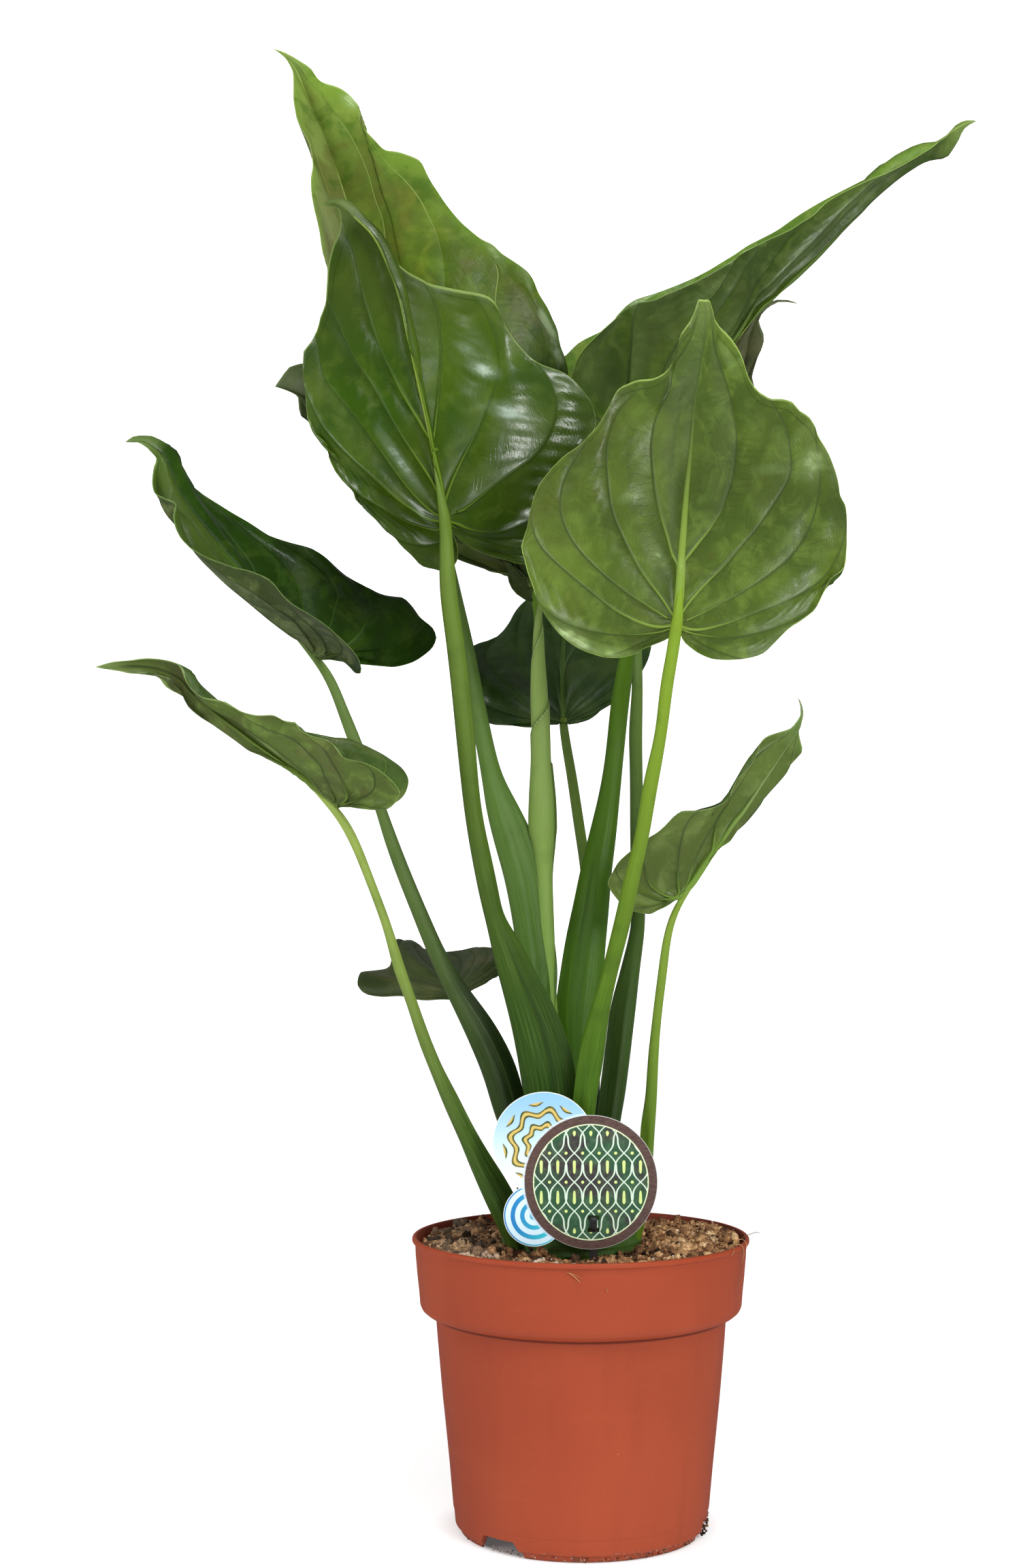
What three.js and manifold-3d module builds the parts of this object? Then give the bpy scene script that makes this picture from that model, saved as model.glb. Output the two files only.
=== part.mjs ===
// Potted Chinese taro: eleven heart-shaped leaves on long stalks and one rolled new leaf, growing from a short
// stem base in peat, in a moulded plastic nursery pot with a plant label on a stake.
// Millimetres, +Z up, the pot's foot stands on z = 0.
import * as THREE from "three";
import { mergeVertices } from "three/addons/utils/BufferGeometryUtils.js";
import Module from "manifold-3d";

// ---- driving dimensions ----
const GAP = 0.35; // clearance between touching pieces
const SHIFT_X = 10.1, SHIFT_Y = -30.0; // from the pot's axis to the middle of the whole plant
const RIM_R = 95, RIM_Z = 163.3; // 19 cm pot
const FLOOR_Z = 9, FLOOR_T = 1.5; // raised floor of the pot
const WALL = 1.5;
const SOIL_Z = 157; // soil level at the pot's axis
const NOTCH_ANGLES = [-41, 79, 199]; // drain notches in the foot, from the front (-Y) towards +X
const LEAF_T = 1.1, LEAF_TIP_T = 0.7; // blade thickness
const LABEL_T = 0.8, LABEL_Y = -52, LABEL_LEAN = 0.03;
const STAKE_W = 4.2, STAKE_T = 1.6;

// ---- leaves: points on the midrib from the stalk to the tip, and on the right and left margins from the stalk's
// notch round the basal lobe towards the tip (right and left as seen on the upper face with the tip up) ----
const BLADES = [
  {
    name: "leaf_1", bulge: 0.05,
    midrib: [[-88.1, 20.0, 598.7], [-96.7, 25.0, 631.3], [-105.2, 30.8, 663.8], [-113.6, 37.3, 696.1], [-122.4, 44.7, 728.2], [-133.7, 52.7, 759.2], [-144.6, 61.4, 790.3], [-155.5, 70.8, 821.1], [-167.7, 81.0, 851.3], [-186.2, 92.0, 877.0]],
    right: [[-85.7, 20.0, 595.5], [-59.4, 18.2, 583.1], [-32.1, 21.6, 596.8], [-14.6, 26.4, 622.0], [-6.6, 28.6, 652.2], [-10.9, 30.4, 682.9], [-24.1, 32.4, 710.8], [-44.5, 35.4, 733.1], [-68.2, 39.7, 752.6], [-85.9, 45.1, 777.7], [-105.2, 51.5, 799.4], [-128.0, 60.1, 816.9], [-139.9, 70.4, 842.7], [-162.0, 81.0, 860.8]],
    left: [[-90.4, 19.0, 595.4], [-109.3, 11.9, 582.1], [-127.3, 5.8, 600.3], [-137.3, 1.9, 624.2], [-142.1, -0.2, 649.9], [-144.5, -1.6, 675.9], [-144.9, -1.5, 702.0], [-148.5, 2.4, 727.2], [-153.5, 10.4, 751.5], [-156.4, 20.0, 775.6], [-158.2, 32.7, 798.0], [-166.8, 48.6, 816.8], [-171.2, 64.2, 837.3], [-173.2, 78.3, 859.1]],
  },
  {
    name: "leaf_2", bulge: 0.06,
    midrib: [[-75.2, -55.0, 561.3], [-79.6, -56.7, 582.9], [-84.2, -58.3, 604.3], [-88.7, -59.9, 625.8], [-93.4, -61.4, 647.3], [-98.2, -62.9, 668.7], [-103.4, -64.6, 690.0], [-112.1, -65.8, 710.2], [-126.0, -64.8, 727.0], [-143.4, -58.0, 735.1]],
    right: [[-75.3, -53.0, 559.0], [-68.8, -41.7, 544.1], [-83.5, -35.7, 537.3], [-99.0, -32.1, 548.9], [-112.9, -30.2, 563.2], [-126.3, -30.1, 578.2], [-138.3, -30.7, 594.2], [-146.8, -31.8, 611.7], [-154.1, -33.1, 629.7], [-156.1, -35.3, 649.6], [-149.1, -40.4, 666.8], [-142.0, -46.9, 684.5], [-140.4, -52.1, 704.0], [-134.2, -55.5, 722.8]],
    left: [[-73.0, -53.0, 559.8], [-56.5, -41.1, 546.0], [-33.0, -33.2, 540.3], [-12.6, -30.1, 554.3], [-2.2, -30.0, 577.4], [0.8, -30.0, 602.9], [7.5, -30.1, 626.1], [-6.9, -32.0, 646.5], [-29.6, -35.2, 656.9], [-43.9, -38.9, 677.3], [-62.0, -44.1, 690.6], [-86.3, -49.9, 694.7], [-107.0, -54.1, 708.7], [-122.3, -56.6, 728.3]],
  },
  {
    name: "leaf_3", bulge: 0.05,
    midrib: [[47.0, -112.0, 497.9], [48.4, -116.7, 516.0], [49.1, -120.9, 534.2], [50.4, -124.5, 552.6], [51.9, -127.1, 571.1], [53.7, -128.7, 589.6], [55.1, -130.0, 608.3], [57.5, -131.0, 626.8], [60.7, -131.7, 645.3], [60.4, -132.0, 664.0]],
    right: [[44.4, -109.0, 495.4], [30.6, -97.5, 486.6], [11.5, -91.5, 482.6], [-7.8, -89.6, 490.4], [-21.5, -88.4, 506.0], [-29.1, -88.0, 525.5], [-32.7, -89.1, 545.9], [-27.9, -92.0, 566.1], [-17.6, -95.9, 583.8], [-1.5, -100.2, 596.3], [10.7, -106.4, 612.1], [24.1, -113.4, 625.4], [42.8, -120.1, 630.7], [49.0, -126.1, 649.5]],
    left: [[49.0, -109.0, 495.0], [62.0, -98.0, 483.1], [82.0, -91.3, 481.7], [100.6, -88.1, 490.3], [116.6, -85.7, 504.3], [128.3, -84.3, 521.4], [139.7, -84.1, 538.8], [140.1, -85.9, 560.1], [134.5, -89.2, 580.1], [125.3, -93.5, 598.8], [112.9, -100.1, 614.1], [95.0, -109.1, 618.6], [83.7, -118.1, 633.2], [72.4, -125.4, 649.5]],
  },
  {
    name: "leaf_4", bulge: 0.07,
    midrib: [[54.9, 40.0, 620.4], [68.2, 42.6, 648.8], [86.0, 45.2, 674.6], [105.7, 47.9, 699.0], [127.8, 50.7, 721.0], [149.9, 53.6, 743.2], [171.9, 56.6, 765.5], [194.7, 59.6, 786.9], [222.6, 62.8, 800.1], [242.4, 66.0, 823.3]],
    right: [[51.9, 38.0, 617.2], [28.4, 25.5, 607.7], [4.9, 15.8, 620.0], [-5.9, 8.3, 646.0], [5.3, 3.1, 671.8], [26.4, 2.2, 692.5], [53.2, 4.9, 703.1], [78.9, 9.3, 716.4], [102.8, 14.3, 732.5], [127.8, 20.5, 746.3], [149.8, 28.2, 763.8], [173.8, 36.8, 778.4], [198.6, 45.7, 791.2], [220.3, 55.5, 808.1]],
    left: [[57.0, 42.0, 617.1], [34.7, 55.2, 609.8], [10.7, 63.9, 625.1], [-8.7, 70.0, 647.9], [-15.0, 74.6, 675.9], [8.5, 77.9, 694.2], [30.9, 80.4, 713.4], [58.3, 82.5, 725.6], [85.2, 83.8, 739.2], [111.1, 83.8, 754.9], [136.9, 82.1, 770.5], [163.4, 79.3, 784.8], [190.6, 76.0, 797.4], [217.0, 71.7, 811.3]],
  },
  {
    name: "leaf_5", bulge: 0.05,
    midrib: [[38.6, 112.0, 550.8], [46.0, 117.8, 575.1], [54.1, 124.0, 599.1], [63.5, 130.5, 622.5], [73.8, 137.3, 645.4], [85.4, 144.6, 667.6], [97.5, 152.7, 689.2], [110.7, 160.6, 710.3], [124.2, 166.9, 731.6], [146.9, 172.0, 738.3]],
    right: [[41.8, 110.0, 547.2], [58.3, 102.0, 537.6], [78.9, 97.1, 538.5], [97.7, 96.4, 548.6], [112.5, 99.2, 563.8], [122.6, 104.0, 582.1], [127.4, 109.4, 602.2], [126.4, 115.0, 622.7], [123.2, 121.6, 642.7], [118.2, 129.3, 662.0], [113.8, 137.5, 681.1], [119.5, 147.1, 699.2], [122.4, 157.3, 717.0], [127.7, 165.5, 734.2]],
    left: [[36.3, 110.0, 547.2], [17.2, 103.8, 546.9], [7.1, 100.5, 564.9], [4.9, 100.4, 586.0], [7.4, 105.2, 606.7], [13.7, 112.0, 625.8], [22.6, 119.1, 643.8], [33.6, 125.7, 660.8], [46.5, 131.6, 676.8], [61.0, 137.6, 691.1], [77.1, 144.1, 703.5], [94.1, 151.3, 714.0], [111.0, 159.1, 724.3], [127.6, 165.9, 735.9]],
  },
  {
    name: "leaf_6", bulge: 0.05,
    midrib: [[-150.2, 0.0, 492.7], [-163.3, -1.7, 505.7], [-175.8, -3.3, 519.2], [-188.0, -5.0, 533.0], [-200.2, -6.7, 546.8], [-212.0, -8.4, 560.9], [-223.5, -10.2, 575.3], [-233.2, -11.7, 590.9], [-241.2, -13.0, 607.3], [-258.3, -14.0, 612.3]],
    right: [[-147.4, 3.0, 490.7], [-129.4, 15.8, 488.1], [-110.5, 27.7, 488.2], [-92.9, 39.3, 494.4], [-85.4, 44.0, 512.1], [-100.6, 43.0, 528.4], [-121.4, 41.1, 534.1], [-140.5, 38.9, 545.5], [-158.1, 35.5, 558.7], [-179.0, 31.1, 564.8], [-197.8, 25.4, 575.3], [-215.4, 16.6, 585.6], [-231.0, 5.8, 597.3], [-239.0, -4.3, 614.7]],
    left: [[-148.4, -3.0, 489.3], [-137.1, -18.7, 487.3], [-127.1, -33.2, 480.3], [-124.3, -47.8, 486.5], [-136.2, -55.7, 499.4], [-151.5, -59.6, 510.5], [-166.7, -59.3, 522.1], [-181.8, -55.8, 533.1], [-199.9, -51.1, 538.5], [-215.7, -43.9, 546.9], [-227.2, -35.4, 559.8], [-229.6, -27.3, 576.5], [-243.1, -19.0, 586.1], [-241.4, -14.7, 604.3]],
  },
  {
    name: "leaf_7", bulge: 0.06,
    midrib: [[-134.1, -60.0, 404.7], [-147.2, -61.6, 415.8], [-160.8, -63.3, 426.4], [-175.0, -65.1, 435.9], [-188.7, -67.0, 446.3], [-202.4, -68.9, 456.6], [-214.9, -71.0, 468.3], [-228.7, -73.2, 477.8], [-245.7, -75.6, 479.4], [-262.7, -78.0, 478.8]],
    right: [[-131.3, -58.0, 404.0], [-117.8, -46.0, 403.9], [-103.1, -36.2, 407.3], [-97.0, -27.5, 420.8], [-108.6, -21.2, 432.8], [-124.7, -20.3, 440.7], [-142.1, -23.0, 443.8], [-159.2, -27.1, 448.0], [-175.5, -33.3, 452.6], [-190.7, -42.4, 455.4], [-203.6, -52.0, 463.7], [-215.9, -62.3, 467.2], [-228.6, -71.4, 471.9], [-245.1, -76.0, 475.5]],
    left: [[-132.9, -62.0, 403.5], [-120.3, -74.5, 402.3], [-105.9, -84.9, 402.2], [-100.5, -93.8, 413.7], [-113.1, -100.3, 424.4], [-128.9, -104.7, 430.1], [-142.9, -107.6, 439.4], [-157.4, -107.3, 447.6], [-174.3, -103.6, 450.4], [-189.7, -98.6, 457.5], [-205.3, -91.6, 460.8], [-214.5, -83.3, 473.2], [-227.2, -79.5, 482.2], [-245.2, -78.4, 482.0]],
  },
  {
    name: "leaf_8", bulge: 0.04,
    midrib: [[-73.2, 70.0, 294.0], [-74.1, 79.3, 296.4], [-75.1, 88.6, 298.9], [-76.1, 97.8, 301.5], [-77.2, 107.0, 304.2], [-78.3, 116.1, 307.0], [-79.7, 125.2, 309.9], [-81.4, 134.2, 312.9], [-83.6, 143.2, 315.7], [-86.9, 152.0, 317.8]],
    right: [[-70.3, 68.0, 292.9], [-62.4, 68.8, 297.4], [-54.6, 70.8, 301.6], [-48.3, 74.9, 306.5], [-43.4, 81.4, 310.4], [-40.3, 88.9, 314.7], [-41.5, 96.1, 319.7], [-46.5, 103.2, 321.2], [-52.5, 110.2, 321.5], [-58.1, 117.4, 321.6], [-63.6, 124.4, 321.0], [-69.3, 131.4, 319.6], [-75.1, 138.3, 318.3], [-80.9, 145.2, 317.7]],
    left: [[-75.6, 68.0, 292.1], [-86.3, 61.9, 292.2], [-97.9, 58.2, 293.2], [-110.0, 58.0, 294.5], [-122.4, 58.0, 295.1], [-131.0, 61.6, 301.7], [-129.4, 71.7, 308.3], [-122.4, 81.9, 309.0], [-115.0, 91.8, 309.5], [-112.4, 101.8, 315.5], [-112.0, 112.0, 322.7], [-107.5, 122.4, 325.7], [-100.9, 132.7, 323.6], [-94.5, 142.5, 319.5]],
  },
  {
    name: "leaf_9", bulge: 0.05,
    midrib: [[54.5, -25.0, 354.7], [64.1, -24.2, 365.9], [72.4, -23.5, 378.2], [81.1, -22.9, 390.2], [90.2, -22.3, 401.9], [98.5, -21.7, 414.2], [106.9, -21.2, 426.4], [115.1, -20.8, 438.8], [122.1, -20.4, 451.7], [121.8, -20.0, 466.3]],
    right: [[51.4, -26.0, 352.1], [39.7, -33.4, 345.3], [25.8, -38.7, 348.1], [15.4, -42.3, 358.7], [18.6, -45.0, 372.5], [29.8, -45.9, 383.0], [42.6, -45.5, 391.5], [54.0, -44.2, 401.9], [69.1, -42.5, 403.5], [82.8, -40.1, 409.1], [90.4, -36.1, 422.1], [97.9, -31.6, 434.6], [106.5, -27.4, 445.7], [119.8, -23.7, 452.1]],
    left: [[52.5, -22.0, 353.5], [42.1, -9.3, 355.3], [32.2, 1.5, 362.7], [32.1, 10.0, 375.9], [42.4, 17.2, 386.5], [54.5, 21.7, 396.7], [69.0, 21.5, 404.4], [83.9, 19.4, 410.7], [95.2, 16.2, 420.1], [98.2, 12.3, 403.8], [108.5, 5.8, 413.6], [113.8, -1.6, 427.2], [125.3, -9.3, 436.3], [122.9, -16.1, 450.7]],
  },
  {
    name: "leaf_10", bulge: 0.06,
    midrib: [[-7.5, 80.0, 458.9], [-8.1, 91.4, 475.9], [-7.8, 103.0, 492.7], [-6.8, 114.8, 509.5], [-5.2, 126.5, 526.2], [-3.1, 138.6, 542.7], [-0.6, 151.1, 558.6], [2.2, 164.3, 574.1], [5.2, 178.0, 589.0], [7.7, 192.0, 603.7]],
    right: [[-4.3, 79.0, 457.6], [8.7, 84.7, 463.0], [19.0, 91.4, 471.8], [28.2, 99.6, 480.7], [36.2, 108.0, 490.6], [44.4, 115.0, 501.3], [48.1, 121.0, 514.4], [45.6, 128.3, 527.4], [41.0, 136.8, 539.2], [36.1, 145.9, 550.4], [31.0, 155.2, 561.3], [25.5, 164.3, 572.2], [19.9, 173.4, 583.0], [14.3, 182.7, 593.7]],
    left: [[-10.9, 79.0, 457.6], [-28.8, 79.7, 455.6], [-46.9, 81.4, 457.5], [-61.7, 85.1, 465.6], [-68.9, 92.1, 480.7], [-69.1, 100.3, 496.8], [-59.9, 108.7, 509.1], [-46.1, 118.0, 516.7], [-38.0, 127.7, 529.4], [-28.9, 137.9, 541.2], [-20.1, 148.1, 553.3], [-13.3, 158.7, 566.4], [-6.7, 169.5, 579.3], [0.1, 180.7, 591.8]],
  },
  {
    name: "leaf_11", bulge: 0.05,
    midrib: [[-26.8, 45.0, 537.4], [-43.4, 53.1, 552.8], [-60.0, 60.7, 568.5], [-76.6, 68.0, 584.2], [-93.2, 74.9, 600.1], [-109.9, 81.3, 616.1], [-127.2, 87.5, 631.7], [-145.4, 93.3, 646.2], [-164.4, 98.8, 660.0], [-185.8, 104.0, 669.3]],
    right: [[-29.2, 45.0, 541.4], [-31.4, 47.1, 558.2], [-32.6, 49.9, 574.9], [-40.9, 53.3, 589.4], [-52.7, 57.5, 601.2], [-65.8, 62.4, 611.2], [-79.7, 67.6, 619.7], [-93.4, 72.8, 628.6], [-106.8, 77.9, 637.9], [-119.7, 83.3, 647.8], [-132.5, 88.4, 658.0], [-145.3, 93.1, 668.4], [-158.7, 97.1, 678.3], [-174.7, 100.7, 681.4]],
    left: [[-24.4, 44.0, 533.2], [-35.6, 42.6, 532.2], [-42.2, 42.1, 548.3], [-53.2, 42.2, 561.8], [-70.4, 43.7, 566.4], [-87.3, 46.1, 563.0], [-102.8, 49.1, 571.7], [-115.5, 53.7, 583.4], [-126.3, 60.1, 596.1], [-136.1, 67.1, 609.2], [-145.4, 74.2, 622.6], [-155.8, 81.3, 635.2], [-167.7, 88.5, 646.5], [-171.3, 96.1, 661.4]],
  },
];

// ---- stalks: rows from the blade down to the soil: centre x, y, z, half width, half depth ----
const STALKS = [
  { name: "leaf_stalk_1", rows: [[-87.9, 20.0, 597.1, 2.9, 3.2], [-83.1, 21.0, 575.0, 3.3, 3.5], [-78.0, 22.0, 555.2, 3.7, 3.9], [-75.0, 21.0, 539.2, 4.6, 4.5], [-65.8, 18.0, 498.0, 5.0, 5.0], [-59.8, 15.0, 467.3, 5.0, 5.1], [-53.6, 12.0, 437.3, 5.2, 5.2], [-50.1, 11.0, 422.3, 6.2, 5.4], [-45.2, 10.0, 407.0, 8.9, 6.0], [-37.2, 8.0, 384.7, 11.3, 7.0], [-30.6, 5.0, 361.3, 11.6, 7.5], [-27.1, 3.0, 337.7, 11.0, 7.5], [-23.7, 0.0, 308.4, 11.0, 7.5], [-23.7, -2.0, 291.1, 9.1, 7.5], [-20.9, -5.0, 261.4, 8.1, 7.5], [-18.6, -7.0, 230.9, 7.3, 7.5], [-16.7, -8.0, 192.9, 6.5, 7.5], [-15.4, -8.0, 157.8, 6.4, 7.5]] },
  { name: "leaf_stalk_2", rows: [[-75.3, -53.0, 559.0, 3.3, 3.4], [-74.7, -52.0, 544.9, 3.9, 3.8], [-74.3, -51.0, 530.0, 4.6, 4.5], [-69.9, -48.0, 492.7, 5.0, 4.8], [-64.9, -45.0, 448.6, 5.2, 5.0], [-62.6, -43.0, 421.7, 4.9, 5.0], [-60.8, -42.0, 405.6, 4.8, 5.1], [-52.5, -38.0, 361.6, 5.5, 5.5], [-48.2, -36.0, 342.4, 5.2, 5.6], [-43.5, -35.0, 331.5, 7.7, 6.0], [-35.6, -33.0, 310.0, 10.3, 6.5], [-23.9, -30.0, 278.5, 14.1, 7.0], [-18.2, -29.0, 253.2, 15.4, 7.0], [-16.5, -28.0, 233.2, 13.8, 7.0], [-15.8, -28.0, 195.6, 12.3, 7.0], [-15.2, -28.0, 160.0, 11.8, 7.0]] },
  { name: "leaf_stalk_3", rows: [[46.8, -110.0, 496.0, 3.2, 3.2], [45.2, -107.0, 483.4, 3.2, 3.3], [42.8, -103.0, 469.4, 3.4, 3.4], [39.9, -95.0, 442.7, 3.2, 3.5], [34.9, -86.0, 415.2, 3.9, 3.8], [30.6, -76.0, 387.5, 3.8, 4.0], [24.6, -66.0, 359.6, 4.3, 4.4], [20.4, -58.0, 338.1, 4.5, 4.7], [14.6, -51.0, 314.2, 4.3, 4.9], [8.8, -46.0, 290.5, 5.5, 5.4], [4.4, -41.5, 266.3, 7.0, 5.6], [1.1, -39.5, 242.3, 6.4, 5.6], [-1.9, -38.0, 197.0, 6.4, 5.6], [-2.7, -38.0, 161.7, 6.4, 5.6]] },
  { name: "leaf_stalk_4", rows: [[54.9, 40.0, 618.4, 3.1, 3.4], [45.0, 39.0, 577.8, 3.5, 3.9], [36.6, 37.0, 537.2, 4.1, 4.3], [28.7, 33.0, 495.0, 4.5, 4.6], [24.5, 30.0, 468.4, 5.3, 5.0], [21.1, 26.0, 438.0, 5.3, 5.2], [18.4, 23.0, 418.0, 5.9, 5.6], [13.2, 18.0, 387.9, 7.9, 6.5], [9.5, 15.0, 368.3, 9.1, 7.0], [6.4, 12.0, 347.2, 10.5, 7.0], [3.6, 10.0, 330.1, 11.6, 7.0], [0.7, 7.0, 308.0, 12.4, 7.0], [-1.7, 5.0, 290.7, 12.4, 7.0], [-1.8, 2.0, 258.8, 10.1, 7.0], [-1.5, 0.0, 230.2, 8.1, 7.0], [-1.2, -1.0, 191.9, 7.4, 7.0], [-1.0, -1.0, 156.7, 6.8, 7.0]] },
  { name: "leaf_stalk_5", rows: [[38.5, 110.0, 548.0, 2.9, 2.8], [37.7, 98.0, 507.0, 3.3, 3.2], [37.8, 92.0, 485.5, 3.3, 3.3], [36.4, 84.0, 453.3, 4.1, 3.7], [36.1, 76.0, 426.5, 3.9, 3.7], [35.9, 63.0, 381.2, 4.1, 3.8], [36.0, 51.0, 344.1, 4.0, 3.9], [30.3, 40.0, 310.0, 5.7, 5.0], [25.3, 33.0, 285.4, 7.5, 6.0], [21.8, 27.0, 260.6, 7.5, 6.5], [18.4, 22.0, 236.0, 7.4, 6.5], [16.5, 20.0, 226.0, 6.9, 6.5], [14.2, 17.0, 189.4, 7.1, 6.5], [13.3, 16.0, 153.9, 7.1, 6.5]] },
  { name: "leaf_stalk_6", rows: [[-149.8, 2.0, 491.4, 2.2, 2.4], [-142.6, 2.0, 478.1, 2.8, 2.8], [-137.8, 1.0, 466.3, 2.9, 2.9], [-128.8, 1.0, 443.3, 3.6, 3.3], [-113.7, 0.0, 404.4, 3.1, 3.3], [-110.0, 0.0, 392.7, 3.6, 3.4], [-88.3, -1.0, 338.2, 4.5, 4.2], [-80.2, -1.0, 319.6, 5.0, 4.6], [-70.1, -1.0, 301.1, 6.2, 5.0], [-55.6, -2.0, 276.9, 8.9, 6.0], [-44.7, -2.0, 252.3, 9.8, 6.5], [-41.3, -3.0, 240.1, 9.7, 6.5], [-32.4, -4.0, 207.6, 7.9, 6.5], [-27.8, -5.0, 184.8, 7.3, 6.5], [-24.8, -5.0, 156.2, 6.5, 6.5]] },
  { name: "leaf_stalk_7", rows: [[-133.0, -60.0, 403.2, 2.4, 2.4], [-127.8, -58.0, 391.8, 2.6, 2.5], [-117.0, -54.0, 365.5, 2.4, 2.6], [-107.5, -50.0, 339.4, 2.5, 2.6], [-100.6, -46.0, 315.4, 3.2, 3.0], [-94.1, -44.0, 297.5, 3.0, 3.1], [-88.2, -42.0, 279.8, 3.4, 3.3], [-81.1, -40.0, 261.7, 3.5, 3.4], [-72.9, -37.0, 243.5, 4.6, 4.0], [-64.5, -35.0, 225.4, 5.1, 4.6], [-55.5, -32.0, 207.0, 6.7, 5.2], [-49.0, -30.0, 194.8, 7.9, 5.8], [-43.1, -29.0, 182.7, 8.3, 6.0], [-38.0, -28.0, 170.9, 7.6, 6.0], [-33.7, -27.0, 158.7, 6.4, 6.0]] },
  { name: "leaf_stalk_8", rows: [[-72.8, 70.0, 292.8, 1.8, 2.2], [-68.2, 67.0, 283.6, 2.2, 2.5], [-62.4, 62.0, 271.8, 2.2, 2.7], [-52.2, 51.0, 248.6, 2.6, 3.1], [-43.3, 41.0, 225.7, 3.0, 3.5], [-31.4, 30.0, 187.6, 3.5, 4.0], [-24.0, 24.0, 152.5, 3.9, 4.4]] },
  { name: "leaf_stalk_9", rows: [[52.8, -25.0, 353.2, 1.7, 1.9], [49.0, -24.0, 337.2, 2.1, 2.1], [45.3, -22.0, 312.9, 2.5, 2.4], [42.4, -19.0, 288.8, 2.5, 2.4], [40.2, -17.0, 264.3, 2.9, 2.7], [39.1, -15.0, 239.8, 3.3, 3.0], [37.1, -13.0, 224.0, 4.2, 3.6], [36.8, -12.0, 212.8, 3.8, 3.6], [34.1, -10.0, 185.5, 4.2, 3.8], [27.7, -8.0, 156.7, 4.5, 4.2]] },
  { name: "leaf_stalk_10", rows: [[-6.1, 80.0, 457.2, 2.7, 2.4], [-2.7, 71.0, 424.7, 3.0, 2.8], [1.7, 62.0, 393.0, 3.2, 3.0], [4.0, 58.0, 377.5, 3.2, 3.0], [7.4, 50.0, 344.9, 3.6, 3.2], [8.9, 38.0, 305.3, 4.0, 3.6], [8.1, 29.0, 258.5, 4.4, 4.0], [5.5, 25.0, 203.9, 4.7, 4.6], [3.3, 24.0, 152.5, 4.9, 4.8]] },
  { name: "leaf_stalk_11", rows: [[-26.4, 45.0, 534.2, 2.0, 2.2], [-23.6, 43.0, 521.8, 2.4, 2.3], [-23.3, 40.0, 495.7, 2.4, 2.4], [-22.4, 33.0, 438.3, 2.6, 2.6], [-21.1, 27.0, 384.9, 2.8, 2.8], [-19.8, 23.0, 345.4, 3.0, 2.9], [-17.5, 20.0, 306.2, 3.3, 3.2], [-15.2, 18.0, 259.4, 3.7, 3.6], [-13.5, 17.0, 205.0, 4.3, 4.0], [-13.2, 17.0, 153.7, 4.7, 4.4]] },
  { name: "rolled_new_leaf", rows: [[-19.7, 7.0, 539.0, 0.5, 0.5], [-20.9, 7.0, 530.3, 1.2, 1.2], [-22.3, 7.0, 522.5, 2.1, 2.2], [-23.4, 7.0, 515.0, 2.8, 2.9], [-23.7, 7.0, 504.4, 3.9, 3.8], [-23.7, 7.0, 492.6, 4.3, 4.2], [-23.2, 7.0, 473.0, 5.2, 4.9], [-22.2, 7.0, 437.0, 5.9, 5.6], [-21.6, 7.0, 406.9, 7.2, 6.4], [-21.5, 7.0, 394.4, 7.3, 6.6], [-20.8, 7.0, 384.7, 6.0, 6.0], [-20.3, 5.0, 362.5, 4.3, 4.4], [-19.5, 3.0, 338.1, 4.3, 4.2], [-17.7, 1.0, 299.4, 3.9, 4.0], [-14.2, -1.0, 245.6, 3.9, 4.0], [-11.6, -3.0, 192.2, 4.3, 4.2], [-10.5, -3.0, 157.0, 4.6, 4.4]] },
];

const V = (a) => new THREE.Vector3(a[0], a[1], a[2]);
const COLOURS = {
  pot: 0xb85234, soil: 0x4a3626, stem: 0x3f6a22, blade: 0x3c6428, stalk: 0x55802f, spear: 0x9cbf6a, label: 0x5f9a78, stake: 0x141414,
};

const wasm = await Module();
wasm.setup();

function toSolid(geometry) {
  const g = geometry.clone();
  g.deleteAttribute("normal");
  g.deleteAttribute("uv");
  const m = mergeVertices(g, 1e-4);
  return new wasm.Manifold(
    new wasm.Mesh({ numProp: 3, vertProperties: new Float32Array(m.attributes.position.array), triVerts: new Uint32Array(m.index.array) }),
  );
}
function toGeometry(solid) {
  const m = solid.getMesh();
  const g = new THREE.BufferGeometry();
  g.setAttribute("position", new THREE.BufferAttribute(new Float32Array(m.vertProperties), 3));
  g.setIndex(new THREE.BufferAttribute(new Uint32Array(m.triVerts), 1));
  g.computeVertexNormals();
  return g;
}
function largest(solid) {
  let best = null;
  for (const b of solid.decompose()) if (!best || b.volume() > best.volume()) best = b;
  return best;
}

const group = new THREE.Group();
group.position.set(SHIFT_X, SHIFT_Y, 0);
function addMesh(name, geometry, colour, roughness, side) {
  const m = new THREE.Mesh(geometry, new THREE.MeshStandardMaterial({ color: colour, roughness, metalness: 0 }));
  m.name = name;
  if (side) m.material.side = side;
  group.add(m);
  return m;
}

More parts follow.
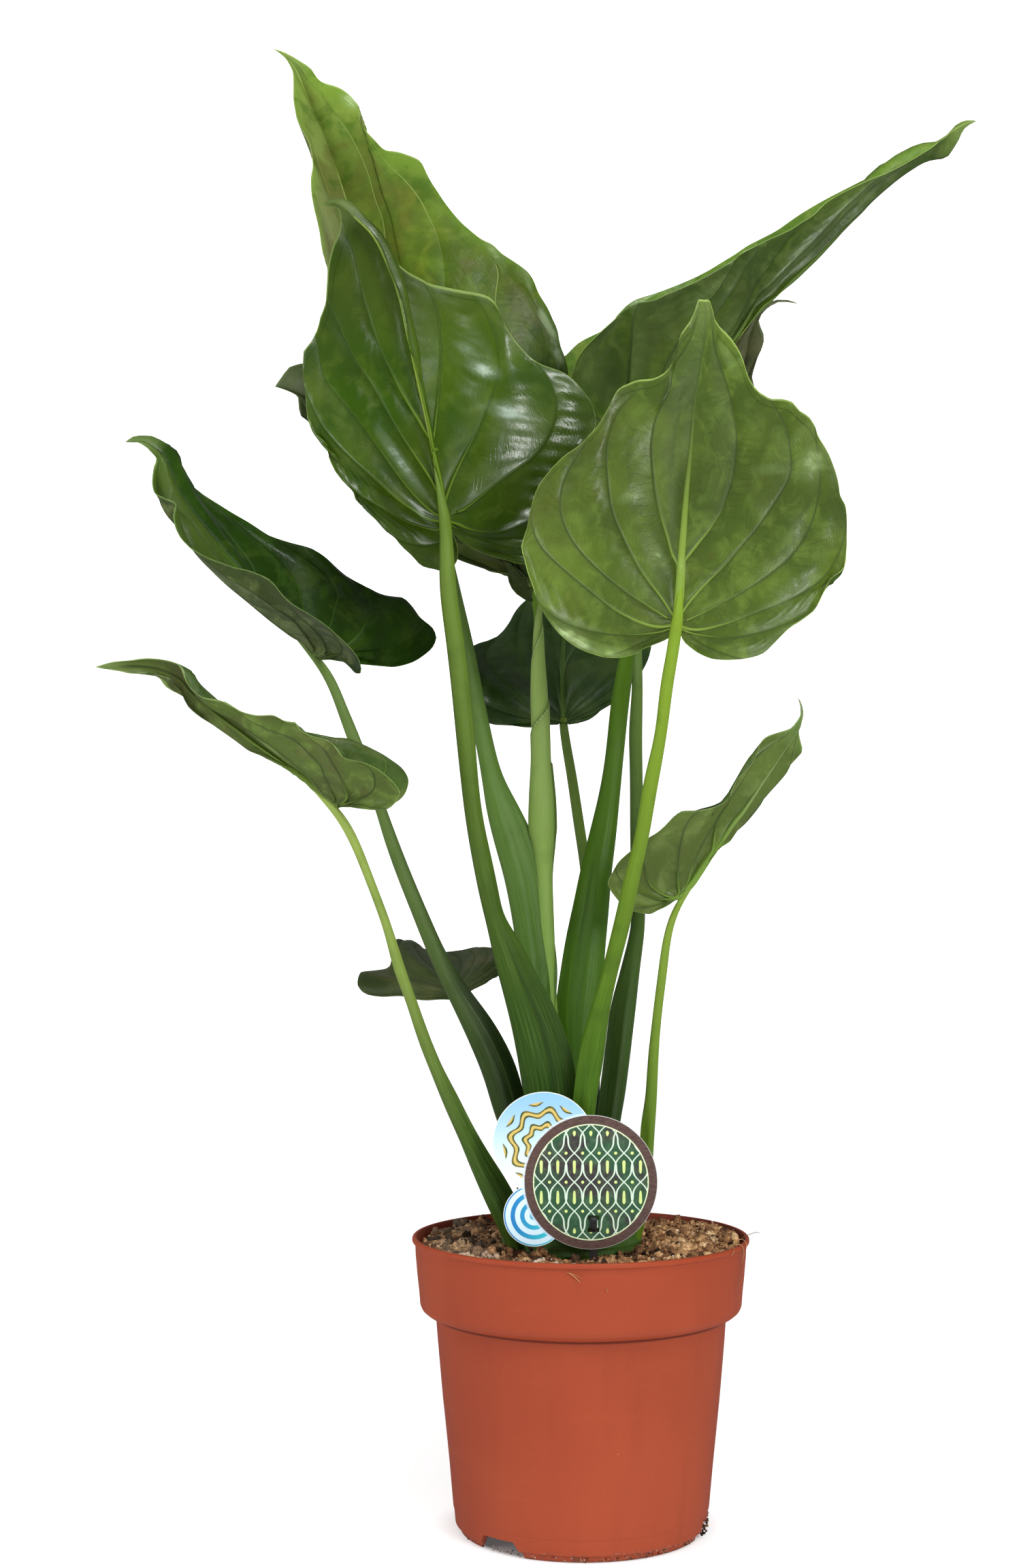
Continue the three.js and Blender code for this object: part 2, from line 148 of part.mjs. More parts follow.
// ---- pot: a thin moulded shell with a beaded rim, a deep collar, a tapered body and a notched foot ----
const outer = [
  [94.2, 163.3], [95, 162.4], [95, 160.4], [93.6, 159.2], [92.1, 141.9], [90.3, 124.8],
  [87.6, 121.4], [81.9, 119.2], [77.8, 73.2], [71.6, 9.3],
  [70.8, 4.2], [69, 3.6], [67.8, 0],
];
const inner = [
  [66.2, 0], [66.4, FLOOR_Z], [0, FLOOR_Z], [0, FLOOR_Z + FLOOR_T], [69.9, FLOOR_Z + FLOOR_T],
  [76.2, 73.2], [80.5, 119.9], [86.2, 122.6], [88.6, 125.4], [90.5, 141.9], [92.6, 163.3],
];
function latheSolid(profile, segments) {
  // the profile runs down the outside and back up the inside
  const pts = [...profile, profile[0]].map((p) => new THREE.Vector2(Math.max(p[0], 0), p[1]));
  const g = new THREE.LatheGeometry(pts, segments);
  g.rotateX(Math.PI / 2);
  return g;
}
function revolve(profile, segments) {
  let s = toSolidFlip(latheSolid(profile, segments));
  return s;
}
function toSolidFlip(g) {
  let s = toSolid(g);
  if (s.volume() < 0) {
    const f = g.clone();
    const idx = f.index.array;
    for (let i = 0; i < idx.length; i += 3) [idx[i + 1], idx[i + 2]] = [idx[i + 2], idx[i + 1]];
    s = toSolid(f);
  }
  return s;
}
const potProfile = [...outer, ...inner];
let pot = revolve(potProfile, 44);
for (const deg of NOTCH_ANGLES) {
  // a trapezoid, wider at the foot, cut through the skirt under the raised floor
  const shape = new THREE.Shape([new THREE.Vector2(-16, -2), new THREE.Vector2(16, -2), new THREE.Vector2(10.5, FLOOR_Z - 0.4), new THREE.Vector2(-10.5, FLOOR_Z - 0.4)]);
  const g = new THREE.ExtrudeGeometry(shape, { depth: 24, bevelEnabled: false });
  g.rotateX(Math.PI / 2); // now in the XZ plane, running towards -Y
  g.translate(0, -56, 0);
  g.rotateZ((deg * Math.PI) / 180);
  pot = pot.subtract(toSolidFlip(g));
  // the drain hole through the floor behind it
  const h = new THREE.CylinderGeometry(6, 6, 12, 16);
  h.rotateX(Math.PI / 2);
  h.translate(0, -52, FLOOR_Z);
  h.rotateZ((deg * Math.PI) / 180);
  pot = pot.subtract(toSolidFlip(h));
}
addMesh("pot", toGeometry(pot), COLOURS.pot, 0.45);

// ---- stem base: the short swollen stem at the soil line that carries the stalks ----
const STEM_X = -6, STEM_Y = -6;
function stemBase(grow) {
  const profile = [[0, 140 - grow], [27 + grow, 142 - grow], [33 + grow, 150], [35 + grow, 158], [33 + grow, 165 + grow], [25 + grow, 173 + grow], [12 + grow, 178 + grow], [0, 179 + grow]];
  const g = new THREE.LatheGeometry(profile.map((p) => new THREE.Vector2(p[0], p[1])), 28);
  g.rotateX(Math.PI / 2);
  g.scale(1.14, 0.96, 1);
  g.translate(STEM_X, STEM_Y, 0);
  return toSolidFlip(g);
}

// ---- soil: fills the pot to just under the rim, mounded a little ----
const soilTop = (x, y) => {
  const r = Math.hypot(x, y) / 92;
  return SOIL_Z + 2.6 * Math.max(0, x / 92) * r * 1.4 - 1.0 * Math.max(0, -x / 92) * r + 0.8 * Math.sin(x / 13 + 1) * Math.cos(y / 11);
};
{
  const SEG = 30, G = 0.35;
  const side = [[69.2, FLOOR_Z + FLOOR_T + G], [75.4, 73.2], [79.6, 120.3], [85.2, 123], [87.5, 125.8], [89.4, 141.9], [90.2, 150]];
  const rings = [...side.map(([r, z]) => ({ r, z }))];
  const top = [90.6, 74, 52, 28];
  const pos = [], idx = [];
  pos.push(0, 0, FLOOR_Z + FLOOR_T + G);
  const ringStart = [];
  for (const { r, z } of rings) {
    ringStart.push(pos.length / 3);
    for (let i = 0; i < SEG; i++) { const a = (i / SEG) * 2 * Math.PI; pos.push(r * Math.cos(a), r * Math.sin(a), z); }
  }
  for (const r of top) {
    ringStart.push(pos.length / 3);
    for (let i = 0; i < SEG; i++) { const a = (i / SEG) * 2 * Math.PI; const x = r * Math.cos(a), y = r * Math.sin(a); pos.push(x, y, soilTop(x, y)); }
  }
  const apex = pos.length / 3;
  pos.push(0, 0, soilTop(0, 0));
  for (let i = 0; i < SEG; i++) {
    const j = (i + 1) % SEG;
    idx.push(0, ringStart[0] + j, ringStart[0] + i);
    for (let k = 0; k + 1 < ringStart.length; k++) {
      const a = ringStart[k] + i, b = ringStart[k] + j, c = ringStart[k + 1] + j, d = ringStart[k + 1] + i;
      idx.push(a, b, c, a, c, d);
    }
    const l = ringStart[ringStart.length - 1];
    idx.push(l + i, l + j, apex);
  }
  const g = new THREE.BufferGeometry();
  g.setAttribute("position", new THREE.BufferAttribute(new Float32Array(pos), 3));
  g.setIndex(idx);
  var soil = toSolidFlip(g);
}

// ---- blades: closed thin shells. Each half is a fan of rays from the stalk's end: a ray follows the midrib for part
// of its way and bends off to a point on the margin, as the side veins do ----
const RAYS_K = 5;
function along(points, s) {
  // point at fraction s of the midrib, carried on straight behind the stalk for s < 0
  const n = points.length - 1;
  if (s <= 0) return V(points[0]).addScaledVector(V(points[1]).sub(V(points[0])), s * n);
  const f = Math.min(s * n, n - 1e-9), i = Math.floor(f);
  return V(points[i]).lerp(V(points[i + 1]), f - i);
}
function bladeRays(leaf) {
  const A = V(leaf.midrib[0]), T = V(leaf.midrib[leaf.midrib.length - 1]);
  const axis = T.clone().sub(A), len = axis.length();
  axis.normalize();
  const ray = (G, side) => {
    const t = V(G).sub(A).dot(axis) / len, M = along(leaf.midrib, Math.min(t, 1));
    const W = V(G).sub(M), w = W.length();
    const n = side > 0 ? W.clone().cross(axis) : axis.clone().cross(W);
    n.normalize();
    const out = [];
    for (let j = 1; j <= RAYS_K; j++) {
      const r = j / RAYS_K, g = 1 - Math.pow(1 - r, 1.6);
      out.push(along(leaf.midrib, Math.min(t, 1) * r).addScaledVector(W, g).addScaledVector(n, leaf.bulge * w * Math.sin(Math.PI * Math.pow(g, 0.8)) * 1.4));
    }
    return out;
  };
  const mid = [];
  for (let j = 1; j <= RAYS_K; j++) mid.push(along(leaf.midrib, j / RAYS_K));
  return { A, rays: [...leaf.right.map((g) => ray(g, 1)), mid, ...leaf.left.slice().reverse().map((g) => ray(g, -1))] };
}
function bladeGeometry(leaf, extra) {
  const { A, rays } = bladeRays(leaf);
  const P = [A], id = (i, j) => 1 + i * RAYS_K + j;
  rays.forEach((r) => r.forEach((p) => P.push(p)));
  const tris = [];
  for (let i = 0; i + 1 < rays.length; i++) {
    tris.push([0, id(i, 0), id(i + 1, 0)]);
    for (let j = 0; j + 1 < RAYS_K; j++) {
      tris.push([id(i, j), id(i, j + 1), id(i + 1, j + 1)], [id(i, j), id(i + 1, j + 1), id(i + 1, j)]);
    }
  }
  const N = P.map(() => new THREE.Vector3());
  for (const [a, b, c] of tris) {
    const n = P[b].clone().sub(P[a]).cross(P[c].clone().sub(P[a]));
    N[a].add(n); N[b].add(n); N[c].add(n);
  }
  N.forEach((n) => n.normalize());
  const nv = P.length, pos = [];
  const thick = (k) => {
    if (k === 0) return LEAF_T + extra;
    const j = (k - 1) % RAYS_K, i = Math.floor((k - 1) / RAYS_K), m = 1 - Math.abs(i - (rays.length - 1) / 2) / ((rays.length - 1) / 2);
    return LEAF_T + (LEAF_TIP_T - LEAF_T) * (j / (RAYS_K - 1)) * m * m + extra;
  };
  for (const s of [1, -1]) P.forEach((p, k) => { const q = p.clone().addScaledVector(N[k], (s * thick(k)) / 2); pos.push(q.x, q.y, q.z); });
  const idx = [];
  for (const [a, b, c] of tris) { idx.push(a, b, c); idx.push(nv + a, nv + c, nv + b); }
  const edge = [0];
  for (let j = 0; j < RAYS_K; j++) edge.push(id(0, j));
  for (let i = 1; i < rays.length; i++) edge.push(id(i, RAYS_K - 1));
  for (let j = RAYS_K - 2; j >= 0; j--) edge.push(id(rays.length - 1, j));
  for (let e = 0; e < edge.length; e++) {
    const a = edge[e], b = edge[(e + 1) % edge.length];
    idx.push(a, nv + a, nv + b, a, nv + b, b);
  }
  const g = new THREE.BufferGeometry();
  g.setAttribute("position", new THREE.BufferAttribute(new Float32Array(pos), 3));
  g.setIndex(idx);
  return g;
}
const bladeSolids = new Map();
for (const leaf of BLADES) {
  bladeSolids.set(leaf.name, toSolidFlip(bladeGeometry(leaf, 0)));
  addMesh(leaf.name, bladeGeometry(leaf, 0), COLOURS.blade, 0.4);
}

// ---- stalks: tapered tubes, oval lower down where the sheath wraps the younger stalks ----
const SIDES = 10;
function stalkGeometry(rows, grow) {
  const n = rows.length, pos = [], idx = [];
  const c = rows.map((r) => V(r));
  for (let i = 0; i < n; i++) {
    const d = c[Math.min(i + 1, n - 1)].clone().sub(c[Math.max(i - 1, 0)]).normalize();
    const e1 = d.clone().cross(new THREE.Vector3(0, 1, 0)).normalize(), e2 = d.clone().cross(e1).normalize();
    const p = c[i].clone();
    if (grow) { if (i === 0) p.addScaledVector(d, -grow); if (i === n - 1) p.addScaledVector(d, grow); }
    for (let k = 0; k < SIDES; k++) {
      const a = (k / SIDES) * 2 * Math.PI;
      const q = p.clone().addScaledVector(e1, (rows[i][3] + grow) * Math.cos(a)).addScaledVector(e2, (rows[i][4] + grow) * Math.sin(a));
      pos.push(q.x, q.y, q.z);
    }
  }
  const first = pos.length / 3;
  pos.push(c[0].x, c[0].y, c[0].z, c[n - 1].x, c[n - 1].y, c[n - 1].z);
  for (let k = 0; k < SIDES; k++) {
    const l = (k + 1) % SIDES;
    idx.push(first, l, k);
    for (let i = 0; i + 1 < n; i++) idx.push(i * SIDES + k, i * SIDES + l, (i + 1) * SIDES + l, i * SIDES + k, (i + 1) * SIDES + l, (i + 1) * SIDES + k);
    idx.push(first + 1, (n - 1) * SIDES + k, (n - 1) * SIDES + l);
  }
  const g = new THREE.BufferGeometry();
  g.setAttribute("position", new THREE.BufferAttribute(new Float32Array(pos), 3));
  g.setIndex(idx);
  return g;
}
const ORDER = ["rolled_new_leaf", "leaf_stalk_1", "leaf_stalk_4", "leaf_stalk_2", "leaf_stalk_3", "leaf_stalk_5", "leaf_stalk_6", "leaf_stalk_7", "leaf_stalk_9", "leaf_stalk_10", "leaf_stalk_11", "leaf_stalk_8"];
const grownStem = stemBase(GAP);
let cutter = grownStem;
for (const name of ORDER) {
  const { rows } = STALKS.find((s) => s.name === name);
  const leaf = BLADES.find((b) => b.name === name.replace("_stalk", ""));
  if (leaf) {
    // the stalk stops just short of the blade
    const top = V(rows[0]), step = V(rows[1]).sub(top).normalize().multiplyScalar(2.2);
    rows[0] = [top.x + step.x, top.y + step.y, top.z + step.z, rows[0][3], rows[0][4]];
  }
  let s = toSolidFlip(stalkGeometry(rows, 0)).subtract(cutter);
  if (leaf) s = s.subtract(toSolidFlip(bladeGeometry(leaf, 3 * GAP)));
  s = largest(s);
  cutter = cutter.add(toSolidFlip(stalkGeometry(rows, GAP)));
  soil = soil.subtract(toSolidFlip(stalkGeometry(rows, GAP)));
  addMesh(name, toGeometry(s), name === "rolled_new_leaf" ? COLOURS.spear : COLOURS.stalk, 0.45);
}
addMesh("stem_base", toGeometry(stemBase(0)), COLOURS.stem, 0.5);
soil = soil.subtract(grownStem);

// ---- label: a printed card of three joined discs, held by a black stake that hooks through its two slots ----
const DISCS = [[4.0, 200.1, 36.3], [-21.6, 221.1, 27.9], [-26.8, 182.0, 16.8]]; // disc centres (x, z) and radii
const STAKE_X = 5.4, STAKE_FOOT = 95, SLOTS_Z = [180.9, 174.3];
function disc(x, z, r, y0, t, seg) {
  const g = new THREE.CylinderGeometry(r, r, t, seg);
  g.translate(x, y0, z);
  return toSolidFlip(g);
}
let label = null;
for (const [x, z, r] of DISCS) {
  const d = disc(x, z, r, LABEL_Y, LABEL_T, 44);
  label = label ? label.add(d) : d;
}
const box = (x0, x1, y0, y1, z0, z1) => {
  const g = new THREE.BoxGeometry(x1 - x0, y1 - y0, z1 - z0);
  g.translate((x0 + x1) / 2, (y0 + y1) / 2, (z0 + z1) / 2);
  return toSolidFlip(g);
};
for (const z of SLOTS_Z) label = label.subtract(box(STAKE_X - 3.2, STAKE_X + 3.2, LABEL_Y - 3, LABEL_Y + 3, z - 1.3, z + 1.3));
// the stake stands behind the card, passes forward through the upper slot, down over its face and back through the lower one
const back = LABEL_Y + LABEL_T / 2 + 0.3, front = LABEL_Y - LABEL_T / 2 - 0.3;
const hw = STAKE_W / 2;
let stake = box(STAKE_X - hw, STAKE_X + hw, back, back + STAKE_T, STAKE_FOOT, SLOTS_Z[0] + 0.8);
stake = stake.add(box(STAKE_X - hw, STAKE_X + hw, front - STAKE_T, back + 0.5, SLOTS_Z[0] - 0.8, SLOTS_Z[0] + 0.8));
stake = stake.add(box(STAKE_X - hw, STAKE_X + hw, front - STAKE_T, front, SLOTS_Z[1] - 0.8, SLOTS_Z[0] + 0.2));
stake = stake.add(box(STAKE_X - hw, STAKE_X + hw, front - 0.5, back + 0.5, SLOTS_Z[1] - 0.8, SLOTS_Z[1] + 0.8));
addMesh("plant_label", toGeometry(label), COLOURS.label, 0.5);
addMesh("label_stake", toGeometry(stake), COLOURS.stake, 0.5);
soil = soil.subtract(box(STAKE_X - hw - GAP, STAKE_X + hw + GAP, back - GAP, back + STAKE_T + GAP, STAKE_FOOT - GAP, 175));
addMesh("soil", toGeometry(largest(soil)), COLOURS.soil, 0.95);

export default group;
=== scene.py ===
import math
import bpy
import bmesh
import numpy as np
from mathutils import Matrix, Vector


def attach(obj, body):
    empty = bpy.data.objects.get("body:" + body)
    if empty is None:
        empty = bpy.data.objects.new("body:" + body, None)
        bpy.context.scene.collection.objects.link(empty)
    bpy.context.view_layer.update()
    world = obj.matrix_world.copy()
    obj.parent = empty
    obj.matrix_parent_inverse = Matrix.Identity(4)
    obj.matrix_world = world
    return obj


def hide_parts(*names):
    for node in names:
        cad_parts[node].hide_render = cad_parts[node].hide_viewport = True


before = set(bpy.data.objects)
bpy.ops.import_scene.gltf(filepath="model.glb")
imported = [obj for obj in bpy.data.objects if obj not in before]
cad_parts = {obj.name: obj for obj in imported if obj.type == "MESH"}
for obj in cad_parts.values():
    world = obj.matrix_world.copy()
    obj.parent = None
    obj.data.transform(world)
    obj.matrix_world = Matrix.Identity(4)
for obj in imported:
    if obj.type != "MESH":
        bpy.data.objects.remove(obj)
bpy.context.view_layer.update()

# ---------------------------------------------------------------------------------------------------------------
# Measured shapes, in millimetres, in the part's own frame: +Z up, z = 0 on the surface the pot stands on.
# A blade has its midrib from the stalk to the tip, and its right and left margins from the notch at the stalk, round
# the basal lobe, to the tip (as seen on the upper face with the tip up).
# ---------------------------------------------------------------------------------------------------------------
BLADES = {
    "leaf_1": dict(bulge=0.05,
      midrib=[
        (-78.0, -10.0, 598.7), (-84.5, -6.3, 623.4), (-91.1, -2.1, 648.3), (-98.6, 3.5, 677.7), (-105.4, 8.9, 703.4), (-112.7, 15.0, 729.4),
        (-119.2, 20.0, 749.2), (-126.4, 24.5, 765.7), (-129.9, 27.4, 776.1), (-135.7, 32.5, 794.2), (-141.1, 37.3, 810.3), (-147.8, 42.6, 826.7),
        (-154.6, 48.3, 843.4), (-162.8, 55.2, 862.7), (-169.9, 59.1, 871.7), (-176.1, 62.0, 877.0)],
      right=[
        (-75.6, -10.0, 595.5), (-69.2, -11.1, 587.4), (-57.3, -11.9, 582.5), (-41.5, -11.7, 584.5), (-21.7, -8.3, 597.0), (-6.5, -4.1, 617.8),
        (1.5, -2.2, 640.2), (3.9, -1.0, 658.6), (2.0, -0.3, 671.2), (0.0, 0.1, 676.9), (-0.8, 0.4, 683.1), (-2.0, 0.7, 688.4),
        (-4.8, 1.1, 694.1), (-7.6, 1.5, 700.3), (-10.8, 1.9, 705.3), (-13.6, 2.3, 709.8), (-16.4, 2.9, 717.3), (-18.8, 3.3, 721.4),
        (-23.6, 3.9, 725.6), (-29.6, 4.7, 729.9), (-35.7, 5.6, 734.2), (-40.9, 6.5, 739.7), (-45.8, 7.3, 742.0), (-53.0, 8.6, 748.0),
        (-58.7, 9.8, 753.3), (-64.4, 11.3, 760.2), (-69.3, 12.8, 767.2), (-73.0, 14.1, 773.3), (-77.1, 15.6, 779.9), (-80.4, 17.1, 786.6),
        (-83.4, 18.6, 793.2), (-86.6, 19.4, 795.5), (-90.8, 20.5, 797.5), (-97.0, 22.0, 800.0), (-104.8, 24.1, 801.7), (-108.2, 25.3, 804.8),
        (-112.4, 27.3, 810.0), (-115.8, 28.9, 813.9), (-119.7, 31.3, 820.1), (-121.5, 33.3, 825.7), (-121.2, 35.3, 831.4), (-123.8, 37.1, 835.7),
        (-126.8, 38.9, 839.7), (-131.1, 41.0, 843.8), (-135.4, 42.9, 846.6), (-141.9, 45.6, 849.4), (-145.3, 47.0, 851.3), (-149.3, 49.2, 856.3),
        (-151.9, 51.0, 860.8), (-159.4, 54.6, 867.1), (-168.2, 58.6, 873.2), (-176.1, 62.0, 877.0)],
      left=[
        (-80.3, -11.0, 595.4), (-86.5, -14.3, 586.1), (-96.6, -17.3, 581.6), (-110.1, -21.4, 590.8), (-122.8, -26.5, 611.6), (-130.5, -29.3, 638.6),
        (-133.6, -31.1, 665.8), (-135.1, -31.9, 689.2), (-134.5, -30.7, 713.2), (-138.3, -27.8, 726.7), (-140.2, -24.9, 736.6), (-142.0, -21.9, 745.4),
        (-144.4, -17.7, 756.6), (-146.0, -13.1, 768.0), (-146.3, -10.3, 774.9), (-145.4, -6.8, 782.8), (-146.2, -2.7, 790.2), (-148.4, 3.5, 799.0),
        (-153.2, 12.0, 809.1), (-157.2, 19.8, 818.3), (-159.6, 27.4, 827.9), (-161.2, 35.3, 838.9), (-161.9, 42.4, 849.7), (-162.9, 47.8, 858.4),
        (-168.2, 54.9, 868.5), (-176.1, 62.0, 877.0)],),
    "leaf_2": dict(bulge=0.06,
      midrib=[
        (-65.1, -85.0, 561.3), (-67.0, -85.7, 570.6), (-68.8, -86.5, 579.9), (-72.5, -87.8, 596.5), (-76.2, -89.1, 615.0), (-80.3, -90.4, 633.5),
        (-84.4, -91.7, 652.0), (-87.7, -92.7, 666.8), (-89.9, -93.6, 677.8), (-92.9, -94.5, 688.9), (-96.6, -95.1, 698.1), (-101.4, -95.7, 709.2),
        (-105.9, -96.0, 716.6), (-115.2, -95.0, 726.3), (-121.8, -92.5, 733.0), (-127.9, -90.1, 736.4), (-133.3, -88.0, 735.1)],
      right=[
        (-65.2, -83.0, 559.0), (-61.9, -79.4, 555.4), (-59.7, -75.7, 550.7), (-58.7, -72.0, 544.8), (-59.9, -69.6, 539.8), (-63.7, -68.0, 537.0),
        (-68.2, -66.9, 536.0), (-73.2, -65.8, 537.3), (-77.0, -65.0, 538.1), (-80.1, -64.3, 539.7), (-83.5, -63.3, 543.7), (-86.6, -62.6, 546.8),
        (-90.5, -61.8, 550.4), (-94.3, -61.1, 555.5), (-100.1, -60.4, 560.1), (-105.1, -60.0, 565.9), (-109.6, -60.0, 570.2), (-115.4, -60.1, 576.7),
        (-118.0, -60.2, 582.4), (-121.1, -60.3, 586.2), (-125.7, -60.5, 590.7), (-129.5, -60.8, 596.4), (-131.4, -61.1, 602.1), (-132.5, -61.4, 608.2),
        (-135.5, -61.7, 610.9), (-139.3, -62.0, 613.9), (-142.7, -62.5, 620.3), (-143.8, -63.0, 627.8), (-144.6, -63.9, 639.2), (-146.0, -65.1, 648.5),
        (-145.5, -67.4, 658.7), (-143.5, -68.2, 661.2), (-140.3, -69.6, 664.7), (-137.5, -71.6, 669.9), (-135.5, -74.1, 677.0), (-132.7, -76.1, 682.2),
        (-131.4, -77.8, 687.4), (-130.8, -80.4, 696.3), (-130.4, -82.0, 703.4), (-129.1, -83.3, 710.7), (-127.2, -84.3, 716.1), (-124.5, -85.3, 721.5),
        (-123.4, -86.1, 726.9), (-123.3, -86.7, 731.7), (-127.8, -87.4, 734.9), (-133.3, -88.0, 735.1)],
      left=[
        (-62.9, -83.0, 559.8), (-60.4, -79.3, 554.7), (-56.0, -75.7, 550.7), (-50.4, -72.7, 547.7), (-42.9, -69.7, 544.7), (-33.4, -66.4, 542.5),
        (-22.8, -63.2, 540.3), (-10.6, -60.6, 546.0), (0.8, -60.0, 559.4), (7.7, -60.0, 576.7), (10.4, -60.0, 593.9), (11.6, -60.0, 609.3),
        (16.1, -60.0, 615.0), (18.1, -60.0, 620.8), (17.7, -60.1, 625.7), (15.4, -60.4, 632.2), (11.6, -60.8, 637.9), (6.6, -61.5, 643.5),
        (0.9, -62.3, 648.0), (-4.9, -63.0, 650.1), (-12.5, -64.0, 652.5), (-18.2, -65.0, 655.8), (-22.8, -65.9, 660.2), (-27.0, -66.8, 665.3),
        (-30.4, -67.7, 670.1), (-33.0, -68.5, 675.3), (-34.9, -69.5, 680.8), (-38.0, -70.7, 686.2), (-41.8, -71.7, 689.0), (-46.7, -72.9, 690.2),
        (-52.3, -74.2, 690.7), (-59.8, -76.0, 691.7), (-67.3, -77.8, 692.8), (-74.1, -79.4, 693.9), (-80.4, -80.9, 696.9), (-86.0, -82.1, 699.6),
        (-91.6, -83.2, 703.9), (-97.2, -84.2, 708.9), (-102.8, -85.0, 714.0), (-108.0, -85.7, 719.5), (-111.0, -86.3, 725.0), (-113.2, -86.8, 730.5),
        (-115.8, -87.1, 733.9), (-118.4, -87.3, 734.9), (-124.8, -87.6, 737.1), (-131.5, -87.9, 736.6), (-133.3, -88.0, 735.1)],),
    "leaf_3": dict(bulge=0.05,
      midrib=[
        (57.1, -142.0, 497.9), (58.0, -144.5, 507.6), (58.6, -147.2, 518.0), (59.1, -150.4, 531.8), (60.0, -153.2, 545.6), (61.2, -156.1, 562.8),
        (62.5, -157.7, 576.7), (63.9, -158.8, 590.7), (64.9, -159.7, 604.6), (66.0, -160.4, 615.1), (67.7, -161.1, 627.3), (69.8, -161.6, 639.6),
        (71.2, -161.9, 650.2), (71.2, -162.0, 659.0), (70.5, -162.0, 664.0)],
      right=[
        (54.5, -139.0, 495.4), (53.3, -136.1, 491.4), (49.9, -133.5, 489.8), (45.7, -130.7, 488.3), (40.5, -127.4, 486.5), (37.1, -125.4, 484.5),
        (31.8, -123.3, 482.9), (26.4, -122.1, 482.3), (21.0, -121.5, 482.7), (13.8, -120.7, 484.6), (6.6, -120.0, 487.6), (1.2, -119.5, 491.2),
        (-4.3, -119.0, 496.0), (-8.6, -118.7, 501.5), (-12.6, -118.3, 508.1), (-15.8, -118.1, 514.3), (-17.6, -118.0, 521.6), (-19.5, -118.0, 527.1),
        (-20.6, -118.1, 532.5), (-21.6, -118.4, 538.0), (-23.1, -118.7, 541.6), (-22.4, -119.2, 547.0), (-20.6, -119.9, 552.3), (-19.5, -120.9, 559.5),
        (-17.7, -122.1, 566.6), (-15.1, -123.5, 573.6), (-11.5, -124.7, 578.9), (-7.2, -126.0, 584.1), (-0.8, -127.7, 590.0), (6.4, -129.5, 594.4),
        (11.8, -131.4, 599.4), (16.4, -133.4, 604.5), (18.8, -135.1, 608.8), (21.6, -136.9, 613.5), (24.1, -138.9, 618.5), (27.5, -140.9, 622.8),
        (32.8, -142.9, 624.9), (38.0, -144.8, 626.3), (43.3, -146.6, 626.2), (48.5, -148.4, 627.6), (52.7, -150.0, 630.5), (55.4, -151.5, 634.8),
        (56.4, -153.1, 639.8), (57.0, -154.6, 644.8), (58.7, -155.9, 648.8), (62.1, -157.5, 653.0), (64.4, -158.8, 656.9), (66.1, -160.0, 660.6),
        (67.8, -161.2, 664.5), (70.5, -162.0, 664.0)],
      left=[
        (59.1, -139.0, 495.0), (59.6, -137.9, 493.3), (61.6, -135.2, 489.7), (65.4, -132.2, 486.7), (71.0, -128.5, 483.5), (78.5, -124.9, 481.3),
        (84.1, -123.0, 481.1), (91.5, -121.4, 481.6), (98.9, -120.2, 482.8), (105.2, -119.2, 485.1), (110.0, -118.3, 489.5), (115.6, -117.2, 495.5),
        (121.2, -116.4, 500.7), (126.7, -115.7, 504.4), (132.3, -115.1, 508.5), (135.2, -114.8, 512.9), (137.9, -114.4, 520.2), (140.9, -114.1, 525.8),
        (146.0, -114.0, 529.4), (148.2, -114.0, 533.1), (150.0, -114.2, 540.4), (150.4, -114.6, 547.6), (150.3, -115.7, 558.5), (149.4, -116.6, 565.6),
        (146.8, -117.3, 569.2), (145.6, -118.5, 576.3), (143.6, -119.9, 583.4), (140.9, -121.4, 590.4), (137.8, -122.7, 595.6), (134.1, -124.0, 600.8),
        (132.5, -125.2, 605.0), (129.3, -127.1, 610.1), (123.6, -129.8, 613.5), (119.7, -132.2, 617.4), (114.0, -134.9, 618.3), (108.3, -137.5, 617.7),
        (103.4, -140.0, 619.4), (99.6, -142.2, 621.8), (96.5, -144.5, 625.6), (94.5, -146.5, 629.5), (93.6, -148.3, 633.7), (92.1, -150.0, 638.0),
        (89.8, -151.7, 641.9), (86.4, -153.6, 646.1), (82.7, -155.3, 649.3), (79.1, -156.9, 652.1), (76.1, -158.6, 656.3), (74.9, -160.0, 660.6),
        (72.3, -161.5, 664.4), (70.5, -162.0, 664.0)],),
    "leaf_4": dict(bulge=0.07,
      midrib=[
        (65.0, 10.0, 620.4), (73.2, 11.6, 639.0), (83.5, 13.4, 657.6), (95.8, 15.2, 674.3), (106.1, 16.5, 685.6), (112.3, 17.4, 694.0),
        (120.6, 18.6, 705.0), (128.9, 19.5, 711.3), (137.2, 20.6, 720.2), (145.5, 21.7, 728.7), (153.8, 22.8, 736.8), (162.1, 23.9, 745.4),
        (170.5, 25.0, 753.9), (178.9, 26.1, 762.1), (187.3, 27.4, 771.5), (195.8, 28.5, 779.3), (206.3, 29.8, 788.0), (212.6, 30.6, 792.4),
        (219.8, 31.4, 796.8), (225.2, 32.0, 798.7), (231.5, 32.7, 799.7), (234.9, 33.1, 801.5), (237.9, 33.6, 805.8), (241.4, 34.3, 811.4),
        (244.5, 35.0, 817.9), (252.5, 36.0, 823.3)],
      right=[
        (62.0, 8.0, 617.2), (57.8, 5.0, 612.6), (46.2, -1.0, 607.5), (31.9, -7.3, 608.0), (18.6, -12.6, 616.2), (8.2, -17.7, 631.1),
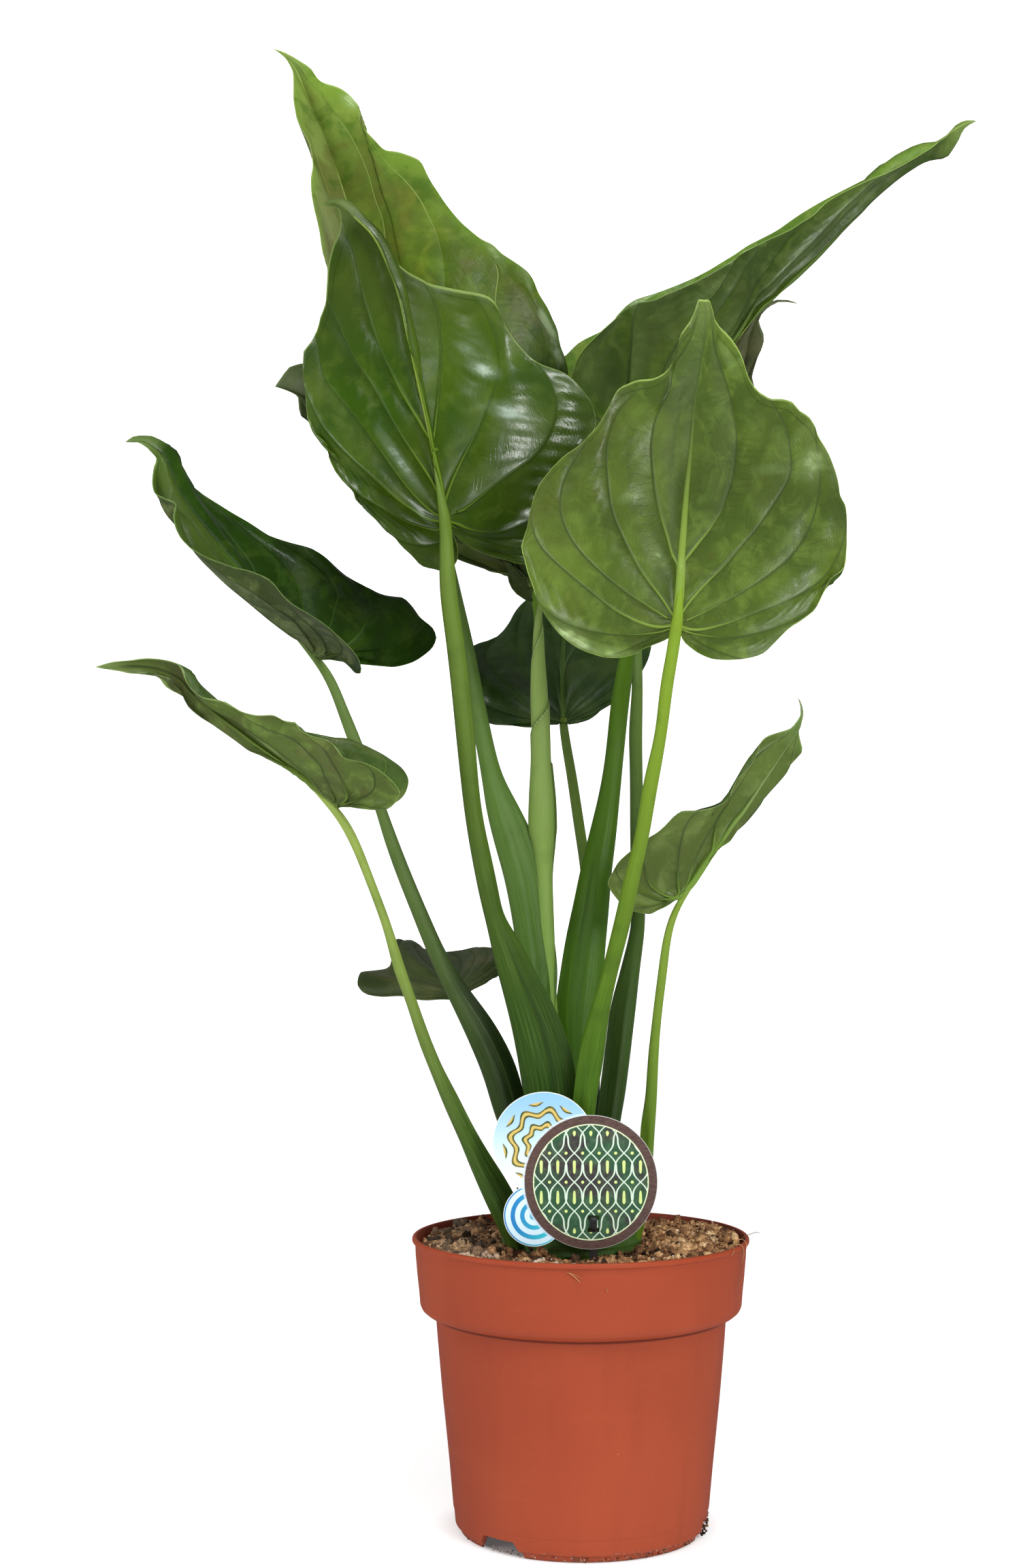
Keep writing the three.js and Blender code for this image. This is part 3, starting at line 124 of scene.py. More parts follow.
        (4.2, -21.7, 646.2), (8.8, -25.3, 663.2), (21.3, -27.6, 677.7), (31.1, -28.0, 687.1), (37.8, -27.7, 693.4), (44.9, -27.2, 696.7),
        (52.8, -26.5, 698.1), (60.7, -25.5, 701.9), (68.7, -24.4, 705.4), (76.6, -23.1, 708.9), (84.7, -21.6, 713.6), (92.7, -20.0, 718.8),
        (100.8, -18.3, 724.1), (108.9, -16.6, 729.7), (117.0, -14.9, 735.0), (125.2, -13.0, 739.1), (133.4, -10.8, 743.3), (141.7, -8.4, 748.9),
        (150.1, -5.6, 754.5), (158.6, -2.3, 762.7), (171.3, 2.3, 771.0), (184.1, 6.9, 778.5), (197.0, 11.5, 785.2), (210.1, 16.3, 792.1),
        (218.9, 20.0, 798.2), (227.9, 24.2, 805.7), (233.9, 27.3, 811.7), (238.0, 29.6, 816.2), (242.6, 31.8, 819.4), (252.5, 36.0, 823.3)],
      left=[
        (67.1, 12.0, 617.1), (65.3, 15.3, 611.2), (55.5, 20.4, 608.1), (39.7, 27.3, 611.3), (24.4, 32.7, 621.8), (9.4, 37.6, 638.0),
        (-2.8, 41.5, 655.3), (-6.5, 43.5, 668.2), (-4.8, 44.6, 676.0), (3.1, 45.9, 681.7), (11.8, 47.2, 690.3), (26.4, 48.7, 698.2),
        (32.6, 49.3, 702.1), (34.7, 49.6, 706.0), (38.9, 50.2, 711.1), (41.9, 50.5, 714.1), (47.3, 51.0, 717.6), (57.8, 51.8, 721.6),
        (66.1, 52.3, 724.7), (74.5, 52.9, 728.2), (82.9, 53.3, 732.1), (91.3, 53.7, 736.8), (99.6, 53.9, 741.9), (108.0, 54.0, 747.0),
        (116.4, 53.9, 752.4), (124.7, 53.7, 756.6), (133.0, 53.2, 761.1), (141.3, 52.6, 766.8), (149.6, 51.9, 772.1), (157.8, 51.0, 776.9),
        (166.0, 50.1, 781.2), (174.2, 49.2, 785.1), (182.4, 48.2, 789.0), (190.6, 47.2, 792.5), (198.8, 46.2, 796.4), (206.9, 45.1, 800.7),
        (215.0, 43.9, 803.7), (223.1, 42.4, 809.1), (231.1, 40.8, 813.6), (236.3, 39.7, 817.0), (239.0, 38.8, 820.4), (242.2, 38.1, 822.7),
        (247.0, 37.1, 824.1), (252.5, 36.0, 823.3)],),
    "leaf_5": dict(bulge=0.05,
      midrib=[
        (48.7, 82.0, 550.8), (55.4, 87.2, 572.8), (63.5, 93.5, 597.3), (73.5, 100.4, 622.2), (84.9, 107.9, 647.4), (97.3, 115.8, 670.8),
        (109.5, 123.9, 692.3), (120.7, 130.5, 710.2), (128.2, 134.2, 721.2), (132.9, 136.3, 729.3), (136.6, 137.7, 734.6), (143.0, 139.3, 738.5),
        (149.8, 140.6, 739.8), (157.0, 142.0, 738.3)],
      right=[
        (51.9, 80.0, 547.2), (60.9, 75.0, 539.3), (79.4, 68.8, 536.5), (100.1, 66.0, 543.7), (119.2, 68.3, 559.6), (132.5, 73.9, 581.5),
        (137.6, 80.4, 605.9), (135.6, 87.4, 630.6), (129.9, 96.8, 656.1), (124.9, 104.9, 675.1), (123.9, 107.8, 681.8), (126.0, 111.1, 688.6),
        (128.2, 114.9, 695.6), (130.8, 118.8, 702.2), (133.4, 122.5, 708.3), (133.4, 125.5, 713.9), (131.9, 128.3, 718.9), (130.9, 131.1, 724.9),
        (133.4, 133.1, 729.4), (139.0, 136.1, 735.0), (147.4, 139.1, 738.7), (157.0, 142.0, 738.3)],
      left=[
        (46.4, 80.0, 547.2), (35.7, 76.2, 543.3), (24.2, 72.9, 549.6), (17.4, 70.6, 564.1), (14.9, 70.3, 583.1), (17.6, 75.3, 607.1),
        (27.8, 85.5, 634.5), (43.2, 95.4, 660.1), (63.1, 104.4, 683.6), (83.2, 112.5, 700.7), (103.6, 121.0, 713.7), (119.7, 128.4, 723.4),
        (128.9, 132.5, 729.7), (135.4, 135.1, 734.3), (142.8, 137.7, 738.6), (150.1, 139.9, 740.0), (157.0, 142.0, 738.3)],),
    "leaf_6": dict(bulge=0.05,
      midrib=[
        (-140.1, -30.0, 492.7), (-147.1, -30.9, 499.7), (-154.0, -31.8, 506.6), (-161.0, -32.7, 513.9), (-167.1, -33.5, 520.8), (-175.2, -34.6, 530.1),
        (-184.0, -35.8, 539.7), (-194.4, -37.3, 551.9), (-203.9, -38.7, 563.4), (-213.1, -40.1, 574.8), (-220.7, -41.3, 586.3), (-225.3, -42.1, 595.5),
        (-228.3, -42.7, 604.0), (-233.7, -43.2, 609.3), (-240.6, -43.6, 612.3), (-248.2, -44.0, 612.3)],
      right=[
        (-137.3, -27.0, 490.7), (-128.0, -20.1, 489.0), (-122.0, -16.0, 488.1), (-115.3, -11.6, 488.1), (-99.2, -1.6, 488.2), (-88.8, 5.4, 490.9),
        (-80.6, 10.6, 496.2), (-75.1, 13.3, 502.1), (-73.5, 14.0, 507.0), (-75.1, 14.0, 511.8), (-82.4, 13.7, 518.2), (-89.2, 13.1, 527.1),
        (-94.0, 12.7, 530.6), (-102.8, 12.0, 531.0), (-116.8, 10.5, 537.2), (-130.4, 8.9, 545.5), (-141.5, 6.8, 554.9), (-148.2, 5.5, 558.7),
        (-160.4, 3.1, 562.0), (-170.9, 0.5, 565.6), (-184.4, -3.5, 573.5), (-195.5, -7.8, 579.6), (-210.2, -16.5, 588.9), (-221.3, -24.5, 597.8),
        (-225.0, -28.7, 604.9), (-228.1, -31.9, 610.6), (-228.6, -33.9, 614.6), (-234.7, -36.9, 615.2), (-241.5, -40.4, 616.1), (-248.2, -44.0, 612.3)],
      left=[
        (-138.3, -33.0, 489.3), (-133.9, -39.3, 488.4), (-125.3, -50.8, 487.0), (-119.9, -57.4, 484.8), (-116.4, -64.3, 479.7), (-113.5, -67.8, 478.2),
        (-112.5, -70.6, 480.2), (-113.3, -75.8, 484.7), (-116.4, -80.6, 489.5), (-121.0, -83.5, 494.5), (-125.7, -85.6, 499.1), (-130.8, -87.5, 503.8),
        (-136.7, -88.9, 507.7), (-142.9, -89.8, 511.3), (-149.2, -90.0, 514.7), (-154.5, -89.6, 519.2), (-158.3, -88.9, 524.5), (-162.1, -88.0, 528.7),
        (-169.4, -86.4, 532.3), (-175.9, -84.8, 534.4), (-180.9, -83.6, 535.3), (-187.9, -81.7, 537.8), (-197.7, -78.1, 541.7), (-207.5, -72.7, 548.5),
        (-214.2, -68.3, 554.4), (-218.0, -63.9, 562.7), (-218.8, -61.2, 568.4), (-217.7, -58.6, 574.2), (-220.7, -56.7, 577.2), (-225.7, -54.1, 579.2),
        (-232.4, -50.3, 583.3), (-233.2, -48.0, 588.7), (-232.1, -45.5, 596.9), (-230.3, -44.9, 602.4), (-233.4, -44.5, 606.3), (-237.4, -44.3, 609.9),
        (-243.6, -44.0, 612.6), (-248.2, -44.0, 612.3)],),
    "leaf_7": dict(bulge=0.06,
      midrib=[
        (-124.0, -90.0, 404.7), (-127.7, -90.4, 407.7), (-133.9, -91.2, 412.8), (-139.8, -91.9, 418.3), (-148.6, -93.0, 424.9), (-158.1, -94.2, 431.2),
        (-168.0, -95.5, 438.1), (-177.4, -96.8, 445.4), (-188.3, -98.3, 453.5), (-198.1, -99.8, 461.5), (-203.5, -100.8, 466.6), (-207.5, -101.6, 472.0),
        (-213.2, -102.5, 475.6), (-221.2, -103.6, 478.5), (-231.2, -105.0, 479.5), (-241.9, -106.5, 479.1), (-252.6, -108.0, 478.8)],
      right=[
        (-121.2, -88.0, 404.0), (-115.3, -82.5, 403.8), (-106.4, -75.1, 404.0), (-97.4, -69.1, 405.3), (-90.1, -64.1, 409.6), (-87.6, -61.3, 413.8),
        (-86.6, -58.5, 418.9), (-89.4, -55.1, 425.5), (-96.9, -51.6, 431.7), (-104.6, -50.1, 436.4), (-113.4, -50.3, 440.2), (-122.1, -51.3, 443.2),
        (-129.7, -52.5, 443.5), (-138.3, -54.4, 445.3), (-146.9, -56.6, 447.5), (-155.8, -59.0, 449.6), (-164.1, -62.7, 452.4), (-171.3, -66.5, 453.0),
        (-179.4, -71.5, 454.9), (-187.0, -77.1, 459.0), (-191.1, -80.5, 462.5), (-195.2, -83.2, 464.6), (-197.8, -85.8, 467.3), (-200.5, -88.1, 469.0),
        (-203.5, -90.4, 468.9), (-205.2, -91.8, 467.6), (-208.5, -94.4, 466.1), (-211.8, -96.7, 465.8), (-216.2, -99.6, 468.1), (-219.2, -101.8, 472.7),
        (-225.5, -103.7, 475.2), (-233.6, -105.7, 475.4), (-241.8, -107.2, 477.1), (-252.6, -108.0, 478.8)],
      left=[
        (-122.8, -92.0, 403.5), (-120.0, -94.9, 403.8), (-112.0, -102.8, 402.5), (-103.2, -110.1, 401.6), (-95.6, -115.0, 402.2), (-90.4, -119.0, 406.1),
        (-88.4, -121.7, 410.3), (-91.9, -124.9, 415.3), (-96.1, -127.5, 419.5), (-102.4, -130.1, 424.0), (-108.0, -131.8, 426.5), (-113.6, -133.3, 427.5),
        (-117.1, -134.1, 428.2), (-119.6, -135.0, 431.3), (-122.4, -136.0, 434.9), (-126.6, -136.9, 438.0), (-131.2, -137.5, 439.1), (-135.8, -137.8, 440.1),
        (-140.8, -138.0, 443.7), (-142.9, -137.8, 447.2), (-148.0, -137.2, 447.6), (-156.4, -135.6, 450.6), (-162.2, -134.1, 450.3), (-172.3, -131.2, 452.3),
        (-176.8, -129.6, 455.3), (-181.7, -127.9, 458.7), (-188.1, -125.3, 459.6), (-193.5, -122.5, 460.2), (-198.3, -119.5, 462.9), (-201.4, -117.0, 466.4),
        (-203.9, -114.0, 471.7), (-206.1, -111.5, 477.4), (-209.2, -110.3, 480.4), (-225.5, -108.9, 482.8), (-241.7, -108.2, 481.0), (-252.6, -108.0, 478.8)],),
    "leaf_8": dict(bulge=0.04,
      midrib=[
        (-63.1, 40.0, 294.0), (-65.2, 60.6, 299.4), (-67.4, 80.0, 305.1), (-70.0, 97.5, 310.7), (-73.0, 111.5, 315.2), (-76.8, 122.0, 317.8)],
      right=[
        (-60.2, 38.0, 292.9), (-52.5, 38.8, 297.3), (-43.1, 41.4, 302.5), (-37.0, 46.1, 307.5), (-31.7, 54.8, 312.1), (-29.6, 62.0, 316.7),
        (-33.0, 68.5, 320.6), (-42.2, 80.1, 321.5), (-49.1, 88.8, 321.6), (-59.9, 102.3, 319.4), (-70.1, 114.3, 317.7), (-76.8, 122.0, 317.8)],
      left=[
        (-65.5, 38.0, 292.1), (-72.3, 34.0, 292.3), (-79.0, 30.6, 292.1), (-87.0, 28.2, 293.0), (-94.7, 28.0, 294.7), (-104.8, 28.0, 294.3),
        (-114.1, 28.0, 295.5), (-119.0, 28.8, 298.7), (-120.9, 31.7, 301.7), (-119.5, 41.2, 308.2), (-112.7, 51.2, 308.9), (-106.6, 59.4, 309.0),
        (-102.8, 65.6, 311.2), (-102.3, 71.8, 315.5), (-102.3, 79.2, 320.7), (-99.8, 88.2, 325.8), (-93.9, 97.5, 325.1), (-88.7, 106.0, 322.3),
        (-83.0, 114.4, 319.0), (-76.8, 122.0, 317.8)],),
    "leaf_9": dict(bulge=0.05,
      midrib=[
        (64.6, -55.0, 354.7), (68.5, -54.7, 358.9), (72.3, -54.4, 363.1), (76.9, -54.0, 370.3), (83.1, -53.5, 379.0), (90.0, -53.0, 388.6),
        (95.8, -52.5, 396.6), (100.1, -52.3, 401.5), (105.1, -52.0, 408.8), (110.9, -51.6, 417.6), (117.5, -51.2, 427.2), (122.5, -50.9, 434.8),
        (127.1, -50.7, 441.7), (130.6, -50.5, 447.1), (132.6, -50.3, 453.2), (133.4, -50.2, 459.4), (131.9, -50.0, 466.3)],
      right=[
        (61.5, -56.0, 352.1), (58.3, -58.4, 349.4), (53.2, -61.5, 346.9), (48.1, -64.3, 345.0), (43.4, -66.3, 345.8), (38.5, -67.9, 347.0),
        (32.4, -69.7, 350.4), (28.5, -71.1, 354.5), (25.5, -72.3, 358.7), (24.0, -73.3, 363.2), (25.8, -74.1, 366.9), (29.5, -75.2, 373.7),
        (36.2, -75.9, 380.0), (45.6, -75.9, 387.1), (52.4, -75.5, 391.2), (58.4, -74.9, 396.5), (62.2, -74.4, 400.6), (66.0, -74.0, 402.5),
        (71.7, -73.4, 402.5), (79.2, -72.5, 403.5), (86.8, -71.5, 405.6), (91.8, -70.5, 407.9), (94.6, -69.3, 412.4), (97.4, -67.7, 417.8),
        (101.0, -65.9, 422.7), (104.2, -64.3, 426.6), (107.5, -61.9, 433.5), (110.1, -59.7, 440.5), (113.7, -58.3, 444.3), (120.0, -56.6, 446.7),
        (127.1, -54.7, 449.1), (130.3, -53.5, 452.6), (132.6, -52.2, 457.7), (132.9, -51.2, 461.6), (131.9, -50.0, 466.3)],
      left=[
        (62.6, -52.0, 353.5), (56.6, -44.6, 353.8), (49.5, -36.1, 356.8), (42.2, -28.3, 362.9), (39.7, -24.2, 369.1), (42.3, -19.9, 376.1),
        (48.9, -15.0, 383.2), (57.0, -10.7, 390.3), (65.1, -8.3, 397.1), (73.0, -8.1, 402.2), (80.8, -8.6, 404.9), (88.7, -9.6, 407.3),
        (94.1, -10.6, 410.8), (99.1, -12.1, 416.7), (102.9, -13.3, 421.0), (105.2, -13.8, 420.1), (106.7, -14.9, 415.4), (107.3, -16.5, 408.3),
        (108.6, -18.0, 403.5), (111.3, -19.1, 404.7), (114.9, -21.5, 409.3), (119.6, -25.2, 415.4), (121.6, -28.8, 422.3), (123.6, -31.4, 426.9),
        (128.3, -34.5, 431.0), (133.0, -37.3, 433.6), (135.7, -40.1, 437.7), (134.3, -42.5, 442.2), (132.8, -45.3, 448.2), (133.5, -47.4, 455.0),
        (134.0, -48.6, 459.5), (133.5, -49.4, 463.3), (131.9, -50.0, 466.3)],),
    "leaf_10": dict(bulge=0.06,
      midrib=[
        (2.6, 50.0, 458.9), (2.0, 59.3, 472.8), (2.3, 71.5, 490.5), (3.4, 85.7, 510.8), (5.5, 100.4, 531.6), (8.5, 116.6, 553.1),
        (12.1, 133.2, 572.8), (15.7, 149.6, 590.6), (17.8, 162.0, 603.7)],
      right=[
        (5.8, 49.0, 457.6), (10.8, 50.9, 458.9), (17.1, 53.8, 462.0), (23.9, 57.6, 466.4), (30.4, 62.4, 473.0), (39.5, 70.7, 482.0),
        (48.5, 80.1, 493.4), (55.1, 85.6, 502.3), (58.3, 89.2, 510.3), (57.8, 93.9, 520.2), (54.0, 101.3, 531.7), (48.2, 112.3, 546.0),
        (40.3, 126.7, 563.1), (31.3, 141.3, 580.6), (23.8, 153.6, 594.8), (17.8, 162.0, 603.7)],
      left=[
        (-0.8, 49.0, 457.6), (-9.0, 49.2, 456.8), (-18.1, 49.7, 455.5), (-30.0, 50.7, 456.9), (-42.0, 52.1, 458.2), (-50.3, 54.4, 464.1),
        (-57.9, 60.3, 477.0), (-60.2, 66.9, 490.1), (-57.3, 72.7, 501.1), (-52.8, 76.7, 507.4), (-43.2, 82.7, 511.8), (-35.2, 88.8, 517.5),
        (-30.1, 94.3, 524.5), (-27.1, 98.9, 531.0), (-23.6, 103.1, 536.3), (-18.9, 107.8, 541.1), (-10.1, 118.0, 553.2), (-1.1, 132.0, 570.4),
        (8.0, 147.2, 588.1), (17.8, 162.0, 603.7)],),
    "leaf_11": dict(bulge=0.05,
      midrib=[
        (-16.7, 15.0, 537.4), (-31.7, 22.3, 551.3), (-48.0, 29.9, 566.7), (-66.6, 38.1, 584.4), (-86.6, 46.3, 603.5), (-106.5, 53.8, 622.3),
        (-126.6, 60.6, 639.5), (-145.0, 66.2, 653.3), (-160.2, 70.4, 663.5), (-175.7, 74.0, 669.3)],
      right=[
        (-19.1, 15.0, 541.4), (-21.6, 16.3, 552.6), (-20.7, 18.5, 567.1), (-25.6, 21.3, 581.7), (-37.8, 25.7, 596.7), (-54.2, 31.9, 610.1),
        (-74.9, 39.6, 623.1), (-98.0, 48.4, 638.8), (-117.1, 56.3, 653.8), (-134.3, 62.8, 667.8), (-145.1, 66.1, 676.1), (-153.7, 68.3, 680.8),
        (-158.9, 69.5, 682.4), (-166.6, 71.2, 680.6), (-170.5, 72.4, 675.8), (-175.7, 74.0, 669.3)],
      left=[
        (-14.3, 14.0, 533.2), (-13.9, 13.6, 529.1), (-16.8, 13.3, 527.1), (-22.4, 12.8, 529.9), (-26.8, 12.5, 533.4), (-30.0, 12.3, 538.7),
        (-32.0, 12.1, 547.9), (-36.9, 12.0, 557.2), (-47.7, 12.5, 563.8), (-61.1, 13.8, 566.4), (-74.0, 15.6, 562.6), (-88.7, 18.1, 569.0),
        (-102.7, 22.5, 580.7), (-117.5, 30.9, 597.6), (-130.0, 40.1, 614.9), (-139.7, 47.5, 628.7), (-147.6, 52.4, 637.1), (-153.8, 56.4, 643.8),
        (-158.2, 59.0, 647.2), (-159.8, 62.1, 653.7), (-160.5, 65.2, 660.3), (-169.4, 70.3, 665.6), (-175.7, 74.0, 669.3)],),
}

# rows from the blade end down into the soil: x, y, z, half width across, half depth
STALKS = {
    "leaf_stalk_1": [
        (-77.8, -10.0, 597.1, 2.9, 3.2), (-73.0, -9.0, 575.0, 3.3, 3.5), (-67.9, -8.0, 555.2, 3.7, 3.9), (-64.9, -9.0, 539.2, 4.6, 4.5),
        (-55.7, -12.0, 498.0, 5.0, 5.0), (-49.7, -15.0, 467.3, 5.0, 5.1), (-43.5, -18.0, 437.3, 5.2, 5.2), (-40.0, -19.0, 422.3, 6.2, 5.4),
        (-35.1, -20.0, 407.0, 8.9, 6.0), (-27.1, -22.0, 384.7, 11.3, 7.0), (-20.5, -25.0, 361.3, 11.6, 7.5), (-17.0, -27.0, 337.7, 11.0, 7.5),
        (-13.6, -30.0, 308.4, 11.0, 7.5), (-13.6, -32.0, 291.1, 9.1, 7.5), (-10.8, -35.0, 261.4, 8.1, 7.5), (-8.5, -37.0, 230.9, 7.3, 7.5),
        (-6.6, -38.0, 192.9, 6.5, 7.5), (-5.3, -38.0, 157.8, 6.4, 7.5)],
    "leaf_stalk_2": [
        (-65.2, -83.0, 559.0, 3.3, 3.4), (-64.6, -82.0, 544.9, 3.9, 3.8), (-64.2, -81.0, 530.0, 4.6, 4.5), (-59.8, -78.0, 492.7, 5.0, 4.8),
        (-54.8, -75.0, 448.6, 5.2, 5.0), (-52.5, -73.0, 421.7, 4.9, 5.0), (-50.7, -72.0, 405.6, 4.8, 5.1), (-42.4, -68.0, 361.6, 5.5, 5.5),
        (-38.1, -66.0, 342.4, 5.2, 5.6), (-33.4, -65.0, 331.5, 7.7, 6.0), (-25.5, -63.0, 310.0, 10.3, 6.5), (-13.8, -60.0, 278.5, 14.1, 7.0),
        (-8.1, -59.0, 253.2, 15.4, 7.0), (-6.4, -58.0, 233.2, 13.8, 7.0), (-5.7, -58.0, 195.6, 12.3, 7.0), (-5.1, -58.0, 160.0, 11.8, 7.0)],
    "leaf_stalk_3": [
        (56.9, -140.0, 496.0, 3.2, 3.2), (55.3, -137.0, 483.4, 3.2, 3.3), (52.9, -133.0, 469.4, 3.4, 3.4), (50.0, -125.0, 442.7, 3.2, 3.5),
        (45.0, -116.0, 415.2, 3.9, 3.8), (40.7, -106.0, 387.5, 3.8, 4.0), (34.7, -96.0, 359.6, 4.3, 4.4), (30.5, -88.0, 338.1, 4.5, 4.7),
        (24.7, -81.0, 314.2, 4.3, 4.9), (18.9, -76.0, 290.5, 5.5, 5.4), (14.5, -71.5, 266.3, 7.0, 5.6), (11.2, -69.5, 242.3, 6.4, 5.6),
        (8.2, -68.0, 197.0, 6.4, 5.6), (7.4, -68.0, 161.7, 6.4, 5.6)],
    "leaf_stalk_4": [
        (65.0, 10.0, 618.4, 3.1, 3.4), (55.1, 9.0, 577.8, 3.5, 3.9), (46.7, 7.0, 537.2, 4.1, 4.3), (38.8, 3.0, 495.0, 4.5, 4.6),
        (34.6, 0.0, 468.4, 5.3, 5.0), (31.2, -4.0, 438.0, 5.3, 5.2), (28.5, -7.0, 418.0, 5.9, 5.6), (23.3, -12.0, 387.9, 7.9, 6.5),
        (19.6, -15.0, 368.3, 9.1, 7.0), (16.5, -18.0, 347.2, 10.5, 7.0), (13.7, -20.0, 330.1, 11.6, 7.0), (10.8, -23.0, 308.0, 12.4, 7.0),
        (8.4, -25.0, 290.7, 12.4, 7.0), (8.3, -28.0, 258.8, 10.1, 7.0), (8.6, -30.0, 230.2, 8.1, 7.0), (8.9, -31.0, 191.9, 7.4, 7.0),
        (9.1, -31.0, 156.7, 6.8, 7.0)],
    "leaf_stalk_5": [
        (48.6, 80.0, 548.0, 2.9, 2.8), (47.8, 68.0, 507.0, 3.3, 3.2), (47.9, 62.0, 485.5, 3.3, 3.3), (46.5, 54.0, 453.3, 4.1, 3.7),
        (46.2, 46.0, 426.5, 3.9, 3.7), (46.0, 33.0, 381.2, 4.1, 3.8), (46.1, 21.0, 344.1, 4.0, 3.9), (40.4, 10.0, 310.0, 5.7, 5.0),
        (35.4, 3.0, 285.4, 7.5, 6.0), (31.9, -3.0, 260.6, 7.5, 6.5), (28.5, -8.0, 236.0, 7.4, 6.5), (26.6, -10.0, 226.0, 6.9, 6.5),
        (24.3, -13.0, 189.4, 7.1, 6.5), (23.4, -14.0, 153.9, 7.1, 6.5)],
    "leaf_stalk_6": [
        (-139.7, -28.0, 491.4, 2.2, 2.4), (-132.5, -28.0, 478.1, 2.8, 2.8), (-127.7, -29.0, 466.3, 2.9, 2.9), (-118.7, -29.0, 443.3, 3.6, 3.3),
        (-103.6, -30.0, 404.4, 3.1, 3.3), (-99.9, -30.0, 392.7, 3.6, 3.4), (-78.2, -31.0, 338.2, 4.5, 4.2), (-70.1, -31.0, 319.6, 5.0, 4.6),
        (-60.0, -31.0, 301.1, 6.2, 5.0), (-45.5, -32.0, 276.9, 8.9, 6.0), (-34.6, -32.0, 252.3, 9.8, 6.5), (-31.2, -33.0, 240.1, 9.7, 6.5),
        (-22.3, -34.0, 207.6, 7.9, 6.5), (-17.7, -35.0, 184.8, 7.3, 6.5), (-14.7, -35.0, 156.2, 6.5, 6.5)],
    "leaf_stalk_7": [
        (-122.9, -90.0, 403.2, 2.4, 2.4), (-117.7, -88.0, 391.8, 2.6, 2.5), (-106.9, -84.0, 365.5, 2.4, 2.6), (-97.4, -80.0, 339.4, 2.5, 2.6),
        (-90.5, -76.0, 315.4, 3.2, 3.0), (-84.0, -74.0, 297.5, 3.0, 3.1), (-78.1, -72.0, 279.8, 3.4, 3.3), (-71.0, -70.0, 261.7, 3.5, 3.4),
        (-62.8, -67.0, 243.5, 4.6, 4.0), (-54.4, -65.0, 225.4, 5.1, 4.6), (-45.4, -62.0, 207.0, 6.7, 5.2), (-38.9, -60.0, 194.8, 7.9, 5.8),
        (-33.0, -59.0, 182.7, 8.3, 6.0), (-27.9, -58.0, 170.9, 7.6, 6.0), (-23.6, -57.0, 158.7, 6.4, 6.0)],
    "leaf_stalk_8": [
        (-62.7, 40.0, 292.8, 1.8, 2.2), (-58.1, 37.0, 283.6, 2.2, 2.5), (-52.3, 32.0, 271.8, 2.2, 2.7), (-42.1, 21.0, 248.6, 2.6, 3.1),
        (-33.2, 11.0, 225.7, 3.0, 3.5), (-21.3, 0.0, 187.6, 3.5, 4.0), (-13.9, -6.0, 152.5, 3.9, 4.4)],
    "leaf_stalk_9": [
        (62.9, -55.0, 353.2, 1.7, 1.9), (59.1, -54.0, 337.2, 2.1, 2.1), (55.4, -52.0, 312.9, 2.5, 2.4), (52.5, -49.0, 288.8, 2.5, 2.4),
        (50.3, -47.0, 264.3, 2.9, 2.7), (49.2, -45.0, 239.8, 3.3, 3.0), (47.2, -43.0, 224.0, 4.2, 3.6), (46.9, -42.0, 212.8, 3.8, 3.6),
        (44.2, -40.0, 185.5, 4.2, 3.8), (37.8, -38.0, 156.7, 4.5, 4.2)],
    "leaf_stalk_10": [
        (4.0, 50.0, 457.2, 2.7, 2.4), (7.4, 41.0, 424.7, 3.0, 2.8), (11.8, 32.0, 393.0, 3.2, 3.0), (14.1, 28.0, 377.5, 3.2, 3.0),
        (17.5, 20.0, 344.9, 3.6, 3.2), (19.0, 8.0, 305.3, 4.0, 3.6), (18.2, -1.0, 258.5, 4.4, 4.0), (15.6, -5.0, 203.9, 4.7, 4.6),
        (13.4, -6.0, 152.5, 4.9, 4.8)],
    "leaf_stalk_11": [
        (-16.3, 15.0, 534.2, 2.0, 2.2), (-13.5, 13.0, 521.8, 2.4, 2.3), (-13.2, 10.0, 495.7, 2.4, 2.4), (-12.3, 3.0, 438.3, 2.6, 2.6),
        (-11.0, -3.0, 384.9, 2.8, 2.8), (-9.7, -7.0, 345.4, 3.0, 2.9), (-7.4, -10.0, 306.2, 3.3, 3.2), (-5.1, -12.0, 259.4, 3.7, 3.6),
        (-3.4, -13.0, 205.0, 4.3, 4.0), (-3.1, -13.0, 153.7, 4.7, 4.4)],
    "rolled_new_leaf": [
        (-9.6, -23.0, 539.0, 0.5, 0.5), (-10.8, -23.0, 530.3, 1.2, 1.2), (-12.2, -23.0, 522.5, 2.1, 2.2), (-13.3, -23.0, 515.0, 2.8, 2.9),
        (-13.6, -23.0, 504.4, 3.9, 3.8), (-13.6, -23.0, 492.6, 4.3, 4.2), (-13.1, -23.0, 473.0, 5.2, 4.9), (-12.1, -23.0, 437.0, 5.9, 5.6),
        (-11.5, -23.0, 406.9, 7.2, 6.4), (-11.4, -23.0, 394.4, 7.3, 6.6), (-10.7, -23.0, 384.7, 6.0, 6.0), (-10.2, -25.0, 362.5, 4.3, 4.4),
        (-9.4, -27.0, 338.1, 4.3, 4.2), (-7.6, -29.0, 299.4, 3.9, 4.0), (-4.1, -31.0, 245.6, 3.9, 4.0), (-1.5, -33.0, 192.2, 4.3, 4.2),
        (-0.4, -33.0, 157.0, 4.6, 4.4)],
}

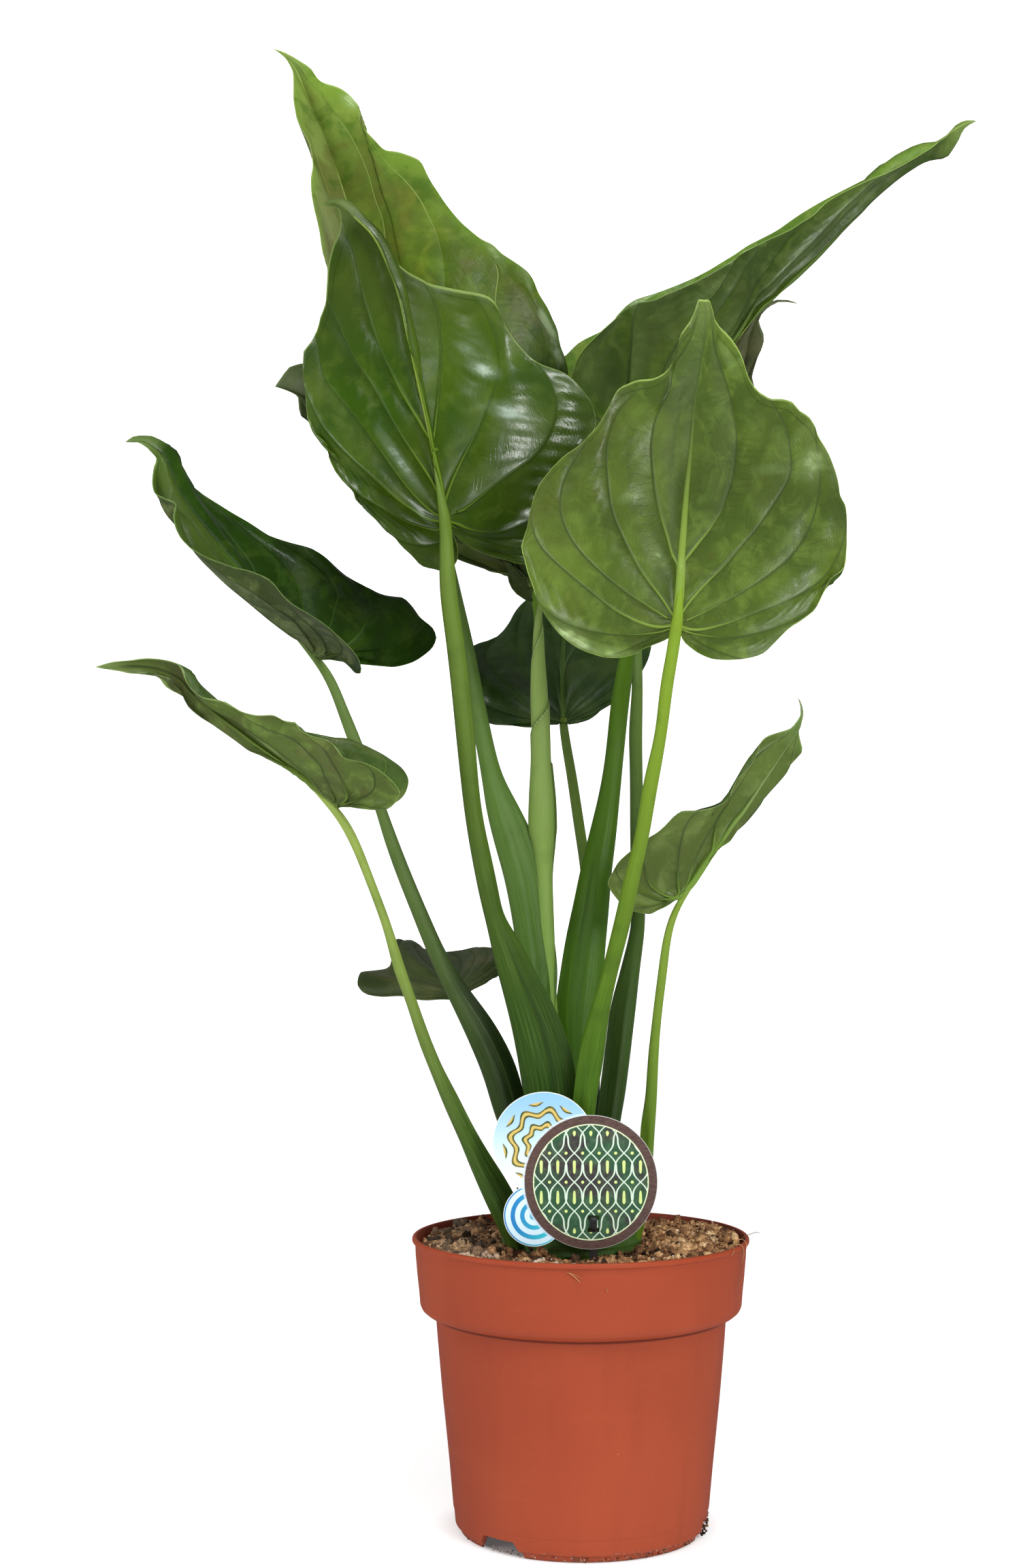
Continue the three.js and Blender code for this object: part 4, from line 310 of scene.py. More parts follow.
# Main side veins in blade coordinates: (place along the margin from notch 0 to tip 1, way out from the stalk to the margin)
VEIN_SET = [
    [(1, .17), (.93, .27), (.855, .42), (.815, .58), (.82, .74), (.845, .86), (.89, .94), (.93, 1)],
    [(1, 0), (.80, .067), (.69, .22), (.665, .36), (.665, .54), (.68, .70), (.71, .84), (.76, .93), (.80, 1)],
    [(1, 0), (.53, .045), (.505, .22), (.51, .38), (.525, .53), (.55, .70), (.585, .84), (.625, .94), (.655, 1)],
    [(1, 0), (.20, .07), (.31, .25), (.375, .42), (.405, .60), (.43, .78), (.46, .91), (.49, 1)],
    [(1, 0), (.08, .10), (.15, .30), (.20, .50), (.25, .70), (.29, .87), (.325, 1)],
    [(1, 0), (.03, .15), (.06, .35), (.09, .60), (.12, .82), (.15, 1)],
]
VEINS = {
    "leaf_1": {
        1: [[(1, .17), (.95, .30), (.90, .43), (.878, .57), (.866, .65), (.866, .735), (.872, .79), (.884, .84), (.90, .895), (.934, .925), (.962, .95), (.975, 1)],
            [(1, 0), (.80, .08), (.70, .25), (.665, .45), (.657, .62), (.663, .68), (.677, .735), (.697, .80), (.709, .86), (.729, .918), (.756, .955), (.79, 1)],
            [(1, 0), (.55, .05), (.50, .25), (.50, .45), (.505, .65), (.513, .78), (.512, .86), (.52, .92), (.537, .965), (.555, 1)],
            [(1, 0), (.25, .07), (.29, .30), (.31, .60), (.33, .78), (.37, .85), (.43, .88), (.49, .90), (.54, .95), (.57, 1)],
            [(1, 0), (.08, .10), (.15, .30), (.19, .50), (.22, .70), (.25, .87), (.27, 1)],
            VEIN_SET[5]],
    },
    "leaf_2": {
        -1: [[(1, .19), (.90, .245), (.846, .318), (.826, .37), (.812, .43), (.80, .49), (.79, .58), (.782, .67), (.777, .85), (.79, .97), (.795, 1)],
             [(1, 0), (.80, .08), (.70, .27), (.66, .50), (.65, .70), (.672, .84), (.70, .95), (.715, 1)],
             [(1, 0), (.45, .08), (.472, .22), (.462, .44), (.485, .66), (.522, .85), (.56, 1)],
             [(1, 0), (.16, .06), (.14, .20), (.165, .39), (.228, .55), (.29, .75), (.34, .90), (.37, 1)],
             [(1, 0), (.04, .10), (.055, .35), (.08, .55), (.155, .76), (.20, .90), (.22, 1)],
             [(1, 0), (.02, .20), (.03, .50), (.05, .80), (.08, 1)]],
        1: [[(1, .19), (.93, .31), (.885, .51), (.873, .72), (.895, .87), (.93, .96), (.95, 1)],
            [(1, 0), (.905, .12), (.83, .37), (.81, .61), (.79, .86), (.797, .96), (.80, 1)],
            [(1, 0), (.65, .06), (.70, .32), (.715, .58), (.70, .82), (.713, .95), (.72, 1)],
            [(1, 0), (.36, .07), (.50, .22), (.575, .40), (.588, .62), (.595, .80), (.605, .92), (.61, 1)],
            [(1, 0), (.15, .10), (.30, .35), (.40, .60), (.43, .80), (.46, 1)],
            [(1, 0), (.05, .15), (.13, .40), (.20, .65), (.24, .85), (.27, 1)]],
    },
    "leaf_3": {
        1: [[(1, .17), (.968, .197), (.872, .305), (.832, .443), (.822, .57), (.822, .695), (.832, .80), (.855, .865), (.895, .885), (.935, .90), (.955, .92), (.97, .945), (.985, .965), (.99, 1)],
            [(1, 0), (.74, .065), (.66, .29), (.667, .53), (.693, .74), (.712, .85), (.765, .915), (.805, .965), (.83, 1)],
            [(1, 0), (.547, .046), (.505, .25), (.52, .51), (.55, .73), (.572, .81), (.618, .92), (.66, 1)],
            [(1, 0), (.195, .069), (.325, .254), (.413, .446), (.44, .62), (.455, .80), (.475, .92), (.50, 1)],
            VEIN_SET[4], VEIN_SET[5]],
        -1: [[(1, .17), (.982, .194), (.932, .236), (.882, .302), (.834, .40), (.814, .495), (.814, .594), (.828, .69), (.842, .767), (.872, .813), (.914, .862), (.952, .915), (.985, .95), (.995, 1)],
             [(1, 0), (.825, .065), (.69, .32), (.677, .53), (.68, .70), (.715, .846), (.76, .95), (.78, 1)],
             [(1, 0), (.517, .035), (.51, .258), (.522, .50), (.565, .727), (.615, .869), (.65, .95), (.67, 1)],
             [(1, 0), (.16, .077), (.335, .377), (.393, .685), (.453, .888), (.49, 1)],
             VEIN_SET[4], VEIN_SET[5]],
    },
    "leaf_4": {
        1: [[(1, .17), (.93, .25), (.878, .325), (.83, .44), (.794, .574), (.798, .672), (.796, .774), (.79, .879), (.80, .95), (.815, 1)],
            [(1, 0), (.86, .15), (.806, .371), (.766, .502), (.697, .689), (.657, .875), (.639, .967), (.63, 1)],
            [(1, 0), (.70, .12), (.62, .35), (.607, .567), (.615, .695), (.599, .866), (.577, .987), (.57, 1)],
            [(1, 0), (.42, .10), (.47, .35), (.51, .55), (.535, .725), (.548, .85), (.533, 1)],
            [(1, 0), (.14, .10), (.27, .25), (.329, .403), (.353, .521), (.367, .659), (.373, .826), (.38, 1)],
            [(1, 0), (.05, .15), (.12, .35), (.16, .60), (.19, .82), (.21, 1)]],
    },
    "leaf_9": {
        1: [VEIN_SET[0], VEIN_SET[1],
            [(1, 0), (.575, .02), (.535, .196), (.535, .49), (.532, .735), (.54, .93), (.55, 1)],
            [(1, 0), (.09, .12), (.20, .22), (.325, .435), (.37, .688), (.393, .873), (.41, 1)],
            [(1, 0), (.05, .10), (.11, .31), (.16, .46), (.22, .65), (.26, .85), (.28, 1)],
            VEIN_SET[5]],
    },
}
MM = 0.001
WORLD = 0.22


# ---- small numeric helpers ----
def arc(points):
    d = np.r_[0, np.cumsum(np.linalg.norm(np.diff(points, axis=0), axis=1))]
    return d / d[-1]


class Curve:
    """Monotone cubic through given points (no overshoot), for arrays of any width."""

    def __init__(self, x, y):
        x, y = np.asarray(x, float), np.asarray(y, float)
        if y.ndim == 1:
            y = y[:, None]
            self.flat = True
        else:
            self.flat = False
        h = np.diff(x)[:, None]
        d = np.diff(y, axis=0) / h
        m = np.zeros_like(y)
        if len(x) > 2:
            w1, w2 = 2 * h[1:] + h[:-1], h[1:] + 2 * h[:-1]
            same = d[:-1] * d[1:] > 0
            with np.errstate(divide="ignore", invalid="ignore"):
                hm = (w1 + w2) / (w1 / d[:-1] + w2 / d[1:])
            m[1:-1] = np.where(same, np.nan_to_num(hm), 0)
            m[0] = self.end(h[0], h[1], d[0], d[1])
            m[-1] = self.end(h[-1], h[-2], d[-1], d[-2])
        else:
            m[:] = d[0]
        self.x, self.y, self.m, self.h, self.d = x, y, m, h, d

    @staticmethod
    def end(h0, h1, d0, d1):
        e = ((2 * h0 + h1) * d0 - h0 * d1) / (h0 + h1)
        e = np.where(np.sign(e) != np.sign(d0), 0, e)
        return np.where((np.sign(d0) != np.sign(d1)) & (np.abs(e) > 3 * np.abs(d0)), 3 * d0, e)

    def __call__(self, t):
        t = np.clip(np.asarray(t, float), self.x[0], self.x[-1])
        i = np.clip(np.searchsorted(self.x, t, side="right") - 1, 0, len(self.x) - 2)
        h = self.h[i]
        s = ((t - self.x[i]) / h[..., 0])[..., None]
        y0, y1, m0, m1 = self.y[i], self.y[i + 1], self.m[i], self.m[i + 1]
        v = (1 + 2 * s) * (1 - s) ** 2 * y0 + s * (1 - s) ** 2 * h * m0 + s * s * (3 - 2 * s) * y1 + s * s * (s - 1) * h * m1
        return v[..., 0] if self.flat else v


def smoothstep(a, b, x):
    t = np.clip((x - a) / (b - a), 0, 1)
    return t * t * (3 - 2 * t)


def lattice(seed, n=64):
    return np.random.default_rng(seed).uniform(-1, 1, (n, n, n))


def noise3(p, scale, seed=1):
    """Smooth value noise of points p (n, 3) in mm, -1..1."""
    L = lattice(seed, 32)
    q = np.asarray(p, float) / scale + 1000.0
    i = np.floor(q).astype(int)
    f = q - i
    f = f * f * (3 - 2 * f)
    out = 0
    for a in (0, 1):
        for b in (0, 1):
            for c in (0, 1):
                w = (f[:, 0] if a else 1 - f[:, 0]) * (f[:, 1] if b else 1 - f[:, 1]) * (f[:, 2] if c else 1 - f[:, 2])
                out = out + w * L[(i[:, 0] + a) % 32, (i[:, 1] + b) % 32, (i[:, 2] + c) % 32]
    return out


def mesh_object(name, verts_mm, faces, attrs=None, mats=(), face_mat=None, smooth=True):
    me = bpy.data.meshes.new(name)
    me.from_pydata((np.asarray(verts_mm) * MM).tolist(), [], faces)
    me.update()
    for k, v in (attrs or {}).items():
        v = np.asarray(v, np.float32)
        if v.ndim == 1:
            a = me.attributes.new(k, "FLOAT", "POINT")
            a.data.foreach_set("value", v)
        else:
            a = me.attributes.new(k, "FLOAT_VECTOR", "POINT")
            a.data.foreach_set("vector", v.ravel())
    for m in mats:
        me.materials.append(m)
    if face_mat is not None:
        me.polygons.foreach_set("material_index", np.asarray(face_mat, np.int32))
    me.polygons.foreach_set("use_smooth", np.full(len(me.polygons), smooth))
    o = bpy.data.objects.new(name, me)
    bpy.context.scene.collection.objects.link(o)
    return o


def join_meshes(parts):
    """parts: list of (verts, faces, attrs dict, material index); returns one verts, faces, attrs, face_mat."""
    V, F, FM, at, n = [], [], [], {}, 0
    for v, f, a, m in parts:
        V.append(v)
        F += [[i + n for i in q] for q in f]
        FM += [m] * len(f)
        for k, x in a.items():
            at.setdefault(k, []).append(np.asarray(x, float))
        n += len(v)
    return np.concatenate(V), F, {k: np.concatenate(x) for k, x in at.items()}, FM


def done(o, node):
    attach(o, "root")
    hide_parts(node)
    return o


# ---------------------------------------------------------------------------------------------------------------
# materials
# ---------------------------------------------------------------------------------------------------------------
def lin(c):
    """8-bit display colour to linear."""
    c = np.asarray(c, float) / 255
    return tuple(np.where(c <= 0.04045, c / 12.92, ((c + 0.055) / 1.055) ** 2.4)) + (1.0,)


class Nodes:
    def __init__(self, name):
        self.mat = bpy.data.materials.new(name)
        self.mat.use_nodes = True
        self.nt = self.mat.node_tree
        self.nt.nodes.clear()
        self.out = self.nt.nodes.new("ShaderNodeOutputMaterial")
        self.p = self.nt.nodes.new("ShaderNodeBsdfPrincipled")
        self.link(self.p.outputs[0], self.out.inputs[0])

    def link(self, a, b):
        self.nt.links.new(a, b)

    def put(self, socket, v):
        if hasattr(v, "is_output"):
            self.link(v, socket)
        else:
            socket.default_value = v

    def attr(self, name, what="Fac"):
        n = self.nt.nodes.new("ShaderNodeAttribute")
        n.attribute_name = name
        return n.outputs[what]

    def coords(self):
        return self.nt.nodes.new("ShaderNodeTexCoord").outputs["Object"]

    def mapping(self, v, scale=(1, 1, 1), loc=(0, 0, 0), rot=(0, 0, 0)):
        n = self.nt.nodes.new("ShaderNodeMapping")
        self.put(n.inputs["Vector"], v)
        n.inputs["Scale"].default_value = scale
        n.inputs["Location"].default_value = loc
        n.inputs["Rotation"].default_value = rot
        return n.outputs[0]

    def noise(self, vec, scale, detail=3.0, rough=0.5, dist=0.0, what="Fac"):
        n = self.nt.nodes.new("ShaderNodeTexNoise")
        self.put(n.inputs["Vector"], vec)
        n.inputs["Scale"].default_value = scale
        n.inputs["Detail"].default_value = detail
        n.inputs["Roughness"].default_value = rough
        n.inputs["Distortion"].default_value = dist
        return n.outputs[what]

    def voronoi(self, vec, scale, feature="F1", what="Distance", rand=1.0):
        n = self.nt.nodes.new("ShaderNodeTexVoronoi")
        n.feature = feature
        self.put(n.inputs["Vector"], vec)
        n.inputs["Scale"].default_value = scale
        n.inputs["Randomness"].default_value = rand
        return n.outputs[what]

    def wave(self, vec, scale, dist=0.0, detail=2.0, dscale=1.0, direction="X", profile="SIN"):
        n = self.nt.nodes.new("ShaderNodeTexWave")
        n.bands_direction = direction
        n.wave_profile = profile
        self.put(n.inputs["Vector"], vec)
        n.inputs["Scale"].default_value = scale
        n.inputs["Distortion"].default_value = dist
        n.inputs["Detail"].default_value = detail
        n.inputs["Detail Scale"].default_value = dscale
        return n.outputs["Fac"]

    def math(self, op, a, b=0.0, c=0.0, clamp=False):
        n = self.nt.nodes.new("ShaderNodeMath")
        n.operation = op
        n.use_clamp = clamp
        self.put(n.inputs[0], a)
        self.put(n.inputs[1], b)
        self.put(n.inputs[2], c)
        return n.outputs[0]

    def ramp(self, f, stops, mode="LINEAR"):
        n = self.nt.nodes.new("ShaderNodeValToRGB")
        n.color_ramp.interpolation = mode
        e = n.color_ramp.elements
        while len(e) < len(stops):
            e.new(0.5)
        for i, (x, c) in enumerate(stops):
            e[i].position = x
            e[i].color = c if hasattr(c, "__len__") else (c, c, c, 1)
        self.put(n.inputs[0], f)
        return n.outputs[0]

    def maprange(self, v, a, b, c=0.0, d=1.0, smooth=True):
        n = self.nt.nodes.new("ShaderNodeMapRange")
        n.interpolation_type = "SMOOTHSTEP" if smooth else "LINEAR"
        self.put(n.inputs["Value"], v)
        for k, x in (("From Min", a), ("From Max", b), ("To Min", c), ("To Max", d)):
            n.inputs[k].default_value = x
        return n.outputs[0]

    def mix(self, f, a, b, mode="MIX"):
        n = self.nt.nodes.new("ShaderNodeMix")
        n.data_type = "RGBA"
        n.blend_type = mode
        n.clamp_factor = True
        self.put(n.inputs[0], f)
        self.put(n.inputs[6], a)
        self.put(n.inputs[7], b)
        return n.outputs[2]

    def bump(self, h, strength=0.3, dist=0.001, normal=None):
        n = self.nt.nodes.new("ShaderNodeBump")
        n.inputs["Strength"].default_value = strength
        n.inputs["Distance"].default_value = dist
        self.put(n.inputs["Height"], h)
        if normal is not None:
            self.link(normal, n.inputs["Normal"])
        return n.outputs[0]

    def vmath(self, op, a, b=(0, 0, 0), what=0):
        n = self.nt.nodes.new("ShaderNodeVectorMath")
        n.operation = op
        self.put(n.inputs[0], a)
        self.put(n.inputs[1], b)
        return n.outputs[what]

    def vscale(self, v, k):
        n = self.nt.nodes.new("ShaderNodeVectorMath")
        n.operation = "SCALE"
        self.put(n.inputs[0], v)
        self.put(n.inputs["Scale"], k)
        return n.outputs[0]

    def sep(self, v):
        n = self.nt.nodes.new("ShaderNodeSeparateXYZ")
        self.put(n.inputs[0], v)
        return n.outputs

    def comb(self, x, y, z=0.0):
        n = self.nt.nodes.new("ShaderNodeCombineXYZ")
        self.put(n.inputs[0], x)
        self.put(n.inputs[1], y)
        self.put(n.inputs[2], z)
        return n.outputs[0]


def scaled(c, k):
    c = np.asarray(c, float)
    return tuple(np.clip(c[:3] * k, 0, 1)) + (1.0,)


def olive(c):
    """The same colour, browner and greyer."""
    return (min(c[0] * 1.42, 1), c[1] * 1.04, c[2] * 1.25, 1.0)


# painted highlights: pale patches that stand in for the lamps' gloss reflections on the blades; x, z of the middle,
# angle, half length, half width, strength
PAINTED_HIGHLIGHTS = {
    "leaf_2": [(-54.2, 660.3, -20, 5.5, 2.6, .40), (-43.6, 648.0, -15, 7.5, 3.6, .60), (-29.6, 625.3, -12, 11, 4.4, .62), (-92, 597, -57, 20, 2.6, .50), (-35, 606, 80, 9, 1.8, .35),
               (-78, 566, -50, 10, 2.0, .45)],
    "leaf_3": [(131.4, 587, 35, 12, 6.5, .50), (124, 600, 50, 9, 3.0, .35), (109.3, 581.6, 8, 11, 2.6, .40), (32, 566, 14, 6.0, 3.0, .45), (46.7, 535, -60, 13, 2.8, .38), (60, 527, -60, 9, 2.4, .34),
               (4, 493, -32, 14, 4.6, .50), (24, 485, -8, 13, 3.4, .38), (84, 636, -60, 9, 3.4, .36), (112, 512, 15, 10, 2.4, .30)],
    "leaf_1": [(-126.5, 836, -40, 6, 4, .6), (-8, 690, -62, 12, 3.0, .75), (-2, 672, -70, 7, 3.0, .65), (-40, 735, -60, 14, 3.0, .4)],
}
PAINTED_HIGHLIGHT_COL = {"leaf_2": lin((178, 198, 180)), "leaf_3": lin((158, 182, 120)), "leaf_1": lin((176, 198, 150))}


def leaf_material(name, base, dark, light, vein_lo, vein_hi, edge, rough, under, seed, tert=0.5, vein_w=1.0, far=None, tone=(1, 1, 1), half=None, midhi=None, spec=0.48, relief=0.40):
    """A blade face: mottled green, main veins, fine cross veins between them, a pale rim; waxy gloss."""
    m = Nodes(name)
    leaf = "_".join(name.split("_")[:2])
    co = m.coords()
    pq = m.attr("pq", "Vector")
    off = m.mapping(co, loc=(seed * 3.1, seed * 1.7, seed * 0.9))
    big = m.noise(off, 20, 2.0, 0.5, 0.4)
    mid = m.noise(off, 70, 3.0, 0.6, 0.6)
    fine = m.noise(off, 800, 2.0, 0.6)
    x, y, z = m.sep(pq)
    # x: mm along the vein, y: share of the way across the panel, z: mm across
    grain = m.noise(m.comb(m.math("MULTIPLY", x, 0.020), m.math("MULTIPLY", z, 0.075), seed * 0.31), 1.0, 4.0, 0.62)
    col = m.mix(m.maprange(big, 0.36, 0.62), base, dark)
    col = m.mix(m.math("MULTIPLY", m.maprange(mid, 0.44, 0.68), 0.62), col, light)
    pool = m.noise(off, 34, 3.0, 0.55, 0.8)
    col = m.mix(m.math("MULTIPLY", m.maprange(pool, 0.52, 0.70), 0.55), col, olive(dark if under else light))
    col = m.mix(m.math("MULTIPLY", m.maprange(grain, 0.50, 0.78), 0.45), col, dark)
    # fine side veins: thin lines that leave the main veins slantwise and run for the margin
    bend = m.math("MULTIPLY", m.math("ABSOLUTE", m.math("SUBTRACT", y, 0.5)), 30.0)
    wob = m.math("MULTIPLY", m.math("SUBTRACT", m.noise(off, 48, 3.0, 0.6), 0.5), 15.0)
    ph = m.math("ADD", m.math("ADD", x, bend), wob)
    patchy = m.maprange(m.noise(off, 95, 2.0), 0.38, 0.62)
    lines = m.math("MULTIPLY", m.maprange(m.math("SINE", m.math("MULTIPLY", ph, 2 * math.pi / 4.3)), 0.66, 1.0), patchy)
    ph2 = m.math("ADD", m.math("MULTIPLY", x, 0.42), m.math("ADD", z, m.math("MULTIPLY", wob, 0.6)))
    lines2 = m.math("MULTIPLY", m.maprange(m.math("SINE", m.math("MULTIPLY", ph2, 2 * math.pi / 1.5)), 0.4, 1.0), m.maprange(m.noise(off, 150, 2.0), 0.4, 0.6))
    col = m.mix(m.math("MULTIPLY", lines, 0.22 * tert), col, scaled(dark, 0.45))
    col = m.mix(m.math("MULTIPLY", lines2, 0.13 * tert), col, scaled(light, 1.15) if not under else scaled(dark, 0.5))
    col = m.mix(m.math("MULTIPLY", m.maprange(fine, 0.35, 0.75), 0.16), col, scaled(dark, 0.6))
    if half:
        # painted light: one half of the blade takes a paler colour that stands in for a sheen of reflected light and
        # for brighter light on that side
        sel = m.attr("half") if half[2] > 0 else m.math("SUBTRACT", 1.0, m.attr("half"))
        col = m.mix(m.math("MULTIPLY", m.maprange(sel, 0.4, 0.6), half[1]), col, m.mix(m.maprange(grain, 0.35, 0.65), half[0], scaled(half[0], 0.75)))
    if far:
        # the colour shifts towards the tip
        col = m.mix(m.math("MULTIPLY", m.maprange(m.attr("ax"), far[1], far[2]), far[3]), col, m.mix(m.maprange(mid, 0.35, 0.65), far[0], scaled(far[0], 0.78)))
    # a thin collecting vein runs along just inside the margin
    em = m.attr("em")
    sub = m.math("MULTIPLY", m.maprange(m.math("ABSOLUTE", m.math("SUBTRACT", em, m.math("ADD", 3.0, m.math("MULTIPLY", m.noise(off, 14, 2.0), 1.6)))), 0.55, 0.15), 0.42 * tert)
    col = m.mix(sub, col, scaled(dark, 0.5) if under else scaled(light, 1.2))
    if name == "leaf_1_upper":
        wide = m.noise(off, 26, 3.0, 0.6, 0.5)
        near_edge = m.math("MULTIPLY", m.maprange(em, 20, 3), m.maprange(wide, 0.34, 0.56))
        col = m.mix(m.math("MULTIPLY", near_edge, 0.40), col, lin((106, 142, 44)))
        inner = m.math("MULTIPLY", m.maprange(em, 12, 30), m.maprange(m.noise(m.mapping(off, loc=(.3, .1, .2)), 30, 3.0, 0.6), 0.46, 0.62))
        col = m.mix(m.math("MULTIPLY", inner, 0.50), col, lin((84, 84, 34)))
        deep = m.math("MULTIPLY", m.maprange(m.noise(m.mapping(off, loc=(.7, .4, .1)), 40, 3.0, 0.6), 0.53, 0.65), 0.60)
        col = m.mix(deep, col, lin((54, 88, 18)))
    # main veins
    vein = m.attr("vein")
    tau = m.attr("tau")
    vcol = m.mix(m.maprange(tau, 0.10, 0.52), vein_lo, vein_hi)
    col = m.mix(m.math("MULTIPLY", m.maprange(m.attr("dvw"), 1.15, 0.35), 0.9 * vein_w), col, vcol)
    # shade line beside each vein
    side = m.attr("flank")
    col = m.mix(m.math("MULTIPLY", side, 0.34 if under or leaf == "leaf_1" else 0.16), col, scaled(dark, 0.45))
    midr = m.attr("midrib")
    col = m.mix(m.maprange(m.attr("dmw"), 0.95, 0.45), col, m.mix(m.maprange(tau, 0.05, 0.50) if name.startswith("leaf_2") else m.maprange(tau, 0.1, 0.75), vein_lo, midhi or scaled(vein_hi, 1.15)))
    # darker near the margin of leaf_6's basal lobe, on the lower face
    col = m.mix(m.math("MULTIPLY", m.attr("dusk"), 0.85 if under else 0.0), col, lin((36, 56, 22)))
    # painted highlights: pale patches that stand in for gloss reflections of the lamps
    if leaf in PAINTED_HIGHLIGHTS:
        bl = m.attr("painted_highlight")
        soft = m.math("ADD", bl, m.math("MULTIPLY", m.math("SUBTRACT", m.noise(m.mapping(off, scale=(1, 1, 2.2)), 120, 3.0, 0.6), 0.5), 0.55))
        highlight_paint = m.math("ADD", m.math("MULTIPLY", m.maprange(soft, 0.30, 0.62), 0.55), m.math("MULTIPLY", bl, 0.30))
        col = m.mix(m.math("MULTIPLY", highlight_paint, m.maprange(bl, 0.06, 0.25)), col, PAINTED_HIGHLIGHT_COL[leaf])
    # rim
    rim = m.attr("rim")
    col = m.mix(m.math("MULTIPLY", m.maprange(rim, 0.35, 0.9), 0.8), col, edge)
    # tip goes yellowish
    tip = m.attr("tip")
    col = m.mix(m.math("MULTIPLY", m.maprange(tip, 0.55, 1.0), 0.18 if name.startswith("leaf_3") else 0.5), col, scaled(edge, 0.85))
    # a few tiny pale specks
    sp = m.voronoi(off, 260)
    spots = m.math("MULTIPLY", m.maprange(sp, 0.035, 0.015, 0, 1), m.maprange(m.noise(off, 31, 1.0), 0.60, 0.66))
    col = m.mix(m.math("MULTIPLY", spots, 0.55), col, lin((190, 200, 160)))
    if tone != (1, 1, 1):
        # painted light and shade: the colour is made lighter and darker from the stalk to the tip, where more and less
        # light falls on the blade
        ax = m.attr("ax")
        k = m.math("ADD", m.maprange(ax, 0.0, 0.5, tone[0], tone[1]), m.maprange(ax, 0.5, 1.0, 0.0, tone[2] - tone[1]))
        col = m.vscale(col, k)
    m.put(m.p.inputs["Base Color"], col)
    r = m.math("ADD", rough - 0.09, m.math("MULTIPLY", mid, 0.16))
    r = m.math("ADD", r, m.math("MULTIPLY", fine, 0.05))
    r = m.math("ADD", r, m.math("MULTIPLY", m.math("MAXIMUM", m.math("MAXIMUM", vein, side), midr), 0.20))
    r = m.math("ADD", r, m.math("MULTIPLY", m.attr("calm"), 0.10 if leaf == "leaf_2" else 0.30))
    m.put(m.p.inputs["Roughness"], r)
    m.p.inputs["Specular IOR Level"].default_value = spec
    m.p.inputs["Subsurface Weight"].default_value = 0.0
    h = m.math("ADD", m.math("MULTIPLY", m.noise(off, 110, 3.0, 0.55), 1.3), m.math("MULTIPLY", lines, -0.16 if not under else 0.16))
    h = m.math("ADD", h, m.math("MULTIPLY", m.noise(off, 700, 2.0), 0.16))
    h = m.math("ADD", h, m.math("MULTIPLY", lines2, 0.08))
    b = m.bump(h, relief, 0.0006)
    m.link(b, m.p.inputs["Normal"])
    return m.mat


def stalk_material(name, top, low, dark, light, rough=0.36, seed=0, streak=1.0):
    """Petiole: lengthwise fibres, colour from the blade end to the sheath, pale thin sheath edge."""
    m = Nodes(name)
    co = m.coords()
    off = m.mapping(co, loc=(seed * 0.37, seed * 0.21, 0))
    s = m.attr("along")
    a = m.attr("around")
    col = m.mix(m.maprange(s, 0.05, 0.85), top, low)
    v = m.comb(m.math("MULTIPLY", a, 1.0), m.math("MULTIPLY", s, 0.35), 0.0)
    v = m.mapping(v, loc=(seed * 1.3, seed * 0.7, 0))
    fib = m.noise(v, 30, 4.0, 0.6)
    fib2 = m.noise(v, 90, 2.0, 0.6)
    mot = m.noise(off, 60, 3.0)
    col = m.mix(m.math("MULTIPLY", m.maprange(fib, 0.42, 0.72), 0.35 * streak), col, light)
    col = m.mix(m.math("MULTIPLY", m.maprange(fib2, 0.5, 0.8), 0.35 * streak), col, dark)
    col = m.mix(m.math("MULTIPLY", m.maprange(mot, 0.5, 0.8), 0.25), col, dark)
    # painted shade: darker along a sheath's fold line and on its wing, and along the rolled leaf's seam
    w = m.attr("shade")
    col = m.mix(w, col, scaled(dark, 0.55))
    e = m.attr("pale")
    col = m.mix(m.maprange(e, 0.3, 0.9), col, scaled(light, 1.25))
    sp = m.maprange(m.voronoi(off, 420), 0.05, 0.02, 0, 1)
    col = m.mix(m.math("MULTIPLY", sp, 0.35), col, scaled(light, 1.2))
    m.put(m.p.inputs["Base Color"], col)
    m.put(m.p.inputs["Roughness"], m.math("ADD", rough - 0.06, m.math("MULTIPLY", mot, 0.16)))
    m.p.inputs["Specular IOR Level"].default_value = 0.30
    h = m.math("ADD", fib, m.math("MULTIPLY", fib2, 0.5))
    m.link(m.bump(h, 0.25, 0.0006), m.p.inputs["Normal"])
    return m.mat


# ---------------------------------------------------------------------------------------------------------------
# leaf blades: the main veins are lines of the mesh, so each vein is a real ridge below and a groove above
# ---------------------------------------------------------------------------------------------------------------
def smooth_margin(G, sigma):
    """Margin points (n, 3) smoothed along their length, ends kept."""
    n = len(G)
    k = int(4 * sigma * n)
    pre = 2 * G[0] - G[1:k + 1][::-1]
    post = 2 * G[-1] - G[-k - 1:-1][::-1]
    X = np.concatenate([pre, G, post])
    t = np.arange(-k, k + 1) / (sigma * n)
    w = np.exp(-0.5 * t * t)
    w /= w.sum()
    return np.stack([np.convolve(X[:, c], w, "valid") for c in range(3)], 1)


